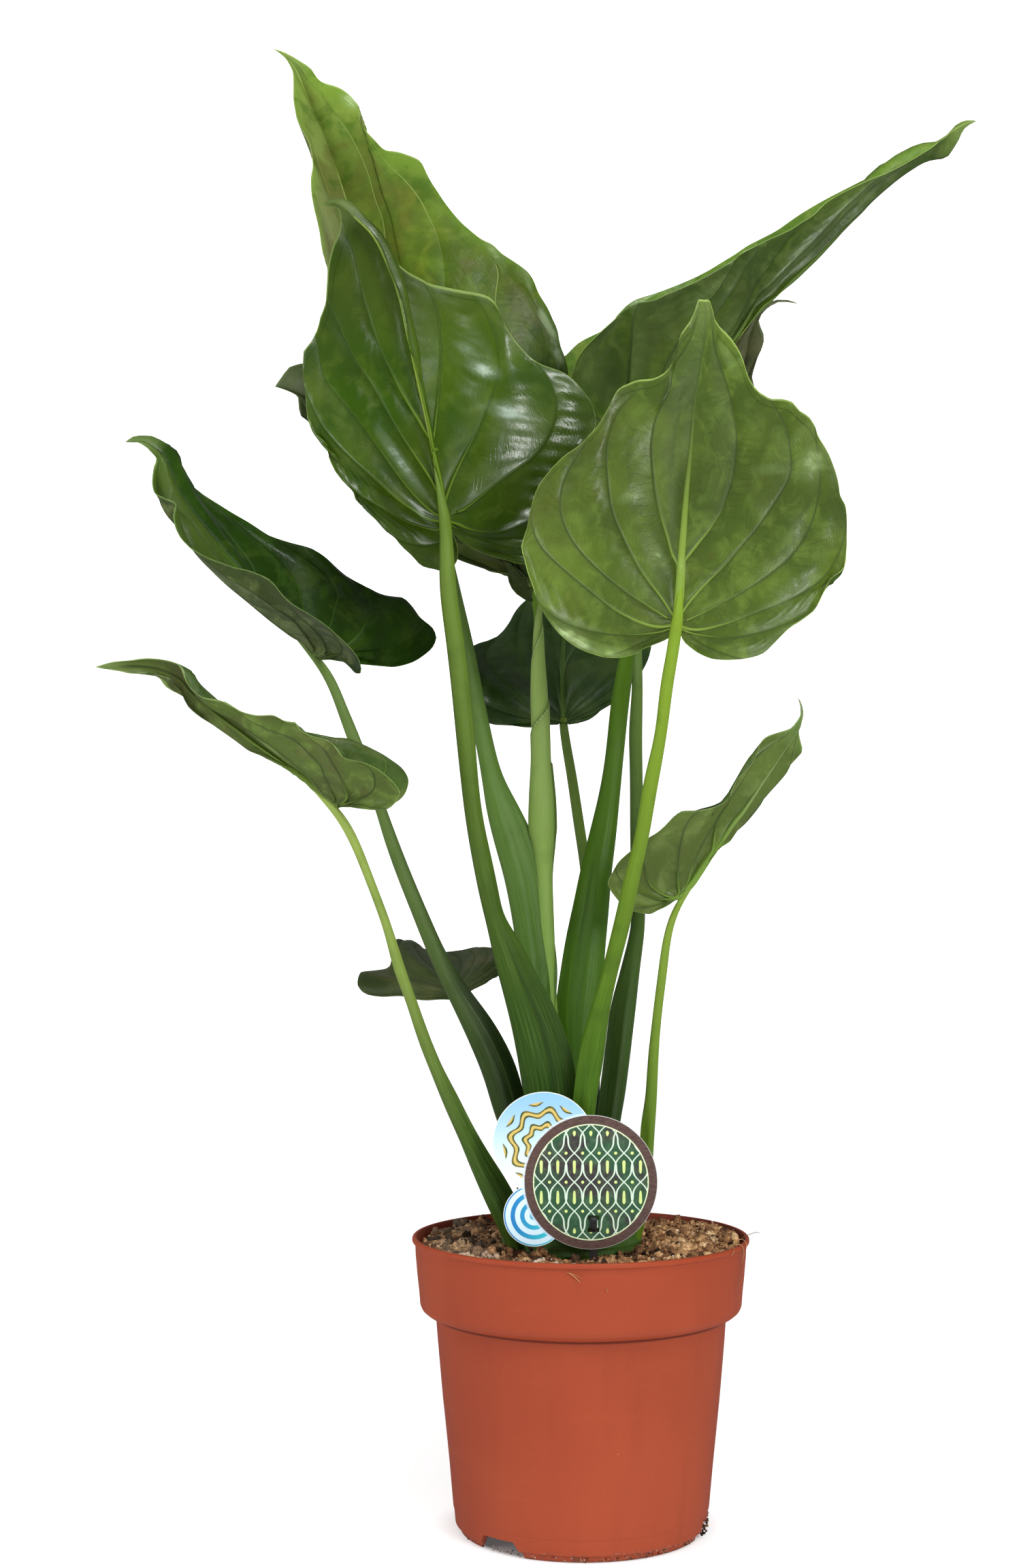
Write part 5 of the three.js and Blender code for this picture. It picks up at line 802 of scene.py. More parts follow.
class Blade:
    def __init__(self, name):
        d = BLADES[name]
        self.mid = np.array(d["midrib"])
        self.bulge = d["bulge"]
        self.round = 1.2 if name in ("leaf_2", "leaf_3") else 0.8
        self.bulge *= {"leaf_7": 0.15, "leaf_6": 0.5}.get(name, 1.0)
        self.fm = Curve(arc(self.mid), self.mid)
        self.A, self.T = self.mid[0], self.mid[-1]
        ax = self.T - self.A
        self.len = np.linalg.norm(ax)
        self.ax = ax / self.len
        self.d0 = (self.fm(0.04) - self.fm(0.0)) / 0.04
        self.g, self.gs = {}, {}
        u = np.linspace(0, 1, 401)
        for side, key in ((1, "right"), (-1, "left")):
            P = np.array(d[key])
            f = Curve(arc(P), P)
            G = f(u)
            S = smooth_margin(G, 0.028)
            S = np.concatenate([[G[0]], S[1:-1], [G[-1]]]) if len(S) == len(G) else G
            # near the tip the blade narrows to a thread: leave it as measured
            k0, k1 = {"leaf_1": (0.95, 0.99), "leaf_3": (0.90, 0.97)}.get(name, (0.80, 0.93))
            keep = smoothstep(k0, k1, u)[:, None]
            S = S * (1 - keep) + G * keep
            self.g[side], self.gs[side] = Curve(u, G), Curve(u, S)
        self.margin_len = {s: np.linalg.norm(np.diff(self.g[s](u), axis=0), axis=1).sum() for s in (1, -1)}

    def M(self, t):
        t = np.asarray(t, float)
        return self.fm(np.clip(t, 0, 1)) + np.where(t < 0, t, 0)[..., None] * self.d0

    def P(self, side, rho, r):
        rho, r = np.broadcast_arrays(np.asarray(rho, float), np.asarray(r, float))
        G, S = self.g[side](rho), self.gs[side](rho)
        t = np.minimum(((S - self.A) @ self.ax) / self.len, 1)
        W = S - self.M(t)
        w = np.linalg.norm(W, axis=-1, keepdims=True)
        n = np.cross(W, self.ax) * side
        n /= np.maximum(np.linalg.norm(n, axis=-1, keepdims=True), 1e-6)
        g = (1 - (1 - r) ** 1.6)[..., None]
        out = self.M(t * r) + g * W + n * self.bulge * w * np.sin(np.pi * g ** self.round) * 1.4
        return out + (G - S) * (r ** 5)[..., None]


def build_blade(name, spacing, rows, mats, thick=0.5, rib=1.0, ripple=1.0, seed=1, lift=1.0):
    B = Blade(name)
    vs = VEINS.get(name, {})
    rng = np.random.default_rng(seed)
    veins = {}
    r0 = 0.17
    for side in (1, -1):
        base = vs.get(side) or [[(a + (rng.uniform(-.012, .012) if 0 < b < 1 and a < 1 else 0), b) for a, b in v] for v in VEIN_SET]
        veins[side] = base
    if name in VEINS:
        r0 = [v[0][0][1] for v in (VEINS[name].values())][0]
        r0 = r0[0] if isinstance(r0, tuple) else r0
        r0 = list(VEINS[name].values())[0][0][0][1]
    # row places from the stalk (0) to the margin (1), closer together at the rim
    x = np.linspace(0, 1, rows)
    tau = 0.93 * x ** 1.08 + 0.07 * (1 - (1 - x) ** 3)
    tau = np.r_[tau[:-1], 1.0]
    size = B.len
    last = 1.0 - 0.8 / size
    tau = np.r_[tau[tau < last - 0.004], last, 1.0]
    nr = len(tau)
    V, D1, D2, KIN, KOUT, TA, ALONG, FR, SIDE, RAD, RHO = [], [], [], [], [], [], [], [], [], [], []
    quads = []
    total = 0
    cols_first = None
    for side in (1, -1):
        curves = []
        for k, v in enumerate(veins[side]):
            v = np.array(v, float)
            if k == 0:
                v[0, 1] = r0
            if k >= 3:
                v[0, 0] = v[1, 0]
            u = arc(v * np.array([0.6, 1.0]))
            curves.append(Curve(u, v)(tau))
        inner0 = np.stack([np.ones(nr), r0 + (1 - r0) * tau], 1)
        outer = np.stack([np.zeros(nr), tau], 1)
        curves = [inner0] + curves + [outer]
        pos = [B.P(side, c[:, 0], c[:, 1]) for c in curves]
        pos[0] = B.M(r0 + (1 - r0) * tau)
        for k in range(len(curves) - 1):
            a, b = curves[k], curves[k + 1]
            seg = abs(a[-1, 0] - b[-1, 0]) * B.margin_len[side]
            if k == 1 and cols_first is not None:
                nc = cols_first
            else:
                nc = int(max(9, math.ceil(seg / spacing) + 3))
            if k == 1 and cols_first is None:
                cols_first = nc
            # fine path across each row
            ff = np.linspace(0, 1, 41)
            rho = a[:, None, 0] * (1 - ff) + b[:, None, 0] * ff
            rad = a[:, None, 1] * (1 - ff) + b[:, None, 1] * ff
            Q = B.P(side, rho, rad)
            Q[:, 0], Q[:, -1] = pos[k], pos[k + 1]
            if k == 1:
                Q[0] = B.M(r0 * (1 - ff))
            elif k >= 2:
                Q[0] = B.A
            elif k == 0:
                Q[0] = pos[0][0]
            dl = np.linalg.norm(np.diff(Q, axis=1), axis=2)
            L = np.concatenate([np.zeros((nr, 1)), np.cumsum(dl, axis=1)], 1)
            tot = L[:, -1]
            # columns: close together at both veins
            even = np.linspace(0, 1, nc + 1)
            offs = np.array([0, 0.55, 1.1, 1.9])
            f = np.empty((nr, nc + 1))
            for j in range(nr):
                w = max(tot[j], 1e-9)
                e = even.copy()
                for q in range(1, 4):
                    e[q] = min(even[q], offs[q] / w) if w > 0 else even[q]
                    e[nc - q] = max(even[nc - q], 1 - offs[q] / w)
                lo, hi = e[3], e[nc - 3]
                e[3:nc - 2] = np.linspace(lo, hi, nc - 5)
                f[j] = e
            if k == 1:
                f[0] = even
            P = np.empty((nr, nc + 1, 3))
            for j in range(nr):
                if tot[j] < 1e-6:
                    P[j] = Q[j, 0]
                else:
                    for c in range(3):
                        P[j, :, c] = np.interp(f[j] * tot[j], L[j], Q[j, :, c])
            P[:, 0], P[:, -1] = pos[k], pos[k + 1]
            if k == 1:
                P[0] = B.M(r0 * (1 - even))
            if k >= 2:
                P[0] = B.A
            d1 = f * tot[:, None]
            d2 = (1 - f) * tot[:, None]
            along = np.r_[0, np.cumsum(np.linalg.norm(np.diff((pos[k] + pos[k + 1]) / 2, axis=0), axis=1))]
            idx = total + np.arange(nr * (nc + 1)).reshape(nr, nc + 1)
            q = np.stack([idx[:-1, :-1], idx[1:, :-1], idx[1:, 1:], idx[:-1, 1:]], -1).reshape(-1, 4)
            if side < 0:
                q = q[:, ::-1]
            quads.append(q)
            V.append(P.reshape(-1, 3))
            D1.append(d1.ravel()); D2.append(d2.ravel())
            KIN.append(np.full(d1.size, k)); KOUT.append(np.full(d1.size, k + 1 if k + 1 < len(curves) - 1 else 99))
            TA.append(np.repeat(tau, nc + 1)); ALONG.append(np.repeat(along, nc + 1))
            FR.append(f.ravel()); SIDE.append(np.full(d1.size, side))
            rr = a[:, None, 1] * (1 - f) + b[:, None, 1] * f
            RAD.append(rr.ravel())
            RHO.append((a[:, None, 0] * (1 - f) + b[:, None, 0] * f).ravel())
            total += nr * (nc + 1)
    V = np.concatenate(V); quads = np.concatenate(quads)
    d1, d2, kin, kout = (np.concatenate(z) for z in (D1, D2, KIN, KOUT))
    ta, al, fr, sd, rad = (np.concatenate(z) for z in (TA, ALONG, FR, SIDE, RAD))
    key = np.round(V * 400).astype(np.int64)
    _, first, inv = np.unique(key, axis=0, return_index=True, return_inverse=True)
    inv = inv.ravel()
    V = V[first]
    d1, d2, kin, kout, ta, al, fr, sd, rad = (z[first] for z in (d1, d2, kin, kout, ta, al, fr, sd, rad))
    quads = inv[quads]
    faces = []
    for q in quads.tolist():
        f = [q[i] for i in range(4) if q[i] != q[i - 1]]
        if len(f) >= 3 and len(set(f)) == len(f):
            faces.append(f)
    # normals
    def normals(P):
        N = np.zeros_like(P)
        q4 = np.array([f for f in faces if len(f) == 4])
        q3 = np.array([f for f in faces if len(f) == 3]).reshape(-1, 3)
        n4 = np.cross(P[q4[:, 2]] - P[q4[:, 0]], P[q4[:, 3]] - P[q4[:, 1]])
        for i in range(4):
            np.add.at(N, q4[:, i], n4)
        if len(q3):
            n3 = np.cross(P[q3[:, 1]] - P[q3[:, 0]], P[q3[:, 2]] - P[q3[:, 0]])
            for i in range(3):
                np.add.at(N, q3[:, i], n3)
        return N / np.maximum(np.linalg.norm(N, axis=1, keepdims=True), 1e-12)
    N = normals(V)
    # the right margin times the tip direction points out of the upper face
    Rd = B.P(1, 0.5, 1.0) - B.P(-1, 0.5, 1.0)
    up = np.cross(Rd, B.ax)
    if (N @ up).mean() < 0:
        faces = [f[::-1] for f in faces]
        N = -N
    W = d1 + d2
    # blade raised between the veins, with small waves across each panel, strongest towards the margin
    env = np.sin(np.pi * np.clip(fr, 0, 1)) ** 0.8
    quilt = {"leaf_1": 0.22, "leaf_4": np.where(sd > 0, 1.7, 0.5)}.get(name, 1.0) * np.minimum(0.060 * W, 2.3) * env * smoothstep(0.0, 0.15, ta) * (1 - 0.6 * smoothstep(0.82, 1.0, ta))
    warp = noise3(V, 34, seed)
    arch = (fr - 0.5) ** 2 * W * 0.9
    wav = np.sin(2 * np.pi * (al - arch + 3.2 * warp) / 9.5 + kin * 2.1)
    if name == "leaf_2":
        lobe = (sd < 0) & (kin >= 2)
        wav = np.where(lobe, np.sin(2 * np.pi * (V[:, 2] + 0.10 * V[:, 0] + 2.4 * warp) / 9.0), wav)
    fade = smoothstep(0.30, 0.62, ta) * (1 - 0.75 * smoothstep(0.90, 1.0, ta)) * smoothstep(9, 22, W) * env ** 0.7
    amp = ripple * 0.20 * (0.35 + 0.65 * smoothstep(-0.25, 0.35, noise3(V, 48, seed + 3)))
    if name == "leaf_2":
        amp = amp + 0.42 * smoothstep(2.5, 3.5, kin) * (sd < 0) * smoothstep(0.40, 0.6, ta) + 0.10 * (sd < 0)
    bumps = 0.75 * noise3(V, 19, seed + 5) * smoothstep(0.08, 0.3, ta) * ripple + 1.3 * noise3(V, 46, seed + 9) * smoothstep(0.1, 0.4, ta)
    if name == "leaf_2":
        bumps = bumps * np.where(kin <= 1, 0.35, 0.75)
    if name == "leaf_3":
        bumps = bumps + 0.50 * np.sin(2 * np.pi * (V[:, 2] + 7 * warp + 0.12 * V[:, 0]) / 38) * smoothstep(0.25, 0.6, ta)
    bumps = bumps + 0.10 * noise3(V, 6, seed + 7) * smoothstep(0.05, 0.3, ta)
    if name == "leaf_2":
        # shallow swells along the length of the upper panels
        bumps = bumps + 0.9 * np.sin(2 * np.pi * (V[:, 2] + 5 * warp) / 42 + 1.0) * (kin <= 2) * smoothstep(0.1, 0.4, ta)
    lift_up = lift * (quilt + amp * wav * fade) + bumps * (0.12 + 0.88 * env)
    V2 = V + N * lift_up[:, None]
    N2 = normals(V2)
    if (N2 @ up).mean() < 0:
        N2 = -N2
    # ridges
    def prof(d, w):
        return np.exp(-((d / w) ** 2) * 1.6)
    Hmid = rib * (1.9 * (1 - smoothstep(0.0, 0.75, rad)) + 0.55 * (1 - smoothstep(0.5, 1.0, rad)) + 0.12)
    Wmid = 0.8 + 1.9 * (1 - smoothstep(0.0, 0.8, rad))
    if name in ("leaf_2", "leaf_3"):
        Wmid = 0.72 + 1.98 * (1 - smoothstep(0.0, 0.66, rad))
    Hv = rib * (0.85 * (1 - smoothstep(0.0, 0.7, ta)) + 0.28 * (1 - smoothstep(0.6, 1.0, ta)) + 0.05)
    Wv = 0.55 + 0.85 * (1 - smoothstep(0.0, 0.6, ta))
    in_mid = (kin == 0)
    # panel 1 starts on the midrib too
    near_in = np.where(in_mid, prof(d1, Wmid), prof(d1, Wv))
    h_in = np.where(in_mid, Hmid * prof(d1, Wmid), Hv * prof(d1, Wv))
    h_out = np.where(kout < 99, Hv * prof(d2, Wv), 0)
    ridge = np.maximum(h_in, h_out)
    vein = np.maximum(np.where(in_mid, 0, prof(d1, np.maximum(Wv * 0.75, .5))), np.where(kout < 99, prof(d2, np.maximum(Wv * 0.75, .5)), 0))
    midrib = np.where(in_mid, prof(d1, Wmid * 0.9), 0.0)
    # the piece of midrib below the first side vein
    dm = np.full(len(V), 99.0)
    t0 = np.linspace(0, 1, 60)
    C = B.M(t0)
    near = np.linalg.norm(V[:, None, :] - C[None, :22], axis=2).min(1)
    low = (near < 7) & (~in_mid | (rad < r0 + 0.03))
    segd = np.full(len(V), 99.0)
    ii = np.nonzero(low)[0]
    if len(ii):
        for a0, b0 in zip(C[:24], C[1:25]):
            ab = b0 - a0
            t = np.clip(((V[ii] - a0) @ ab) / (ab @ ab), 0, 1)
            dd = np.linalg.norm(V[ii] - (a0 + t[:, None] * ab), axis=1)
            segd[ii] = np.minimum(segd[ii], dd)
        ridge[ii] = np.maximum(ridge[ii], Hmid[ii] * prof(segd[ii], Wmid[ii]))
        midrib[ii] = np.maximum(midrib[ii], prof(segd[ii], Wmid[ii] * 0.9))
    # distances from the midrib and from the nearest side vein, in widths of that vein
    C9 = B.M(np.linspace(0, 1, 160))
    dmw = np.full(len(V), 1e9)
    for a0, b0 in zip(C9[:-1], C9[1:]):
        ab = b0 - a0
        tt = np.clip(((V - a0) @ ab) / (ab @ ab), 0, 1)
        dmw = np.minimum(dmw, np.linalg.norm(V - (a0 + tt[:, None] * ab), axis=1))
    dmw = np.clip(dmw / Wmid, 0, 8)
    dvw = np.clip(np.minimum(np.where(in_mid, 99, d1), np.where(kout < 99, d2, 99)) / np.maximum(Wv * 0.75, .5), 0, 8)
    flank = np.clip(np.maximum(np.where(in_mid, 0, prof(d1, Wv * 2.0)), np.where(kout < 99, prof(d2, Wv * 2.0), 0)) - vein, 0, 1)
    edge_mm = (1 - rad) * B.len * 0.6
    edge_mm = np.where(ta >= 0.999, 0.0, edge_mm)
    rw = np.full(len(V), 1.3)
    if name == "leaf_2":
        # this edge turns over towards the front and shows as a pale band
        rho_e = np.concatenate(RHO)[first]
        rw = rw + 2.2 * (sd < 0) * smoothstep(0.50, 0.62, rho_e) * smoothstep(1.0, 0.9, rho_e)
    if name == "leaf_3":
        rho_e = np.concatenate(RHO)[first]
        rw = rw + 0.5 * smoothstep(0.72, 0.84, rho_e) * smoothstep(0.99, 0.95, rho_e)
    rho_v = np.concatenate(RHO)[first]
    dusk = np.zeros(len(V))
    if name == "leaf_6":
        dusk = (sd < 0) * (1 - smoothstep(0.20, 0.30, rho_v)) * smoothstep(0.74, 0.84, rad)
        rw = rw + 0.8 * (sd < 0)
    if name == "leaf_7":
        rw = rw + 3.2 * smoothstep(0.20, 0.35, rho_v) * (0.6 + 0.4 * np.sin(rho_v * 31))
    if name == "leaf_10":
        rw = rw + 5.0 * (sd > 0) * (1 - smoothstep(0.25, 0.40, rho_v)) * (0.7 + 0.3 * np.sin(rho_v * 23))
    rim = 1 - smoothstep(0.0, rw, edge_mm)
    calm = 0.75 * np.maximum(np.maximum(midrib, vein), 0.8 * flank)
    if name == "leaf_3":
        calm = np.maximum(calm, np.where(kin == 0, 0.6, 0.0))
    # painted highlights: pale patches laid on the blade where the lamps' reflections should lie
    painted_highlight = np.zeros(len(V))
    for bx, bz, ba, bl, bw, bs in PAINTED_HIGHLIGHTS.get(name, ()):
        ca, sa = math.cos(math.radians(ba)), math.sin(math.radians(ba))
        dx, dz = V[:, 0] - bx, V[:, 2] - bz
        q = ((dx * ca + dz * sa) / bl) ** 2 + ((-dx * sa + dz * ca) / bw) ** 2
        painted_highlight = np.maximum(painted_highlight, bs * np.exp(-0.7 * q))
    if name == "leaf_2":
        calm = np.where(sd > 0, np.where(kin <= 2, 0.72, 0.15), np.where(kin <= 1, 0.62, 0.0)) * smoothstep(0.0, 0.12, fr) * 1.0
        calm = np.maximum(calm, 0.8 * np.maximum(midrib, vein))
    t_half = thick / 2 * (0.7 + 0.3 * smoothstep(0, 2, edge_mm))
    groove = np.minimum(ridge * 0.30, 0.12 if name == "leaf_1" else 0.28)
    top = V2 + N2 * (t_half - groove)[:, None]
    bot = V2 - N2 * (t_half + ridge)[:, None]
    n = len(V)
    tip = smoothstep(0.75, 1.0, ((V - B.A) @ B.ax) / B.len)
    axf = np.clip(((V - B.A) @ B.ax) / B.len, 0, 1)
    pq = np.stack([al, fr, d1], 1)
    edges = {}
    for f in faces:
        for i in range(len(f)):
            a, b = f[i], f[(i + 1) % len(f)]
            edges[(a, b)] = edges.get((a, b), 0) + 1
    border = [(a, b) for (a, b) in edges if (b, a) not in edges]
    F = [list(f) for f in faces] + [[i + n for i in f[::-1]] for f in faces]
    # the panels beside the midrib of leaf_2 are duller than the rest of its lower face
    fm = [0] * len(faces) + [2 if len(mats) > 2 and np.mean([calm[i] for i in f]) > 0.4 else 1 for f in faces]
    for a, b in border:
        F.append([b, a, a + n, b + n])
        fm.append(1)
    attrs = {k: np.concatenate([z, z]) for k, z in dict(vein=vein, midrib=midrib, flank=flank, tau=ta, rim=rim, tip=tip, pq=pq, ax=axf, em=edge_mm, half=(sd > 0).astype(float), dusk=dusk, calm=calm, painted_highlight=painted_highlight, dmw=dmw, dvw=dvw).items()}
    o = mesh_object(name + "_blade", np.concatenate([top, bot]), F, attrs, mats, fm)
    done(o, name)
    return o, B


def green(r, g, b):
    return lin((r, g, b))


# per leaf: upper and lower face colours (base, dark, light), lower and upper parts of the veins, rim, gloss
LOOK = {
    "leaf_1": dict(up=[(92, 114, 38), (62, 92, 22), (110, 142, 50)], un=[(104, 122, 66), (84, 104, 48), (140, 150, 104)], vu=[(178, 196, 140), (160, 180, 112)], vn=[(120, 150, 64), (90, 112, 50)], edge=(150, 172, 96), rough=.24, tert=.6),
    "leaf_2": dict(up=[(60, 84, 26), (44, 66, 18), (84, 110, 40)], un=[(72, 94, 30), (50, 78, 16), (90, 110, 48)], vu=[(128, 152, 70), (110, 132, 60)], vn=[(112, 140, 56), (62, 86, 30)], edge=(132, 156, 80), rough=.185, tert=.9),
    "leaf_3": dict(up=[(62, 88, 28), (46, 70, 20), (86, 112, 44)], un=[(86, 109, 44), (66, 88, 33), (100, 126, 58)], vu=[(128, 152, 70), (110, 132, 60)], vn=[(116, 144, 64), (54, 74, 28)], edge=(140, 164, 84), rough=.26, tert=1.3),
    "leaf_4": dict(up=[(104, 142, 50), (84, 122, 38), (126, 160, 70)], un=[(70, 88, 40), (52, 72, 26), (92, 108, 62)], vu=[(140, 164, 84), (120, 146, 70)], vn=[(96, 120, 54), (48, 66, 26)], edge=(150, 176, 92), rough=.26, tert=.7),
    "leaf_5": dict(up=[(74, 80, 56), (60, 66, 44), (90, 96, 74)], un=[(74, 84, 52), (60, 70, 42), (90, 98, 70)], vu=[(120, 130, 96), (110, 120, 86)], vn=[(80, 94, 56), (60, 72, 42)], edge=(96, 106, 76), rough=.40, tert=.5),
    "leaf_6": dict(up=[(36, 58, 21), (28, 46, 15), (50, 72, 30)], un=[(84, 98, 58), (60, 76, 40), (118, 132, 90)], vu=[(70, 94, 46), (52, 76, 32)], vn=[(96, 116, 68), (52, 66, 34)], edge=(110, 134, 74), rough=.24, tert=.8),
    "leaf_7": dict(up=[(74, 98, 54), (56, 78, 38), (94, 118, 72)], un=[(86, 108, 52), (76, 86, 52), (122, 148, 80)], vu=[(110, 134, 74), (96, 120, 62)], vn=[(100, 124, 58), (58, 72, 36)], edge=(128, 152, 84), rough=.28, tert=.8),
    "leaf_8": dict(up=[(76, 90, 54), (62, 76, 42), (90, 102, 68)], un=[(84, 96, 60), (68, 80, 48), (100, 110, 76)], vu=[(96, 110, 70), (86, 100, 62)], vn=[(90, 104, 62), (66, 80, 46)], edge=(104, 118, 78), rough=.42, tert=.6),
    "leaf_9": dict(up=[(70, 96, 44), (54, 80, 32), (92, 118, 60)], un=[(90, 106, 54), (78, 92, 44), (112, 126, 78)], vu=[(120, 144, 76), (104, 128, 64)], vn=[(106, 132, 60), (56, 74, 34)], edge=(130, 154, 90), midhi=(128, 144, 92), rough=.30, tert=.7),
    "leaf_10": dict(up=[(36, 60, 22), (28, 50, 16), (50, 74, 32)], un=[(80, 96, 50), (64, 80, 38), (96, 110, 66)], vu=[(62, 86, 40), (46, 70, 30)], vn=[(96, 118, 56), (64, 82, 38)], edge=(96, 110, 70), rough=.30, tert=.6),
    "leaf_11": dict(up=[(52, 66, 34), (42, 56, 26), (66, 80, 46)], un=[(82, 96, 54), (66, 82, 42), (98, 110, 70)], vu=[(90, 108, 60), (78, 96, 50)], vn=[(96, 116, 58), (64, 82, 40)], edge=(100, 118, 70), rough=.34, tert=.6),
}
BALANCE = {  # linear multipliers on the upper and the lower face's colours, for this light
    "leaf_1": ((.84, .84, .58), (.9, .9, .6)), "leaf_2": ((.9, .9, .5), (.80, .87, .38)), "leaf_3": ((.9, .9, .5), (.89, .86, .56)),
    "leaf_4": ((.92, .92, .62), (.92, 1.0, .55)), "leaf_5": ((.9, .9, .6), (.9, .9, .6)), "leaf_6": ((.98, 1.2, .42), (.9, .9, .7)),
    "leaf_7": ((.9, .9, .6), (.9, .9, .6)), "leaf_8": ((.8, .8, .6), (.8, .8, .6)), "leaf_9": ((.9, .9, .6), (.92, 1.02, .58)),
    "leaf_10": ((1.1, 1.1, .75), (.9, .9, .5)), "leaf_11": ((.9, .9, .5), (.9, .9, .5)),
}
FAR = {"leaf_1": (lin((116, 138, 58)), .35, .85, .8)}
FAR_UN = {"leaf_6": (lin((122, 140, 74)), .90, .97, .8), "leaf_7": (lin((88, 106, 42)), .72, .86, .8), "leaf_9": (lin((98, 130, 60)), .78, .90, .7)}
FAR_UN["leaf_2"] = (lin((57, 70, 30)), .38, .72, .42)
FAR["leaf_6"] = (lin((96, 118, 54)), .88, .97, .7)
# painted light and shade along each blade, upper and lower face: colour multipliers at the stalk, the middle and the
# tip
PAINTED_LIGHT_ALONG_BLADE = {"leaf_1": ((.26, 1.0, 1.18), (1, 1, 1)), "leaf_2": ((1, 1, 1), (.68, 1.0, .74)), "leaf_3": ((1, 1, 1), (1.24, .90, 1.22)), "leaf_4": ((1.1, .95, .70), (1.0, 1.0, .92))}
# painted light: a paler colour on one half of a blade, standing in for sheen and brighter light on that side
PAINTED_SHEEN_HALF = {"leaf_1": (lin((110, 116, 76)), .80, -1), "leaf_6": (lin((76, 96, 36)), .60, -1)}
PAINTED_SHEEN_HALF_UN = {"leaf_2": (lin((84, 112, 34)), .18, -1)}
SPEC = {"leaf_1": 0.12, "leaf_2": 0.50, "leaf_3": 0.44, "leaf_6": 0.20, "leaf_5": 0.30, "leaf_7": 0.30, "leaf_8": 0.28}
MESHING = {  # margin spacing mm, rows, thickness, rib, ripple
    "leaf_1": (3.0, 62, .50, 1.0, 1.0), "leaf_2": (3.0, 62, .50, 1.0, 1.3), "leaf_3": (3.0, 62, .50, .9, .9),
    "leaf_4": (3.2, 58, .50, 1.5, .9), "leaf_5": (4.5, 40, .50, .9, .9), "leaf_6": (3.0, 50, .45, .8, .8),
    "leaf_7": (2.4, 46, .42, .75, .8), "leaf_8": (2.4, 36, .40, .6, .8), "leaf_9": (2.4, 46, .42, .8, .8),
    "leaf_10": (3.2, 46, .45, .8, .8), "leaf_11": (3.6, 46, .45, .8, .8),
}
blades = {}
for i, (name, lk) in enumerate(LOOK.items()):
    bal = BALANCE.get(name, ((1, 1, 1), (1, 1, 1)))
    c = lambda k: [tuple(np.array(lin(x)) * (*bal[0 if k in ("up", "vu") else 1], 1)) for x in lk[k]]
    up, un, vu, vn = c("up"), c("un"), c("vu"), c("vn")
    mu = leaf_material(name + "_upper", up[0], up[1], up[2], vu[0], vu[1], lin(lk["edge"]), lk["rough"], False, i + 1, lk["tert"], far=FAR.get(name), tone=PAINTED_LIGHT_ALONG_BLADE.get(name, ((1, 1, 1),) * 2)[0], half=PAINTED_SHEEN_HALF.get(name), spec=SPEC.get(name, 0.46))
    mn = leaf_material(name + "_lower", un[0], un[1], un[2], vn[0], vn[1], lin(lk["edge"]), lk["rough"] + .03, True, i + 21, lk["tert"], far=FAR_UN.get(name), tone=PAINTED_LIGHT_ALONG_BLADE.get(name, ((1, 1, 1),) * 2)[1], midhi=lin(lk["midhi"]) if "midhi" in lk else None, spec=SPEC.get(name, 0.46), relief=0.24 if name == "leaf_2" else 0.36, half=PAINTED_SHEEN_HALF_UN.get(name))
    mats = [mu, mn]
    if name == "leaf_2":
        mats.append(leaf_material(name + "_lower_dull", un[0], un[1], un[2], vn[0], vn[1], lin(lk["edge"]), lk["rough"] + .03, True, i + 21, lk["tert"], far=FAR_UN.get(name), tone=PAINTED_LIGHT_ALONG_BLADE[name][1], spec=0.16, relief=0.24, half=PAINTED_SHEEN_HALF_UN.get(name)))
    sp, rows, th, rib, rip = MESHING[name]
    o, B = build_blade(name, sp, rows, mats, thick=th, rib=rib, ripple=rip, seed=i + 1)
    blades[name] = B


# ---------------------------------------------------------------------------------------------------------------
# stalks: round where they meet the blade, and run on into its midrib; lower down the sheath widens them to one side
# ---------------------------------------------------------------------------------------------------------------
def frames(C):
    """Tangents and two cross directions along a centre line; e1 lies across as seen from the front."""
    T = np.gradient(C, axis=0)
    T /= np.linalg.norm(T, axis=1, keepdims=True)
    e1 = np.cross(T, np.array([0.0, 1.0, 0.0]))
    e1 /= np.linalg.norm(e1, axis=1, keepdims=True)
    e2 = np.cross(T, e1)
    return T, e1, e2


def tube_faces(n, k, cap0=True, cap1=True):
    idx = np.arange(n * k).reshape(n, k)
    nx = np.roll(idx, -1, axis=1)
    q = np.stack([idx[:-1], nx[:-1], nx[1:], idx[1:]], -1).reshape(-1, 4).tolist()
    if cap0:
        q.append(idx[0][::-1].tolist())
    if cap1:
        q.append(idx[-1].tolist())
    return q


# sheath: side the open edge lies on (+1 towards +X), rows (way down 0..1) where it starts and is full
SHEATH = {
    "leaf_stalk_1": (1, .36, .62), "leaf_stalk_2": (1, .52, .70), "leaf_stalk_4": (-1, .40, .70), "leaf_stalk_6": (1, .52, .64),
    "leaf_stalk_7": (1, .60, .72), "leaf_stalk_5": (-1, .58, .75), "leaf_stalk_9": (-1, .62, .70), "leaf_stalk_3": (-1, .62, .8),
}
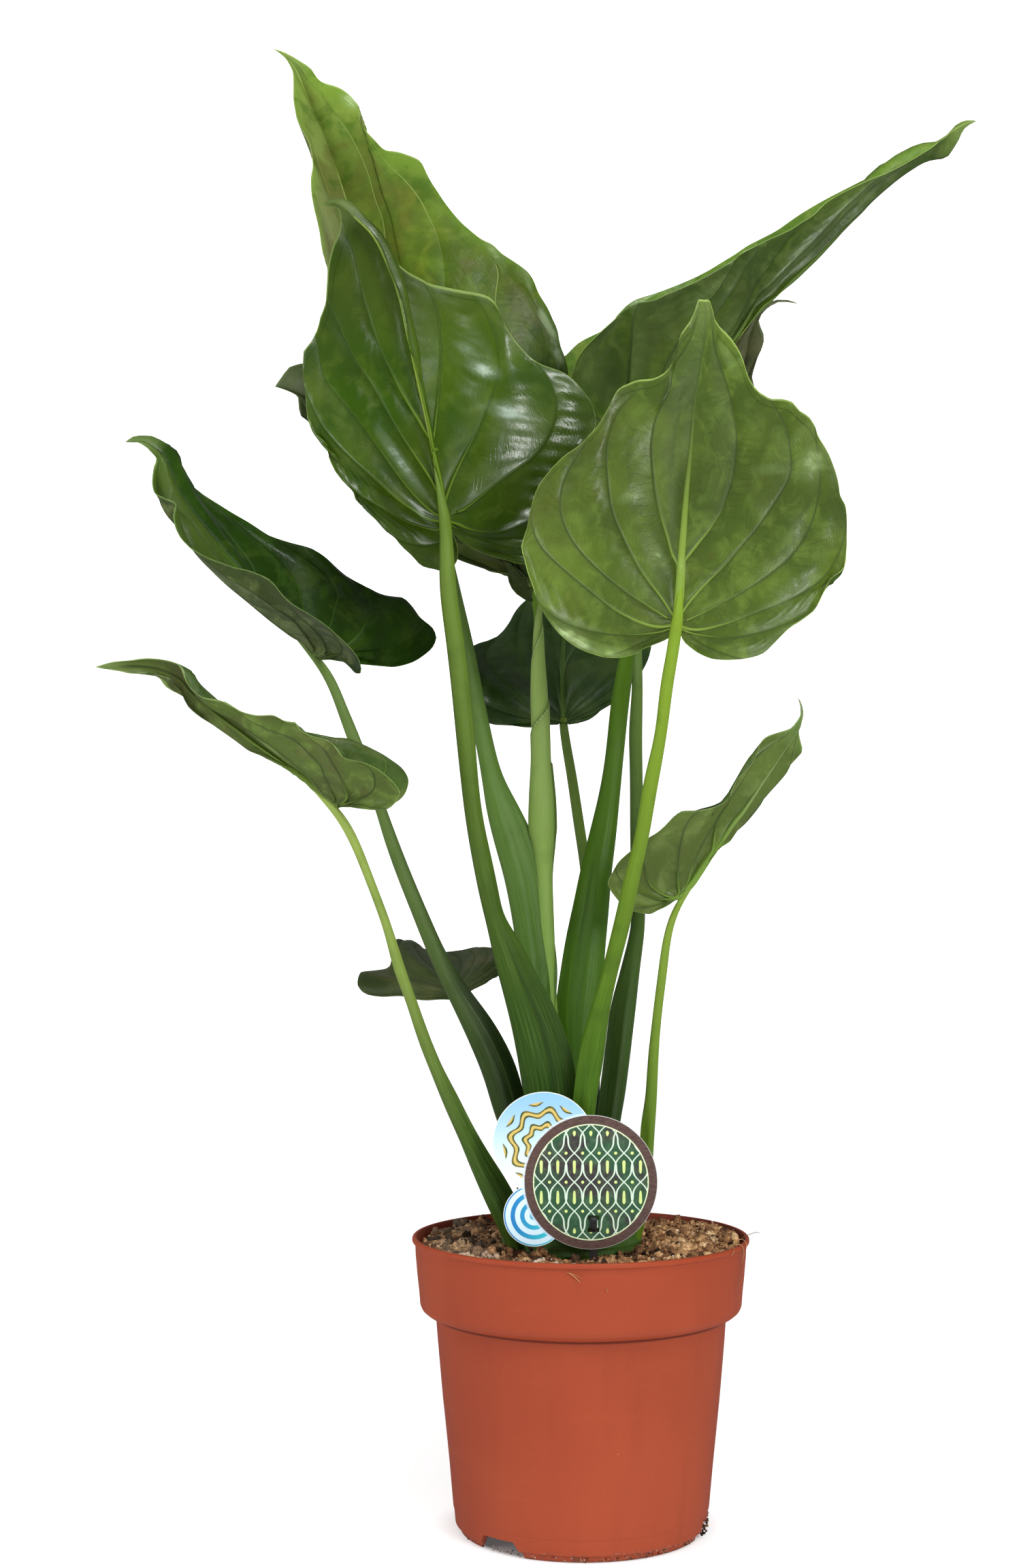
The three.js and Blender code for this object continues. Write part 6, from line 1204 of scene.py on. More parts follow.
# painted shade along the sheath's fold line and on its wing: place across (-1 back edge, +1 open edge), width, darkness
# of the painted line, darkness of the painted shade on the wing
WING = {
    "leaf_stalk_2": (0.16, 0.05, 0.55, 0.22), "leaf_stalk_6": (0.34, 0.03, 0.5, 0.55), "leaf_stalk_4": (0.30, 0.04, 0.40, 0.0),
    "leaf_stalk_1": (0.62, 0.05, 0.18, 0.10), "leaf_stalk_7": (0.45, 0.05, 0.35, 0.15),
}
STALK_LOOK = {  # at the blade, low down, dark, light
    "leaf_stalk_1": [(118, 148, 84), (84, 116, 46), (58, 88, 34), (136, 162, 100)],
    "leaf_stalk_2": [(122, 158, 62), (58, 92, 24), (40, 70, 22), (140, 172, 84)],
    "leaf_stalk_3": [(146, 176, 58), (90, 124, 22), (62, 94, 18), (160, 188, 84)],
    "leaf_stalk_4": [(92, 122, 42), (60, 94, 32), (46, 76, 26), (110, 138, 64)],
    "leaf_stalk_5": [(104, 130, 74), (68, 94, 48), (52, 76, 40), (118, 142, 90)],
    "leaf_stalk_6": [(104, 130, 66), (58, 78, 40), (46, 64, 32), (116, 138, 84)],
    "leaf_stalk_7": [(148, 170, 92), (66, 98, 34), (54, 84, 28), (158, 178, 108)],
    "leaf_stalk_8": [(90, 108, 58), (80, 100, 50), (60, 80, 38), (104, 120, 72)],
    "leaf_stalk_9": [(142, 168, 84), (104, 138, 50), (84, 116, 40), (154, 178, 98)],
    "leaf_stalk_10": [(92, 116, 50), (72, 98, 38), (54, 78, 30), (104, 126, 66)],
    "leaf_stalk_11": [(84, 108, 50), (66, 92, 38), (50, 72, 30), (98, 120, 66)],
}
STALK_BALANCE = {
    "leaf_stalk_1": ((.78, .84, .56), (.43, .57, .21)), "leaf_stalk_2": ((.55, .52, .40), (.30, .44, .12)), "leaf_stalk_3": ((.64, .68, .40), (.32, .50, .08)),
    "leaf_stalk_4": ((.86, 1.0, .30), (.72, .82, .34)), "leaf_stalk_5": ((.76, .82, .46), (.38, .49, .20)), "leaf_stalk_6": ((.86, .88, .74), (.37, .49, .22)),
    "leaf_stalk_7": ((.92, .92, .66), (.40, .56, .16)), "leaf_stalk_9": ((.68, .72, .34), (.64, .70, .30)), "leaf_stalk_11": ((1.15, 1.35, .27), (1.15, 1.35, .27)),
}
K = 40


def build_stalk(name, look, seed):
    rows = np.array(STALKS[name])
    leaf = name.replace("_stalk", "")
    B = blades[leaf]
    # the stalk runs on under the blade as its midrib
    n_up = np.cross(B.P(1, 0.5, 1.0) - B.P(-1, 0.5, 1.0), B.ax)
    n_up /= np.linalg.norm(n_up)
    ext = []
    w0, h0 = rows[0, 3], rows[0, 4]
    for t, k in ((0.150, 0.16), (0.115, 0.34), (0.08, 0.56), (0.045, 0.78), (0.016, 0.93)):
        p = B.M(t) - n_up * (0.30 + h0 * k * 0.62)
        ext.append([*p, w0 * k, h0 * k])
    P = np.array(ext + rows[1:].tolist()) if np.linalg.norm(rows[0, :3] - ext[-1][:3]) < 6 else np.array(ext + rows.tolist())
    f = Curve(arc(P[:, :3]), P)
    L = np.linalg.norm(np.diff(P[:, :3], axis=0), axis=1).sum()
    n = int(L / 4.0)
    t = np.linspace(0, 1, n)
    S = f(t)
    # smooth the centre line
    w = np.hanning(9); w /= w.sum()
    pad = 4
    X = np.concatenate([2 * S[0] - S[1:pad + 1][::-1], S, 2 * S[-1] - S[-pad - 1:-1][::-1]])
    S = np.stack([np.convolve(X[:, c], w, "valid") for c in range(5)], 1)
    S[:, 3:] = np.maximum(S[:, 3:], 0.25)
    C = S[:, :3]
    T, e1, e2 = frames(C)
    th = np.linspace(0, 2 * np.pi, K, endpoint=False)
    side, s0, s1 = SHEATH.get(name, (1, 2.0, 3.0))
    sh = smoothstep(s0, s1, t)[:, None]
    cs, sn = np.cos(th)[None], np.sin(th)[None]
    # e1 points to +X or -X: find which
    sx = np.sign(e1[:, 0].mean())
    u = cs * sx * side  # +1 at the sheath's open edge
    a, h = S[:, 3:4], S[:, 4:5]
    x = cs * a
    # thick on the stalk's own side, thin at the sheath edge
    taper = 1 - sh * (0.72 * smoothstep(-0.35, 1.0, u))
    y = np.sign(sn) * np.abs(sn) ** (1 - 0.25 * sh) * h * taper
    # fold line where the sheath leaves the stalk, on the front
    front = (sn < 0) if np.sign(e2[:, 1].mean()) > 0 else (sn > 0)
    fold = sh * np.exp(-((u - 0.15) / 0.16) ** 2) * 0.55 * front
    y = y * (1 - fold * 0.28)
    # rolled lip at the very edge
    lip = sh * np.exp(-((u - 1) / 0.05) ** 2)
    y = y + np.sign(sn) * lip * 0.35
    ridge = 0.012 * np.sin(th * 9 + seed)[None] * (1 - 0.5 * sh)
    V = C[:, None] + e1[:, None] * (x * (1 + ridge))[..., None] + e2[:, None] * (y * (1 + ridge))[..., None]
    V = V.reshape(-1, 3)
    V += (0.18 * noise3(V, 30, seed))[:, None] * np.repeat(e1, K, axis=0)
    pale = (sh * np.exp(-((u - 1) / 0.012) ** 2)).ravel() * 0.8
    ul, lw, ls, ws = WING.get(name, (0.32, 0.10, 0.35, 0.0))
    # painted shade on the front: a dark line at the sheath's fold and a darker wing beyond it
    shade = (sh * front * np.clip(np.exp(-((u - ul) / lw) ** 2) * ls + ws * smoothstep(ul - 0.02, ul + 0.06, u), 0, 1)).ravel()
    if name == "leaf_stalk_6":
        pale = np.maximum(pale, (sh * front * np.exp(-((u - ul + 0.05) / 0.035) ** 2)).ravel() * 0.7)
    attrs = dict(along=np.repeat(t, K), around=np.tile(th / (2 * np.pi) * 6, n), pale=pale, shade=shade)
    kt, kl = STALK_BALANCE.get(name, ((.9, .9, .7), (.6, .7, .45)))
    top, low, dark, light = (tuple(np.array(lin(c)) * (*k, 1)) for c, k in zip(look, (kt, kl, kl, kt)))
    m = stalk_material(name + "_skin", top, low, dark, light, seed=seed)
    o = mesh_object(name + "_petiole", V, tube_faces(n, K), attrs, [m])
    bm = bmesh.new(); bm.from_mesh(o.data)
    bmesh.ops.recalc_face_normals(bm, faces=bm.faces)
    bm.to_mesh(o.data); bm.free()
    done(o, name)
    return o


for i, (name, look) in enumerate(STALK_LOOK.items()):
    build_stalk(name, look, i + 3)


# ---- the new leaf, rolled round itself: a spiral seam climbs it ----
def rolled_leaf():
    rows = np.array(STALKS["rolled_new_leaf"])
    f = Curve(arc(rows[:, :3]), rows)
    n, k = 240, 56
    t = np.linspace(0, 1, n)
    S = f(t)
    S[:, 3:] = np.maximum(S[:, 3:], 0.2)
    C = S[:, :3]
    T, e1, e2 = frames(C)
    th = np.linspace(0, 2 * np.pi, k, endpoint=False)
    cs, sn = np.cos(th)[None], np.sin(th)[None]
    z = C[:, 2:3]
    # height of the seam: steep at the top, closer turns lower down
    turn = np.interp(C[:, 2], [430, 470, 520, 560, 600, 650, 720], [0.0, 1.1, 2.1, 3.0, 3.6, 4.1, 4.6])[:, None]
    ph = (th[None] / (2 * np.pi) + turn) % 1.0
    vis = smoothstep(0.50, 0.62, 1 - t)[:, None]
    S[:, 3:] *= np.interp(C[:, 2], [382, 402, 436, 468, 490, 510, 530, 600], [1.10, 1.09, 0.98, 0.97, 0.88, 0.76, 0.62, 0.48])[:, None]
    step = vis * (ph ** 1.0 * 0.13 - 0.05 - 0.10 * np.exp(-ph / 0.035))
    a, h = S[:, 3:4] * (1 + step), S[:, 4:5] * (1 + step)
    V = C[:, None] + e1[:, None] * (cs * a)[..., None] + e2[:, None] * (sn * h)[..., None]
    # painted shade along the spiral seam
    seam = (vis * np.exp(-np.minimum(ph, 1 - ph) / 0.042)).ravel()
    pale = (vis * np.exp(-np.abs(ph - 0.97) / 0.02)).ravel()
    attrs = dict(along=np.repeat(t, k), around=np.tile(th / (2 * np.pi) * 6, n), pale=pale * 0.85, shade=seam * 0.85)
    m = stalk_material("rolled_leaf_skin", lin((126, 150, 76)), lin((114, 150, 58)), lin((80, 112, 38)), lin((172, 196, 132)), rough=0.34, seed=31, streak=0.6)
    o = mesh_object("rolled_new_leaf_spear", V.reshape(-1, 3), tube_faces(n, k), attrs, [m])
    bm = bmesh.new(); bm.from_mesh(o.data)
    bmesh.ops.recalc_face_normals(bm, faces=bm.faces)
    bm.to_mesh(o.data); bm.free()
    done(o, "rolled_new_leaf")


rolled_leaf()

POT_A, POT_B = lin((154, 63, 35)), lin((162, 69, 39))
# ---------------------------------------------------------------------------------------------------------------
# stem base
# ---------------------------------------------------------------------------------------------------------------
POT_X, POT_Y = 10.1, -30.0


def stem_base():
    n, k = 40, 96
    prof = Curve([0, .12, .3, .5, .7, .86, 1], np.array([(0.5, 140), (27, 142), (33, 150), (35, 158), (33, 165), (22, 174), (0.5, 178.6)], float))
    t = np.linspace(0, 1, n)
    p = prof(t)
    th = np.linspace(0, 2 * np.pi, k, endpoint=False)
    # scars of shed leaves ring the stem
    r = p[:, 0:1] * (1 + 0.02 * np.sin(th * 7 + 1)[None] + 0.012 * np.sin(p[:, 1:2] * 1.6))
    x, y = r * np.cos(th) * 1.14 - 6 + POT_X, r * np.sin(th) * 0.96 - 6 + POT_Y
    z = np.repeat(p[:, 1:2], k, 1)
    V = np.stack([x, y, z], -1).reshape(-1, 3)
    attrs = dict(along=np.repeat(1 - t, k), around=np.tile(th, n), pale=np.zeros(n * k), shade=np.repeat(smoothstep(0.35, 0.0, t) * 0, k))
    m = stalk_material("stem_skin", lin((66, 98, 34)), lin((48, 76, 26)), lin((36, 58, 20)), lin((84, 112, 50)), rough=0.42, seed=41)
    o = mesh_object("stem_base_body", V, tube_faces(n, k), attrs, [m])
    bm = bmesh.new(); bm.from_mesh(o.data)
    bmesh.ops.recalc_face_normals(bm, faces=bm.faces)
    bm.to_mesh(o.data); bm.free()
    done(o, "stem_base")


stem_base()


# ---------------------------------------------------------------------------------------------------------------
# pot
# ---------------------------------------------------------------------------------------------------------------
def lathe(profile, seg=192):
    P = np.array(profile)
    th = np.linspace(0, 2 * np.pi, seg, endpoint=False)
    V, F, rings = [], [], []
    for r, z in P:
        if r < 1e-6:
            rings.append([len(V)])
            V.append((0, 0, z))
        else:
            rings.append(list(range(len(V), len(V) + seg)))
            V += [(r * math.cos(a), r * math.sin(a), z) for a in th]
    m = len(P)
    for i in range(m):
        a, b = rings[i], rings[(i + 1) % m]
        if len(a) == 1 and len(b) == 1:
            continue
        for j in range(seg):
            j2 = (j + 1) % seg
            if len(a) == 1:
                F.append([a[0], b[j2], b[j]])
            elif len(b) == 1:
                F.append([a[j], a[j2], b[0]])
            else:
                F.append([a[j], a[j2], b[j2], b[j]])
    return np.array(V), F


def rounded(points, r=0.6, steps=4):
    """Profile corners rounded with radius about r."""
    out = []
    P = [np.array(p, float) for p in points]
    for i, p in enumerate(P):
        if i == 0 or i == len(P) - 1:
            out.append(p)
            continue
        a, b = P[i - 1] - p, P[i + 1] - p
        la, lb = np.linalg.norm(a), np.linalg.norm(b)
        d = min(r, 0.42 * la, 0.42 * lb)
        q0, q1 = p + a / la * d, p + b / lb * d
        for s in np.linspace(0, 1, steps):
            out.append((1 - s) ** 2 * q0 + 2 * s * (1 - s) * p + s * s * q1)
    return [tuple(q) for q in out]


def dense(points, step):
    out = []
    for a, b in zip(points[:-1], points[1:]):
        a, b = np.array(a), np.array(b)
        n = max(1, int(np.linalg.norm(b - a) / step))
        out += [tuple(a + (b - a) * i / n) for i in range(n)]
    return out + [tuple(points[-1])]


def build_pot():
    outer = [(92.7, 163.1), (94.3, 163.3), (95.0, 162.5), (95.05, 160.9), (94.5, 160.2), (93.45, 160.0), (93.35, 159.3), (93.1, 153.4), (92.1, 141.9), (91.1, 132.8),
             (90.5, 125.6), (89.5, 123.4), (87.2, 121.5), (83.9, 120.2), (82.5, 119.7), (82.25, 119.1), (81.75, 118.6), (81.6, 117.4), (80.7, 105.3), (77.8, 73.2), (74.1, 36.7),
             (71.95, 13.0), (71.55, 12.2), (71.45, 11.6), (70.75, 4.4), (70.2, 3.7), (69.1, 3.5), (68.5, 3.0), (67.9, 0.3), (67.4, 0.0)]
    inner = [(66.6, 0.0), (66.2, 0.4), (66.4, 9.0), (0, 9.0)]
    inner2 = [(0, 10.5), (69.9, 10.5), (76.2, 73.2), (80.5, 119.9), (86.2, 122.6), (88.6, 125.4), (90.5, 141.9), (92.3, 161.5), (92.7, 163.1)]
    prof = dense(rounded(outer, 0.5), 9) + dense(rounded(inner, 0.6), 9) + dense(rounded(inner2, 0.8), 9)[:-1]
    V, F = lathe(prof)
    o = mesh_object("pot_shell", V, F, None, [])
    bm = bmesh.new(); bm.from_mesh(o.data)
    bmesh.ops.remove_doubles(bm, verts=bm.verts, dist=1e-6)
    bmesh.ops.recalc_face_normals(bm, faces=bm.faces)
    bm.to_mesh(o.data); bm.free()
    cutters = []
    for deg in (-41, 79, 199):
        a = math.radians(deg)
        sec = rounded([(-16.2, -3), (-15.2, 1.0), (-10.7, 8.7), (10.7, 8.7), (15.2, 1.0), (16.2, -3)], 1.2, 4)
        nsec = len(sec)
        vs = [(x, -y0, z) for y0 in (56, 82) for x, z in sec]
        fs = [list(range(nsec)), list(range(2 * nsec - 1, nsec - 1, -1))] + [[i, i + nsec, (i + 1) % nsec + nsec, (i + 1) % nsec] for i in range(nsec)]
        R = np.array([[math.cos(a), -math.sin(a), 0], [math.sin(a), math.cos(a), 0], [0, 0, 1]])
        c = mesh_object("cut", np.array(vs) @ R.T, fs, None, [], None, False)
        cutters.append(c)
        th = np.linspace(0, 2 * np.pi, 40, endpoint=False)
        vs = [(6 * math.cos(t), -52 + 6 * math.sin(t), z) for z in (3, 16) for t in th]
        fs = [list(range(40))[::-1], list(range(40, 80))] + [[i, (i + 1) % 40, (i + 1) % 40 + 40, i + 40] for i in range(40)]
        cutters.append(mesh_object("cut", np.array(vs) @ R.T, fs, None, [], None, False))
    for c in cutters:
        bm = bmesh.new(); bm.from_mesh(c.data)
        bmesh.ops.recalc_face_normals(bm, faces=bm.faces)
        bm.to_mesh(c.data); bm.free()
        md = o.modifiers.new("cut", "BOOLEAN")
        md.operation = "DIFFERENCE"
        md.solver = "EXACT"
        md.object = c
    dg = bpy.context.evaluated_depsgraph_get()
    me = bpy.data.meshes.new_from_object(o.evaluated_get(dg))
    o.modifiers.clear()
    old = o.data
    o.data = me
    bpy.data.meshes.remove(old)
    for c in cutters:
        cm = c.data
        bpy.data.objects.remove(c)
        bpy.data.meshes.remove(cm)
    # moulded wall: a little out of round, faint sink marks, then in place
    co = np.empty(len(me.vertices) * 3)
    me.vertices.foreach_get("co", co)
    P = co.reshape(-1, 3) / MM
    th = np.arctan2(P[:, 1], P[:, 0])
    r = np.hypot(P[:, 0], P[:, 1])
    w = smoothstep(30, 66, r)
    dr = w * (0.22 * np.sin(2 * th + 0.6) + 0.12 * np.sin(5 * th + P[:, 2] * 0.03) + 0.10 * noise3(P, 26, 77))
    k = (r + dr) / np.maximum(r, 1e-6)
    P[:, 0] = P[:, 0] * k + POT_X
    P[:, 1] = P[:, 1] * k + POT_Y
    me.vertices.foreach_set("co", (P * MM).ravel())
    inside = np.where((r < np.interp(P[:, 2], [0, 9, 10.5, 73, 119.6, 122.4, 125.4, 142, 163], [67, 67, 70.4, 77, 81.1, 86.9, 89.4, 91.2, 93.2])) & (P[:, 2] > 9.5), 1.0, 0.0)
    a = me.attributes.new("inside", "FLOAT", "POINT")
    a.data.foreach_set("value", inside.astype(np.float32))
    m = Nodes("pot_plastic_skin")
    c = m.coords()
    cyl = m.mapping(c, loc=(-POT_X * MM, -POT_Y * MM, 0))
    x, y, z = m.sep(cyl)
    big = m.noise(cyl, 9, 2.0)
    stretch = m.mapping(cyl, scale=(1, 1, 0.12))
    streak = m.noise(stretch, 70, 3.0, 0.6)
    ring = m.noise(m.mapping(cyl, scale=(0.10, 0.10, 1)), 160, 2.0, 0.6)
    fine = m.noise(cyl, 1100, 2.0)
    col = m.mix(m.maprange(big, 0.35, 0.65), POT_A, POT_B)
    col = m.mix(m.math("MULTIPLY", m.maprange(streak, 0.45, 0.8), 0.30), col, scaled(POT_A, 0.80))
    col = m.mix(m.math("MULTIPLY", m.maprange(ring, 0.5, 0.8), 0.18), col, scaled(POT_B, 1.12))
    col = m.mix(m.math("MULTIPLY", m.maprange(fine, 0.35, 0.7), 0.10), col, scaled(POT_A, 0.7))
    # pale dusty specks, more of them near the rim
    sp = m.maprange(m.voronoi(cyl, 120), 0.050, 0.020, 0, 1)
    where = m.maprange(m.noise(cyl, 24, 1.0), 0.62, 0.68)
    col = m.mix(m.math("MULTIPLY", m.math("MULTIPLY", sp, where), 0.6), col, lin((226, 178, 156)))
    sp2 = m.maprange(m.voronoi(m.mapping(cyl, loc=(.31, .17, .05)), 95), 0.045, 0.02, 0, 1)
    where2 = m.maprange(m.noise(m.mapping(cyl, loc=(.5, .2, .1)), 30, 1.0), 0.62, 0.70)
    col = m.mix(m.math("MULTIPLY", m.math("MULTIPLY", sp2, where2), 0.6), col, lin((96, 52, 34)))
    # soil dust on the foot
    foot = m.maprange(z, 0.0075, 0.001)
    dust = m.maprange(m.noise(cyl, 210, 4.0, 0.7), 0.50, 0.64)
    col = m.mix(m.math("MULTIPLY", m.math("MULTIPLY", foot, dust), 0.8), col, lin((108, 66, 50)))
    dust2 = m.maprange(m.noise(cyl, 330, 4.0, 0.7), 0.58, 0.66)
    col = m.mix(m.math("MULTIPLY", m.math("MULTIPLY", m.maprange(z, 0.0060, 0.0035), dust2), 0.7), col, lin((176, 128, 106)))
    # painted shade: a dark line, with some dust, in the corner under the collar, and a painted shadow fading down the
    # wall below it
    rr = m.math("SQRT", m.math("ADD", m.math("MULTIPLY", x, x), m.math("MULTIPLY", y, y)))
    outer_wall = m.maprange(rr, 0.0846, 0.0834)
    corner = m.math("MULTIPLY", m.math("MULTIPLY", m.maprange(z, 0.1181, 0.1192), m.maprange(z, 0.1204, 0.1199)), outer_wall)
    col = m.mix(m.math("MULTIPLY", corner, 0.86), col, lin((86, 24, 10)))
    col = m.mix(m.math("MULTIPLY", m.math("MULTIPLY", m.maprange(z, 0.108, 0.119), m.maprange(z, 0.1204, 0.1199)), 0.12), col, scaled(POT_A, 0.62))
    # darker at the very foot
    col = m.mix(m.math("MULTIPLY", m.maprange(z, 0.0018, 0.0004), 0.45), col, lin((96, 58, 44)))
    # painted shade: darker inside the pot
    col = m.mix(m.math("MULTIPLY", m.attr("inside"), 0.62), col, lin((98, 40, 28)))
    # painted shade: the raised floor and the skirt's inner side are darkened as if in shadow
    hollow = m.math("MULTIPLY", m.maprange(rr, 0.0674, 0.0668), m.maprange(z, 0.0100, 0.0094))
    col = m.mix(m.math("MULTIPLY", hollow, 0.8), col, lin((84, 30, 16)))
    m.put(m.p.inputs["Base Color"], col)
    m.put(m.p.inputs["Roughness"], m.math("ADD", 0.44, m.math("MULTIPLY", streak, 0.14)))
    m.p.inputs["Specular IOR Level"].default_value = 0.28
    h = m.math("ADD", m.math("MULTIPLY", fine, 0.5), m.math("MULTIPLY", m.noise(cyl, 240, 3.0), 0.7))
    h = m.math("ADD", h, m.math("MULTIPLY", ring, 0.6))
    m.link(m.bump(h, 0.20, 0.0005), m.p.inputs["Normal"])
    me.materials.clear()
    me.materials.append(m.mat)
    # crisp moulded edges, soft walls
    me.polygons.foreach_set("use_smooth", np.full(len(me.polygons), True))
    bm = bmesh.new(); bm.from_mesh(me)
    for e in bm.edges:
        if len(e.link_faces) == 2 and e.calc_face_angle(0) > math.radians(42):
            e.smooth = False
    bm.to_mesh(me); bm.free()
    done(o, "pot")


build_pot()


# ---------------------------------------------------------------------------------------------------------------
# soil: lumpy peat, crumbs, fibres and pale bits
# ---------------------------------------------------------------------------------------------------------------
def soil_height(x, y):
    r = np.hypot(x, y) / 92
    z = 157.4 + 3.4 * np.maximum(0, x / 92) * r + 1.6 * np.maximum(0, -x / 92) * r + 0.8 * np.sin(x / 13 + 1) * np.cos(y / 11)
    p = np.stack([x, y, np.zeros_like(x)], -1).reshape(-1, 3)
    n = lambda s, k: noise3(p, s, k).reshape(x.shape)
    # heaped on the right and to the back left, hollow round the stem in front
    z = z + 3.4 * smoothstep(0.15, 0.75, x / 92) * smoothstep(1.0, 0.86, r) * (0.6 + 0.4 * n(30, 90))
    z = z + 1.5 * smoothstep(0.2, 0.7, -x / 92) * smoothstep(0.0, 0.6, y / 92)
    lump = np.abs(n(11, 91)) ** 0.8 * 3.0 + np.abs(n(5.2, 92)) * 2.0 + n(2.6, 93) * 0.9 + n(1.35, 94) * 0.55
    z = z + lump - 1.4
    z = z - 3.2 * np.exp(-(((x - 2) / 26) ** 2 + ((y + 50) / 10) ** 2))
    return z


def build_soil():
    nr, na = 102, 360
    rad = 90.3 * np.linspace(0, 1, nr + 1)[1:] ** 0.75
    th = np.linspace(0, 2 * np.pi, na, endpoint=False)
    R, A = np.meshgrid(rad, th, indexing="ij")
    x, y = R * np.cos(A), R * np.sin(A)
    z = soil_height(x, y)
    edge = smoothstep(0.985, 1.0, R / 90.3)
    z = z * (1 - edge) + (155.0 + 0 * z) * edge
    rmax = np.interp(z, [120, 124, 142, 163], [86.0, 88.0, 89.9, 91.7])
    k = np.minimum(1, rmax / R)
    x, y = x * k, y * k
    top = np.stack([x, y, z], -1).reshape(-1, 3)
    V = [top, np.array([[0, 0, soil_height(np.array([0.0]), np.array([0.0]))[0]]])]
    F = []
    idx = np.arange(nr * na).reshape(nr, na)
    nx = np.roll(idx, -1, axis=1)
    F += np.stack([idx[:-1], idx[1:], nx[1:], nx[:-1]], -1).reshape(-1, 4).tolist()
    c = nr * na
    F += [[c, int(idx[0, j]), int(nx[0, j])] for j in range(na)]
    # side wall and floor, hidden inside the pot
    side = [(90.0, 152.0), (89.3, 141.9), (87.4, 125.8), (85.1, 123.0), (79.5, 120.3), (75.3, 73.2), (69.1, 10.9)]
    base = c + 1
    for r, zz in side:
        V.append(np.stack([r * np.cos(th), r * np.sin(th), np.full(na, zz)], -1))
    ring = lambda i: idx[-1] if i < 0 else base + i * na + np.arange(na)
    for i in range(len(side)):
        a, b = ring(i - 1), ring(i)
        F += np.stack([a, b, np.roll(b, -1), np.roll(a, -1)], -1).tolist()
    V.append(np.array([[0, 0, 10.9]]))
    bot = base + len(side) * na
    b = ring(len(side) - 1)
    F += [[bot, int(b[(j + 1) % na]), int(b[j])] for j in range(na)]
    V = np.concatenate(V)
    tone = np.zeros(len(V))
    p = V.copy()
    tone = 0.5 + 0.35 * noise3(p, 14, 101) + 0.25 * noise3(p, 4.5, 102) + 0.2 * (V[:, 2] - 157) / 5 + 0.10 * V[:, 0] / 90
    parts = [(V, F, dict(tone=np.clip(tone, 0, 1), pale=np.zeros(len(V))), 0)]
    rng = np.random.default_rng(7)
    # crumbs
    phi = (1 + 5 ** 0.5) / 2
    ico = np.array([(-1, phi, 0), (1, phi, 0), (-1, -phi, 0), (1, -phi, 0), (0, -1, phi), (0, 1, phi), (0, -1, -phi), (0, 1, -phi), (phi, 0, -1), (phi, 0, 1), (-phi, 0, -1), (-phi, 0, 1)]) / math.hypot(1, phi)
    icf = [(0, 11, 5), (0, 5, 1), (0, 1, 7), (0, 7, 10), (0, 10, 11), (1, 5, 9), (5, 11, 4), (11, 10, 2), (10, 7, 6), (7, 1, 8), (3, 9, 4), (3, 4, 2), (3, 2, 6), (3, 6, 8), (3, 8, 9), (4, 9, 5), (2, 4, 11), (6, 2, 10), (8, 6, 7), (9, 8, 1)]

    def split(V, F):
        V = [tuple(v) for v in V]
        mid, out = {}, []

        def m(a, b):
            k = (min(a, b), max(a, b))
            if k not in mid:
                p = (np.array(V[a]) + np.array(V[b])) / 2
                V.append(tuple(p / np.linalg.norm(p)))
                mid[k] = len(V) - 1
            return mid[k]
        for a, b, c in F:
            ab, bc, ca = m(a, b), m(b, c), m(c, a)
            out += [(a, ab, ca), (b, bc, ab), (c, ca, bc), (ab, bc, ca)]
        return np.array(V), out
    ico1, icf1 = split(ico, icf)

    def crumb(x, y, size, tone, pale, fine=False, sink=0.25):
        S, Fc = (ico1, icf1) if fine else (ico, icf)
        s = S * (1 + 0.35 * rng.uniform(-1, 1, (len(S), 1))) * rng.uniform(0.6, 1.15, 3) * size
        a = rng.uniform(0, 2 * np.pi)
        R = np.array([[math.cos(a), -math.sin(a), 0], [math.sin(a), math.cos(a), 0], [0, 0, 1]])
        s = s @ R.T
        z0 = soil_height(np.array([x]), np.array([y]))[0]
        s += (x, y, z0 + size * (0.5 - sink))
        rr = np.hypot(s[:, 0], s[:, 1])
        lim = np.interp(s[:, 2], [120, 142, 163], [86, 89.8, 91.6])
        k = np.minimum(1, lim / np.maximum(rr, 1e-6))
        s[:, 0] *= k
        s[:, 1] *= k
        parts.append((s, [list(f) for f in Fc], dict(tone=np.full(len(s), tone), pale=np.full(len(s), pale)), 0))

    def spot():
        while True:
            x, y = rng.uniform(-89, 89, 2)
            if np.hypot(x, y) < 88:
                return x, y
    for i in range(1500):
        x, y = spot()
        crumb(x, y, rng.uniform(0.5, 1.6), np.clip(rng.normal(0.5, 0.3), 0, 1), 0)
    for i in range(260):
        x, y = spot()
        crumb(x, y, rng.uniform(1.6, 3.4), np.clip(rng.normal(0.45 + 0.2 * x / 90, 0.25), 0, 1), 0, True)
    for i in range(330):  # pale grains
        x, y = spot()
        crumb(x, y, rng.uniform(0.35, 0.9), 0.8, rng.uniform(0.5, 1.0))
    for i in range(150):  # pale clump in front of the stem, left of the stake
        crumb(-24 + rng.normal(0, 6.0), -76 + rng.normal(0, 4.0), rng.uniform(0.7, 1.7), 0.8, rng.uniform(0.35, 0.85))
    for i in range(70):  # grey, weathered patch on the left
        crumb(-58 + rng.normal(0, 7.0), -46 + rng.normal(0, 7.0), rng.uniform(0.8, 2.0), 0.7, rng.uniform(0.2, 0.5))
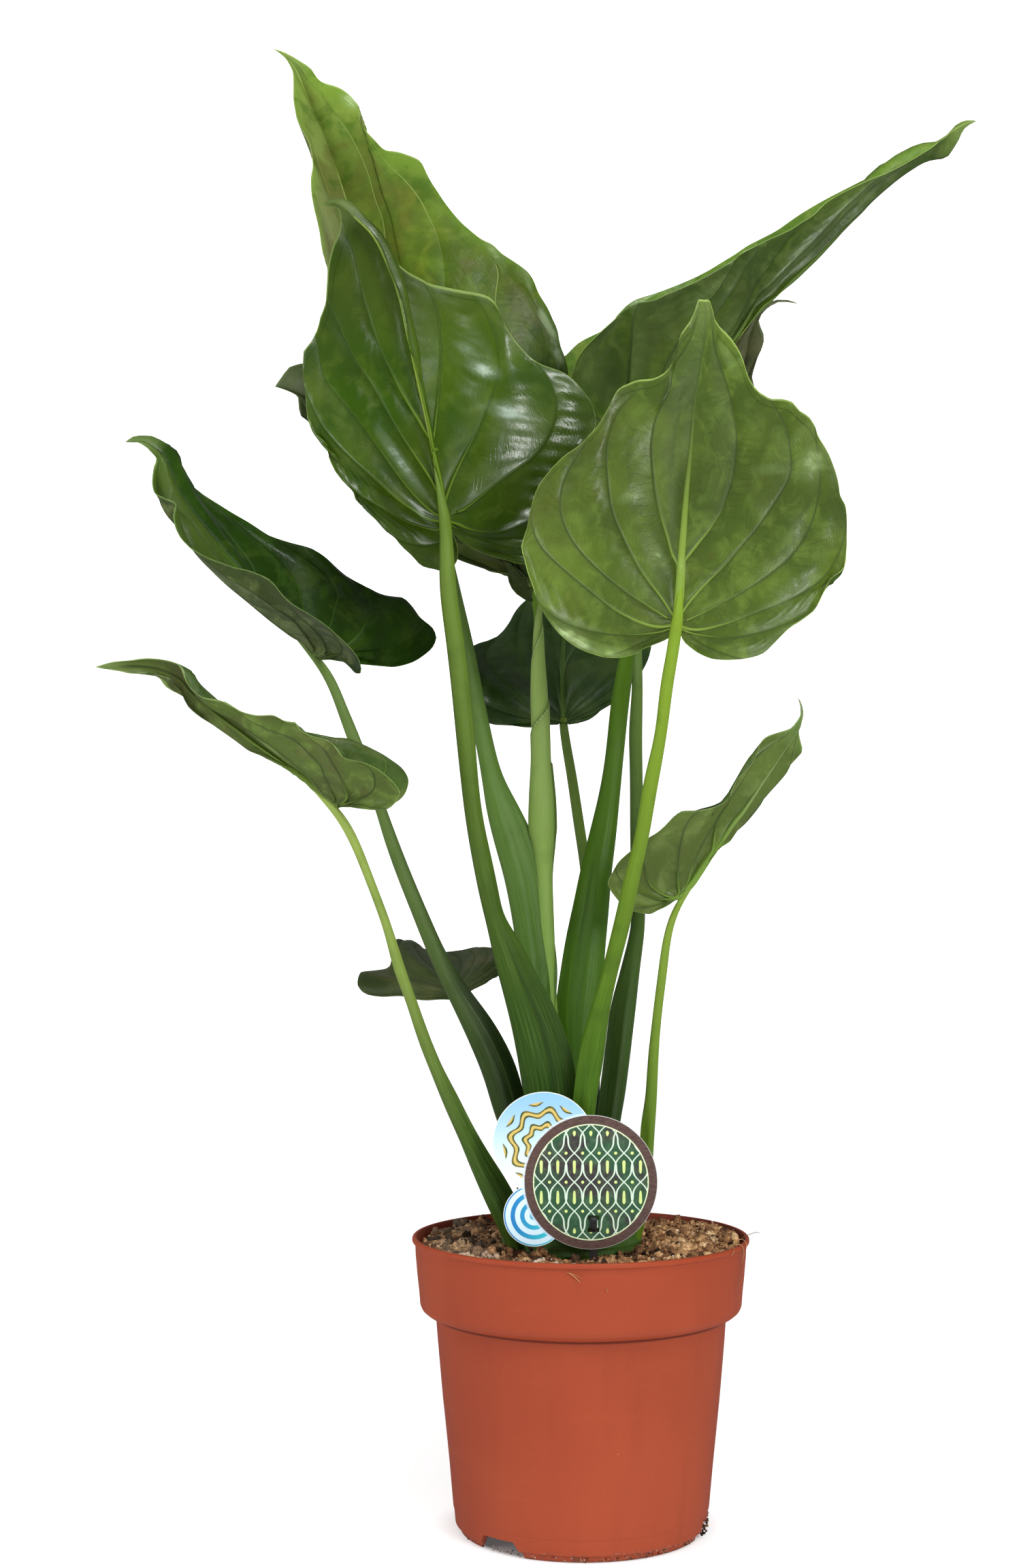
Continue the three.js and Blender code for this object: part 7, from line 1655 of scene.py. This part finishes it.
    # fibres
    def fibre(x, y, length, rad, tone, up=0.3, sweep=1.0, z_add=0.0, thing=0):
        k, m = 9, 4
        a = rng.uniform(0, 2 * np.pi)
        pts = [np.array([x, y, soil_height(np.array([x]), np.array([y]))[0] + 0.2 + z_add])]
        d = np.array([math.cos(a), math.sin(a), up * rng.uniform(-0.3, 1.0)])
        bend = rng.normal(0, 0.28 * sweep, 3)
        for _ in range(k - 1):
            d = d / np.linalg.norm(d)
            pts.append(pts[-1] + d * length / (k - 1))
            d = d + bend + rng.normal(0, 0.16, 3) + np.array([0, 0, -0.10])
        pts = np.array(pts)
        rr = np.hypot(pts[:, 0], pts[:, 1])
        lim = 90.5
        kk = np.minimum(1, lim / np.maximum(rr, 1e-6))
        pts[:, :2] *= kk[:, None]
        g = soil_height(pts[:, 0], pts[:, 1]) - 0.15
        pts[:, 2] = np.minimum(np.maximum(pts[:, 2], g), g + 0.4 + 3.2 * max(up, 0.2))
        T, e1, e2 = frames(pts + rng.normal(0, 1e-3, pts.shape))
        th = np.linspace(0, 2 * np.pi, m, endpoint=False)
        w = rad * np.interp(np.linspace(0, 1, k), [0, .15, .8, 1], [.5, 1, .9, .25])
        V = pts[:, None] + e1[:, None] * (np.cos(th)[None] * w[:, None])[..., None] + e2[:, None] * (np.sin(th)[None] * w[:, None])[..., None]
        parts.append((V.reshape(-1, 3), tube_faces(k, m), dict(tone=np.full(k * m, tone), pale=np.full(k * m, 0.0)), 1))
    for i in range(620):
        x, y = spot()
        if rng.random() < 0.35:
            x = abs(x)
        if np.hypot(x, y) > 86:
            continue
        fibre(x, y, rng.uniform(4, 15), rng.uniform(0.10, 0.30), np.clip(rng.normal(0.6, 0.25), 0, 1))
    for i in range(60):
        x, y = spot()
        fibre(x, y, rng.uniform(12, 24), rng.uniform(0.14, 0.36), np.clip(rng.normal(0.5, 0.3), 0, 1), up=0.8)
    V, F, at, fm = join_meshes(parts)
    V = V + (POT_X, POT_Y, 0)
    m = Nodes("peat_skin")
    c = m.coords()
    tone, pale = m.attr("tone"), m.attr("pale")
    n1 = m.noise(c, 260, 4.0, 0.65)
    n2 = m.noise(c, 900, 3.0, 0.6)
    n3 = m.noise(c, 45, 2.0)
    f = m.math("ADD", m.math("MULTIPLY", tone, 0.75), m.math("MULTIPLY", m.math("SUBTRACT", n1, 0.5), 1.1))
    f = m.math("ADD", f, m.math("MULTIPLY", m.math("SUBTRACT", n3, 0.5), 0.6))
    col = m.ramp(f, [(0.0, lin((34, 25, 19))), (0.22, lin((84, 58, 40))), (0.44, lin((156, 112, 76))), (0.70, lin((222, 176, 124))), (1.0, lin((248, 224, 184)))])
    col = m.mix(m.math("MULTIPLY", m.maprange(n2, 0.42, 0.70), 0.62), col, lin((46, 31, 21)))
    # weathered, greyer on the left
    sx, sy, sz = m.sep(c)
    grey = m.math("MULTIPLY", m.maprange(sx, -0.010, -0.055), m.maprange(n3, 0.35, 0.6))
    col = m.mix(m.math("MULTIPLY", grey, 0.26), col, lin((150, 138, 122)))
    col = m.mix(pale, col, m.mix(n1, lin((226, 216, 202)), lin((184, 168, 152))))
    m.put(m.p.inputs["Base Color"], col)
    m.p.inputs["Roughness"].default_value = 0.92
    m.p.inputs["Specular IOR Level"].default_value = 0.2
    h = m.math("ADD", n1, m.math("MULTIPLY", n2, 0.6))
    m.link(m.bump(h, 0.8, 0.0009), m.p.inputs["Normal"])
    m2 = Nodes("root_fibre_skin")
    c2 = m2.coords()
    t2 = m2.attr("tone")
    g = m2.noise(c2, 500, 3.0)
    col2 = m2.ramp(t2, [(0.0, lin((78, 52, 34))), (0.45, lin((140, 98, 58))), (0.8, lin((188, 142, 90))), (1.0, lin((212, 176, 124)))])
    col2 = m2.mix(m2.math("MULTIPLY", g, 0.5), col2, lin((96, 64, 40)))
    m2.put(m2.p.inputs["Base Color"], col2)
    m2.p.inputs["Roughness"].default_value = 0.7
    m2.link(m2.bump(g, 0.4, 0.0004), m2.p.inputs["Normal"])
    o = mesh_object("soil_peat", V, F, at, [m.mat, m2.mat], fm)
    done(o, "soil")
    return m, m2


soil_mat, fibre_mat = build_soil()


def pot_litter():
    """Peat crumbs caught on the pot's foot ledge and in a notch, and a few fibres over the rim."""
    rng = np.random.default_rng(23)
    parts = []
    for i in range(150):
        a = math.radians(rng.uniform(-62, 60)) if i < 110 else rng.uniform(0, 2 * np.pi)
        # on the ledge of the foot
        if i % 3 == 0:
            r, z, s = 69.8, 3.75, rng.uniform(0.20, 0.55)
        else:
            r, z, s = 68.4, rng.uniform(0.4, 3.0), rng.uniform(0.20, 0.60)
        S = rng.normal(0, 1, (8, 3))
        S = np.array([(-1, -1, -1), (1, -1, -1), (1, 1, -1), (-1, 1, -1), (-1, -1, 1), (1, -1, 1), (1, 1, 1), (-1, 1, 1)]) * 0.6 + S * 0.12
        S = S * s + (r * math.sin(a), -r * math.cos(a), z)
        S[:, 2] = np.maximum(S[:, 2], 0.02)
        F = [[3, 2, 1, 0], [4, 5, 6, 7], [0, 1, 5, 4], [1, 2, 6, 5], [2, 3, 7, 6], [3, 0, 4, 7]]
        parts.append((S, F, dict(tone=np.full(8, rng.uniform(0.1, 0.9)), pale=np.full(8, float(rng.random() < 0.22) * 0.7)), 0))

    for i in range(70):
        a = math.radians(rng.uniform(70, 88))
        r, z, s = rng.uniform(68.6, 71.4), rng.uniform(0.8, 10.5), rng.uniform(0.35, 0.95)
        S = np.array([(-1, -1, -1), (1, -1, -1), (1, 1, -1), (-1, 1, -1), (-1, -1, 1), (1, -1, 1), (1, 1, 1), (-1, 1, 1)]) * 0.6 + rng.normal(0, 0.12, (8, 3))
        S = S * s + (r * math.sin(a), -r * math.cos(a), z)
        F = [[3, 2, 1, 0], [4, 5, 6, 7], [0, 1, 5, 4], [1, 2, 6, 5], [2, 3, 7, 6], [3, 0, 4, 7]]
        parts.append((S, F, dict(tone=np.full(8, rng.uniform(0.0, 0.35)), pale=np.full(8, float(rng.random() < 0.10) * 0.7)), 0))

    def strand(pts, rad, tone):
        pts = np.array(pts, float)
        f = Curve(arc(pts), pts)
        P = f(np.linspace(0, 1, 24))
        T, e1, e2 = frames(P + rng.normal(0, 1e-4, P.shape))
        th = np.linspace(0, 2 * np.pi, 6, endpoint=False)
        w = rad * np.interp(np.linspace(0, 1, 24), [0, .1, .8, 1], [.6, 1, .9, .3])
        V = P[:, None] + e1[:, None] * (np.cos(th)[None] * w[:, None])[..., None] + e2[:, None] * (np.sin(th)[None] * w[:, None])[..., None]
        parts.append((V.reshape(-1, 3), tube_faces(24, 6), dict(tone=np.full(144, tone), pale=np.zeros(144)), 1))

    def on(a, r, z):
        a = math.radians(a)
        return (r * math.sin(a), -r * math.cos(a), z)
    # hanging over the right of the rim and down the collar
    strand([on(66, 90.5, 164.2), on(66.5, 94.2, 164.3), on(67, 95.6, 161.5), on(66, 95.3, 157), on(68, 94.4, 150), on(65, 94.0, 143), on(63.5, 93.6, 138)], 0.16, 0.3)
    strand([on(63, 91, 163.9), on(64.5, 94.4, 164.6), on(66, 96.2, 162.5), on(67.5, 96.0, 158.4), on(66, 95.3, 154)], 0.22, 0.75)
    strand([on(80, 90, 163.0), on(81, 94, 165.4), on(84, 98.5, 166.2), on(86, 101.5, 165.2)], 0.20, 0.15)
    strand([on(70, 88.5, 163.5), on(72, 93, 165.4), on(71, 95.9, 163.0), on(69.5, 95.8, 159.6)], 0.20, 0.85)
    strand([on(60, 90, 163.2), on(61, 93.8, 164.4), on(59, 95.6, 162.4), on(57, 95.4, 159.6)], 0.17, 0.7)
    # stuck to the collar in front
    strand([on(-5.8, 93.7, 158.6), on(-4.6, 94.4, 157.6), on(-3.4, 94.0, 155.9), on(-1.9, 93.6, 153.3)], 0.20, 0.9)
    strand([on(-6.4, 93.9, 158.9), on(-4.9, 94.3, 158.2), on(-2.6, 94.3, 156.6), on(-1.4, 93.7, 154.8)], 0.13, 0.7)
    strand([on(6.5, 93.2, 150.0), on(6.9, 93.5, 148.8), on(6.7, 93.2, 147.8)], 0.15, 0.6)
    V, F, at, fm = join_meshes(parts)
    o = mesh_object("peat_crumbs_on_pot", V + (POT_X, POT_Y, 0), F, at, [soil_mat.mat, fibre_mat.mat], fm)
    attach(o, "root")


pot_litter()


# ---------------------------------------------------------------------------------------------------------------
# plant label: a glossy card of three joined discs on a black stake
# ---------------------------------------------------------------------------------------------------------------
DISCS = [(4.0, 200.1, 36.3), (-21.6, 221.1, 27.9), (-26.8, 182.0, 16.8)]
LABEL_Y, LABEL_T, STAKE_X, SLOTS = -52.0, 0.8, 5.4, (180.9, 174.3)


def prism(outline, y0, y1, rings=10, centre=(0, 0)):
    """Flat plate from an outline in x, z, star-shaped about a centre, with a fine inner grid and a rounded edge."""
    out = np.array(outline)
    c = np.array(centre)
    n = len(out)
    e = 0.18
    V, F = [], []
    for y, s in ((y0, 1), (y1, -1)):
        base = len(V)
        for q in range(1, rings + 1):
            f = q / rings
            p = c + (out - c) * f
            if q == rings:
                d = out - c
                p = out - d / np.linalg.norm(d, axis=1, keepdims=True) * e
            V += [(a, y, b) for a, b in p]
        V.append((c[0], y, c[1]))
        ctr = len(V) - 1
        for j in range(n):
            k = (j + 1) % n
            f = [ctr, base + j, base + k]
            F.append(f if s < 0 else f[::-1])
            for q in range(rings - 1):
                f = [base + q * n + j, base + (q + 1) * n + j, base + (q + 1) * n + k, base + q * n + k]
                F.append(f if s < 0 else f[::-1])
    # rim
    per = rings * n + 1
    yy = sorted((y0, y1))
    b0 = len(V)
    for y in (y0 + (y1 - y0) * 0.25, y0 + (y1 - y0) * 0.75):
        V += [(a, y, b) for a, b in out]
    r0, r1 = (rings - 1) * n, per + (rings - 1) * n
    loops = [r0, b0, b0 + n, r1]
    for a, b in zip(loops[:-1], loops[1:]):
        for j in range(n):
            k = (j + 1) % n
            F.append([a + j, a + k, b + k, b + j])
    return np.array(V, float), F


def cut_boxes(o, boxes):
    cut = []
    for lo, hi in boxes:
        vs = [(x, y, z) for x in (lo[0], hi[0]) for y in (lo[1], hi[1]) for z in (lo[2], hi[2])]
        fs = [[0, 1, 3, 2], [4, 6, 7, 5], [0, 4, 5, 1], [2, 3, 7, 6], [0, 2, 6, 4], [1, 5, 7, 3]]
        c = mesh_object("cut", vs, fs, None, [], None, False)
        cut.append(c)
        md = o.modifiers.new("cut", "BOOLEAN")
        md.operation = "DIFFERENCE"
        md.solver = "EXACT"
        md.object = c
    dg = bpy.context.evaluated_depsgraph_get()
    me = bpy.data.meshes.new_from_object(o.evaluated_get(dg))
    o.modifiers.clear()
    old = o.data
    o.data = me
    bpy.data.meshes.remove(old)
    for c in cut:
        cm = c.data
        bpy.data.objects.remove(c)
        bpy.data.meshes.remove(cm)


def build_label():
    c = np.array([-12.0, 203.0])
    th = np.linspace(0, 2 * np.pi, 520, endpoint=False)
    out = []
    for t in th:
        d = np.array([math.cos(t), math.sin(t)])
        best = 0
        for x, z, r in DISCS:
            m = np.array([x, z]) - c
            b = m @ d
            q = b * b - (m @ m - r * r)
            if q > 0:
                best = max(best, b + math.sqrt(q))
        out.append(c + d * best)
    yf, yb = LABEL_Y - LABEL_T / 2, LABEL_Y + LABEL_T / 2
    V, F = prism(out, yf + 0.22, yb, 12, c)
    card = mesh_object("plant_label_card", V + (POT_X, POT_Y, 0), F, None, [])
    x, z, r = DISCS[0]
    t2 = np.linspace(0, 2 * np.pi, 240, endpoint=False)
    V, F = prism([(x + r * math.cos(t), z + r * math.sin(t)) for t in t2], yf, yf + 0.35, 8, (x, z))
    front = mesh_object("front_disc", V + (POT_X, POT_Y, 0), F, None, [])
    for o in (card, front):
        bm = bmesh.new(); bm.from_mesh(o.data)
        bmesh.ops.recalc_face_normals(bm, faces=bm.faces)
        bm.to_mesh(o.data); bm.free()
        cut_boxes(o, [((STAKE_X + POT_X - 3.2, POT_Y + LABEL_Y - 3, s - 1.25), (STAKE_X + POT_X + 3.2, POT_Y + LABEL_Y + 3, s + 1.25)) for s in SLOTS])
    m = Nodes("label_print")
    co = m.coords()
    p = m.mapping(co, loc=(-POT_X, 0, 0), scale=(1000, 1000, 1000))
    px, py, pz = m.sep(p)

    def dist(i):
        cx, cz, _ = DISCS[i]
        a, b = m.math("SUBTRACT", px, cx), m.math("SUBTRACT", pz, cz)
        return m.math("SQRT", m.math("ADD", m.math("MULTIPLY", a, a), m.math("MULTIPLY", b, b))), a, b
    d0, a0, b0 = dist(0)
    d1, a1, b1 = dist(1)
    d2, a2, b2 = dist(2)
    white = lin((236, 240, 240))
    # medium disc: a rosette in olive and sand on sky blue
    ang1 = m.math("ARCTAN2", b1, a1)
    pet = m.math("MULTIPLY", d1, m.math("ADD", 1.0, m.math("MULTIPLY", m.math("SINE", m.math("MULTIPLY", ang1, 8)), 0.10)))
    s1 = m.math("SINE", m.math("MULTIPLY", pet, 2 * math.pi / 7.4))
    blue = m.mix(m.maprange(pz, 200, 248), lin((222, 240, 250)), lin((140, 188, 232)))
    c1 = m.mix(m.maprange(s1, -0.1, 0.15), blue, m.mix(m.maprange(m.noise(p, 0.35, 3.0), 0.4, 0.6), lin((118, 108, 44)), lin((62, 78, 34))))
    c1 = m.mix(m.maprange(s1, 0.72, 0.86), c1, lin((206, 182, 104)))
    c1 = m.mix(m.maprange(d1, 22.0, 22.6), c1, blue)
    # small disc: rings of turquoise
    s2 = m.math("SINE", m.math("MULTIPLY", d2, 2 * math.pi / 5.2))
    c2 = m.mix(m.maprange(s2, 0.0, 0.25), lin((214, 238, 250)), m.mix(m.maprange(px, -40, -18), lin((34, 128, 196)), lin((60, 196, 214))))
    # large disc: a lattice in pale green on green and charcoal, a ring of brown round it
    base = m.mix(m.maprange(m.noise(p, 0.055, 2.0), 0.42, 0.58), lin((46, 84, 58)), lin((58, 52, 54)))
    base = m.mix(m.math("MULTIPLY", m.maprange(m.noise(p, 0.3, 4.0), 0.4, 0.8), 0.5), base, lin((92, 120, 88)))
    u = m.math("ADD", a0, m.math("MULTIPLY", b0, 0.55))
    v = m.math("SUBTRACT", a0, m.math("MULTIPLY", b0, 0.55))
    wob = m.math("MULTIPLY", m.math("SINE", m.math("MULTIPLY", b0, 0.42)), 1.2)
    l1 = m.math("ABSOLUTE", m.math("SINE", m.math("MULTIPLY", m.math("ADD", u, wob), math.pi / 9.0)))
    l2 = m.math("ABSOLUTE", m.math("SINE", m.math("MULTIPLY", m.math("SUBTRACT", v, wob), math.pi / 9.0)))
    lat = m.math("MINIMUM", l1, l2)
    base = m.mix(m.maprange(lat, 0.19, 0.11), base, lin((206, 226, 206)))
    cell = m.math("MULTIPLY", l1, l2)
    base = m.mix(m.maprange(cell, 0.90, 0.93), base, lin((208, 224, 140)))
    ring = m.math("SINE", m.math("MULTIPLY", d0, 2.6))
    brown = m.mix(m.maprange(m.noise(m.mapping(p, scale=(1, 1, 6)), 0.35, 4.0), 0.35, 0.7), lin((96, 74, 68)), lin((70, 52, 48)))
    band = m.maprange(d0, 31.3, 31.6)
    base = m.mix(band, base, brown)
    base = m.mix(m.math("MULTIPLY", m.maprange(d0, 30.8, 31.0), m.maprange(d0, 31.6, 31.4)), base, lin((216, 232, 190)))
    c0 = m.mix(m.math("MULTIPLY", m.maprange(d0, 36.0, 36.15), 0.6), base, white)
    haze = m.math("MULTIPLY", m.maprange(d0, 36.3, 36.5), m.maprange(d0, 37.6, 37.0))
    under = m.mix(m.maprange(m.math("SUBTRACT", m.math("SUBTRACT", d1, 27.9), m.math("SUBTRACT", d2, 16.8)), -0.4, 0.4), c1, c2)
    edge = m.math("MINIMUM", m.math("SUBTRACT", d1, 27.9), m.math("SUBTRACT", d2, 16.8))
    under = m.mix(m.maprange(edge, -0.45, -0.3), under, white)
    under = m.mix(m.math("MULTIPLY", haze, 0.8), under, lin((206, 226, 244)))
    col = m.mix(m.maprange(d0, 36.32, 36.28), under, c0)
    # plain card on the back
    col = m.mix(m.maprange(py, LABEL_Y + POT_Y + 0.1, LABEL_Y + POT_Y + 0.2), col, lin((226, 228, 226)))
    m.put(m.p.inputs["Base Color"], col)
    m.put(m.p.inputs["Roughness"], m.math("ADD", 0.30, m.math("MULTIPLY", m.noise(p, 0.6, 3.0), 0.12)))
    m.p.inputs["Specular IOR Level"].default_value = 0.4
    m.link(m.bump(m.noise(p, 1.6, 3.0), 0.05, 0.0004), m.p.inputs["Normal"])
    for o in (card, front):
        o.data.materials.clear()
        o.data.materials.append(m.mat)
        o.data.polygons.foreach_set("use_smooth", np.full(len(o.data.polygons), False))
    bpy.context.view_layer.update()
    bm = bmesh.new()
    bm.from_mesh(card.data)
    bm.from_mesh(front.data)
    # the card bows forward a little towards its left and right edges
    for v in bm.verts:
        q = (v.co.x / MM - POT_X + 9) / 40
        v.co.y += (0.35 * q * q - 0.1) * MM
    bm.to_mesh(card.data); bm.free()
    fd = front.data
    bpy.data.objects.remove(front)
    bpy.data.meshes.remove(fd)
    done(card, "plant_label")


build_label()


def build_stake():
    """Flat black stake: pointed foot in the soil, and a hooked head through the card's slots."""
    yb = LABEL_Y + LABEL_T / 2 + 0.3
    yf = LABEL_Y - LABEL_T / 2 - 0.3
    T = 1.6
    # centre line from the foot up, then forward through the upper slot, down the face and back through the lower one
    path = [(95, yb + 0.8), (110, yb + 0.8), (SLOTS[0] - 2.2, yb + 0.8), (SLOTS[0] - 0.55, yb + 0.5), (SLOTS[0] + 0.05, yb - 0.35), (SLOTS[0] + 0.05, LABEL_Y),
            (SLOTS[0] - 0.1, yf - 0.25), (SLOTS[0] - 0.8, yf - 0.85), (SLOTS[0] - 2.2, yf - 0.95), (SLOTS[1] + 2.0, yf - 0.95), (SLOTS[1] + 0.6, yf - 0.75), (SLOTS[1] + 0.05, yf), (SLOTS[1], LABEL_Y), (SLOTS[1], yb + 0.25)]
    P = np.array([(STAKE_X, y, z) for z, y in path])
    f = Curve(arc(P), P)
    n = 220
    t = np.linspace(0, 1, n)
    C = f(t)
    Tn = np.gradient(C, axis=0)
    Tn /= np.linalg.norm(Tn, axis=1, keepdims=True)
    X = np.tile([1.0, 0, 0], (n, 1))
    N = np.cross(X, Tn)
    L = arc(C) * np.linalg.norm(np.diff(C, axis=0), axis=1).sum()
    wide = np.interp(L, [0, 9, 12, 80, 84, L[-1] - 1.5, L[-1]], [0.5, 1.9, 2.1, 2.1, 1.95, 1.8, 1.5])
    thick = np.interp(L, [0, 9, 78, 84, 88, L[-1]], [0.35, 0.8, 0.8, 0.62, 0.60, 0.5])
    k = 20
    th = np.linspace(0, 2 * np.pi, k, endpoint=False)
    sq = lambda v: np.sign(v) * np.abs(v) ** 0.42
    V = C[:, None] + X[:, None] * (sq(np.cos(th))[None] * wide[:, None])[..., None] + N[:, None] * (sq(np.sin(th))[None] * thick[:, None])[..., None]
    attrs = dict(along=np.repeat(t, k))
    m = Nodes("stake_skin")
    c = m.coords()
    n1 = m.noise(m.mapping(c, scale=(1, 1, 0.15)), 700, 3.0)
    col = m.mix(n1, lin((20, 20, 21)), lin((34, 33, 33)))
    col = m.mix(m.maprange(m.noise(c, 420, 3.0), 0.62, 0.70), col, lin((70, 60, 50)))
    m.put(m.p.inputs["Base Color"], col)
    m.put(m.p.inputs["Roughness"], m.math("ADD", 0.32, m.math("MULTIPLY", n1, 0.2)))
    m.link(m.bump(n1, 0.2, 0.0004), m.p.inputs["Normal"])
    o = mesh_object("label_stake_hooked", V.reshape(-1, 3) + (POT_X, POT_Y, 0), tube_faces(n, k), attrs, [m.mat])
    bm = bmesh.new(); bm.from_mesh(o.data)
    bmesh.ops.recalc_face_normals(bm, faces=bm.faces)
    bm.to_mesh(o.data); bm.free()
    done(o, "label_stake")


build_stake()


# ---------------------------------------------------------------------------------------------------------------
# floor, light, camera
# ---------------------------------------------------------------------------------------------------------------
fm = Nodes("studio_floor")
fx, fy, fz = fm.sep(fm.coords())
fr = fm.math("SQRT", fm.math("ADD", fm.math("MULTIPLY", fx, fx), fm.math("MULTIPLY", fy, fy)))
fm.put(fm.p.inputs["Base Color"], fm.mix(fm.maprange(fr, 0.25, 1.1), (0.55, 0.55, 0.55, 1), (0.30, 0.30, 0.30, 1)))
fm.p.inputs["Roughness"].default_value = 0.9
fm.p.inputs["Specular IOR Level"].default_value = 0.0
fm.p.inputs["Emission Color"].default_value = (1, 1, 1, 1)
# painted shadow: the floor's glow is turned down under and round the pot's foot
pd = fm.math("SQRT", fm.math("ADD", fm.math("POWER", fm.math("SUBTRACT", fx, 0.0101), 2.0), fm.math("POWER", fm.math("ADD", fy, 0.030), 2.0)))
painted_foot_shadow = fm.math("ADD", fm.maprange(pd, 0.0630, 0.0690, 0.10, 0.74), fm.maprange(pd, 0.069, 0.088, 0.0, 0.26))
fm.put(fm.p.inputs["Emission Strength"], fm.math("MULTIPLY", fm.maprange(fr, 0.15, 0.6, 0.78, 1.0), painted_foot_shadow))
ring = [(0.0, 0.0)] + [(r * math.cos(a), r * math.sin(a)) for r in (300, 900, 1800, 3500) for a in np.linspace(0, 2 * math.pi, 64, endpoint=False)]
ff = [[0, 1 + j, 1 + (j + 1) % 64] for j in range(64)]
ff += [[1 + q * 64 + j, 65 + q * 64 + j, 65 + q * 64 + (j + 1) % 64, 1 + q * 64 + (j + 1) % 64] for q in range(3) for j in range(64)]
fl = mesh_object("studio_floor", [(x, y, -0.2) for x, y in ring], ff, None, [fm.mat], None, False)
# a white tent far round the floor: seen by the camera only, so that it doesn't shine on the plant from behind
wm = Nodes("studio_tent")
wm.p.inputs["Base Color"].default_value = (0.8, 0.8, 0.8, 1)
wm.p.inputs["Emission Color"].default_value = (1, 1, 1, 1)
wm.p.inputs["Emission Strength"].default_value = 1.05
tv, tf = lathe([(3480, -1), (3500, 0), (3500, 2500), (2600, 4200), (0.0, 4800)], 64)
tf = [f for f in tf if max(f) - min(f) < 64 * 3]
tent = mesh_object("studio_tent", tv, tf, None, [wm.mat], None, True)
for o in (tent,):
    o.visible_diffuse = o.visible_glossy = o.visible_transmission = o.visible_volume_scatter = o.visible_shadow = False
fl.visible_glossy = False

sc = bpy.context.scene
world = bpy.data.worlds.new("studio")
sc.world = world
world.use_nodes = True
wn = world.node_tree
bg = wn.nodes["Background"]
bg.inputs["Color"].default_value = (1, 1, 1, 1)
bg.inputs["Strength"].default_value = WORLD


def area(name, az, el, dist, size, power, size_y, glint=None):
    """A soft box seen from the plant at this azimuth (right of the camera) and elevation, facing the plant."""
    a, e = math.radians(az), math.radians(el)
    t = Vector((0, 0, 0.48))
    p = t + dist * Vector((math.cos(e) * math.sin(a), -math.cos(e) * math.cos(a), math.sin(e)))
    l = bpy.data.lights.new(name, "AREA")
    l.shape = "RECTANGLE"
    l.size = size
    l.size_y = size_y
    l.energy = power
    o = bpy.data.objects.new(name, l)
    o.location = p
    o.rotation_euler = (t - p).to_track_quat("-Z", "Y").to_euler()
    if glint is not None:
        o.visible_diffuse = not glint
        o.visible_glossy = glint
    sc.collection.objects.link(o)
    return o


area("right_softbox", 34, 16, 2.20, 0.7, 28, 1.0, False)
area("left_softbox", -58, 10, 2.15, 0.6, 17, 1.2, False)
area("top_softbox", 6, 53, 2.20, 1.2, 22, 1.0, False)
area("right_glint", 22, 12, 2.2, 0.34, 9, 0.34, True)
area("left_glint", -62, 10, 2.2, 0.26, 7, 0.6, True)
area("top_glint", 14, 38, 2.2, 0.45, 11, 0.35, True)
area("sheen", 4, 60, 2.3, 1.6, 5, 0.8, True)

cam = bpy.data.cameras.new("camera")
cam.sensor_fit = "VERTICAL"
cam.sensor_height = 36.0
cam.sensor_width = 36.0
cam.lens = 52.13
cam.clip_start = 0.05
co = bpy.data.objects.new("camera", cam)
co.location = (-0.02963, -1.3246, 0.3711)
co.rotation_euler = (math.pi / 2 + 0.0368, 0, 0)
sc.collection.objects.link(co)
sc.camera = co
sc.view_settings.view_transform = "Standard"
sc.view_settings.look = "None"
sc.view_settings.exposure = 0.0
sc.view_settings.gamma = 1.0
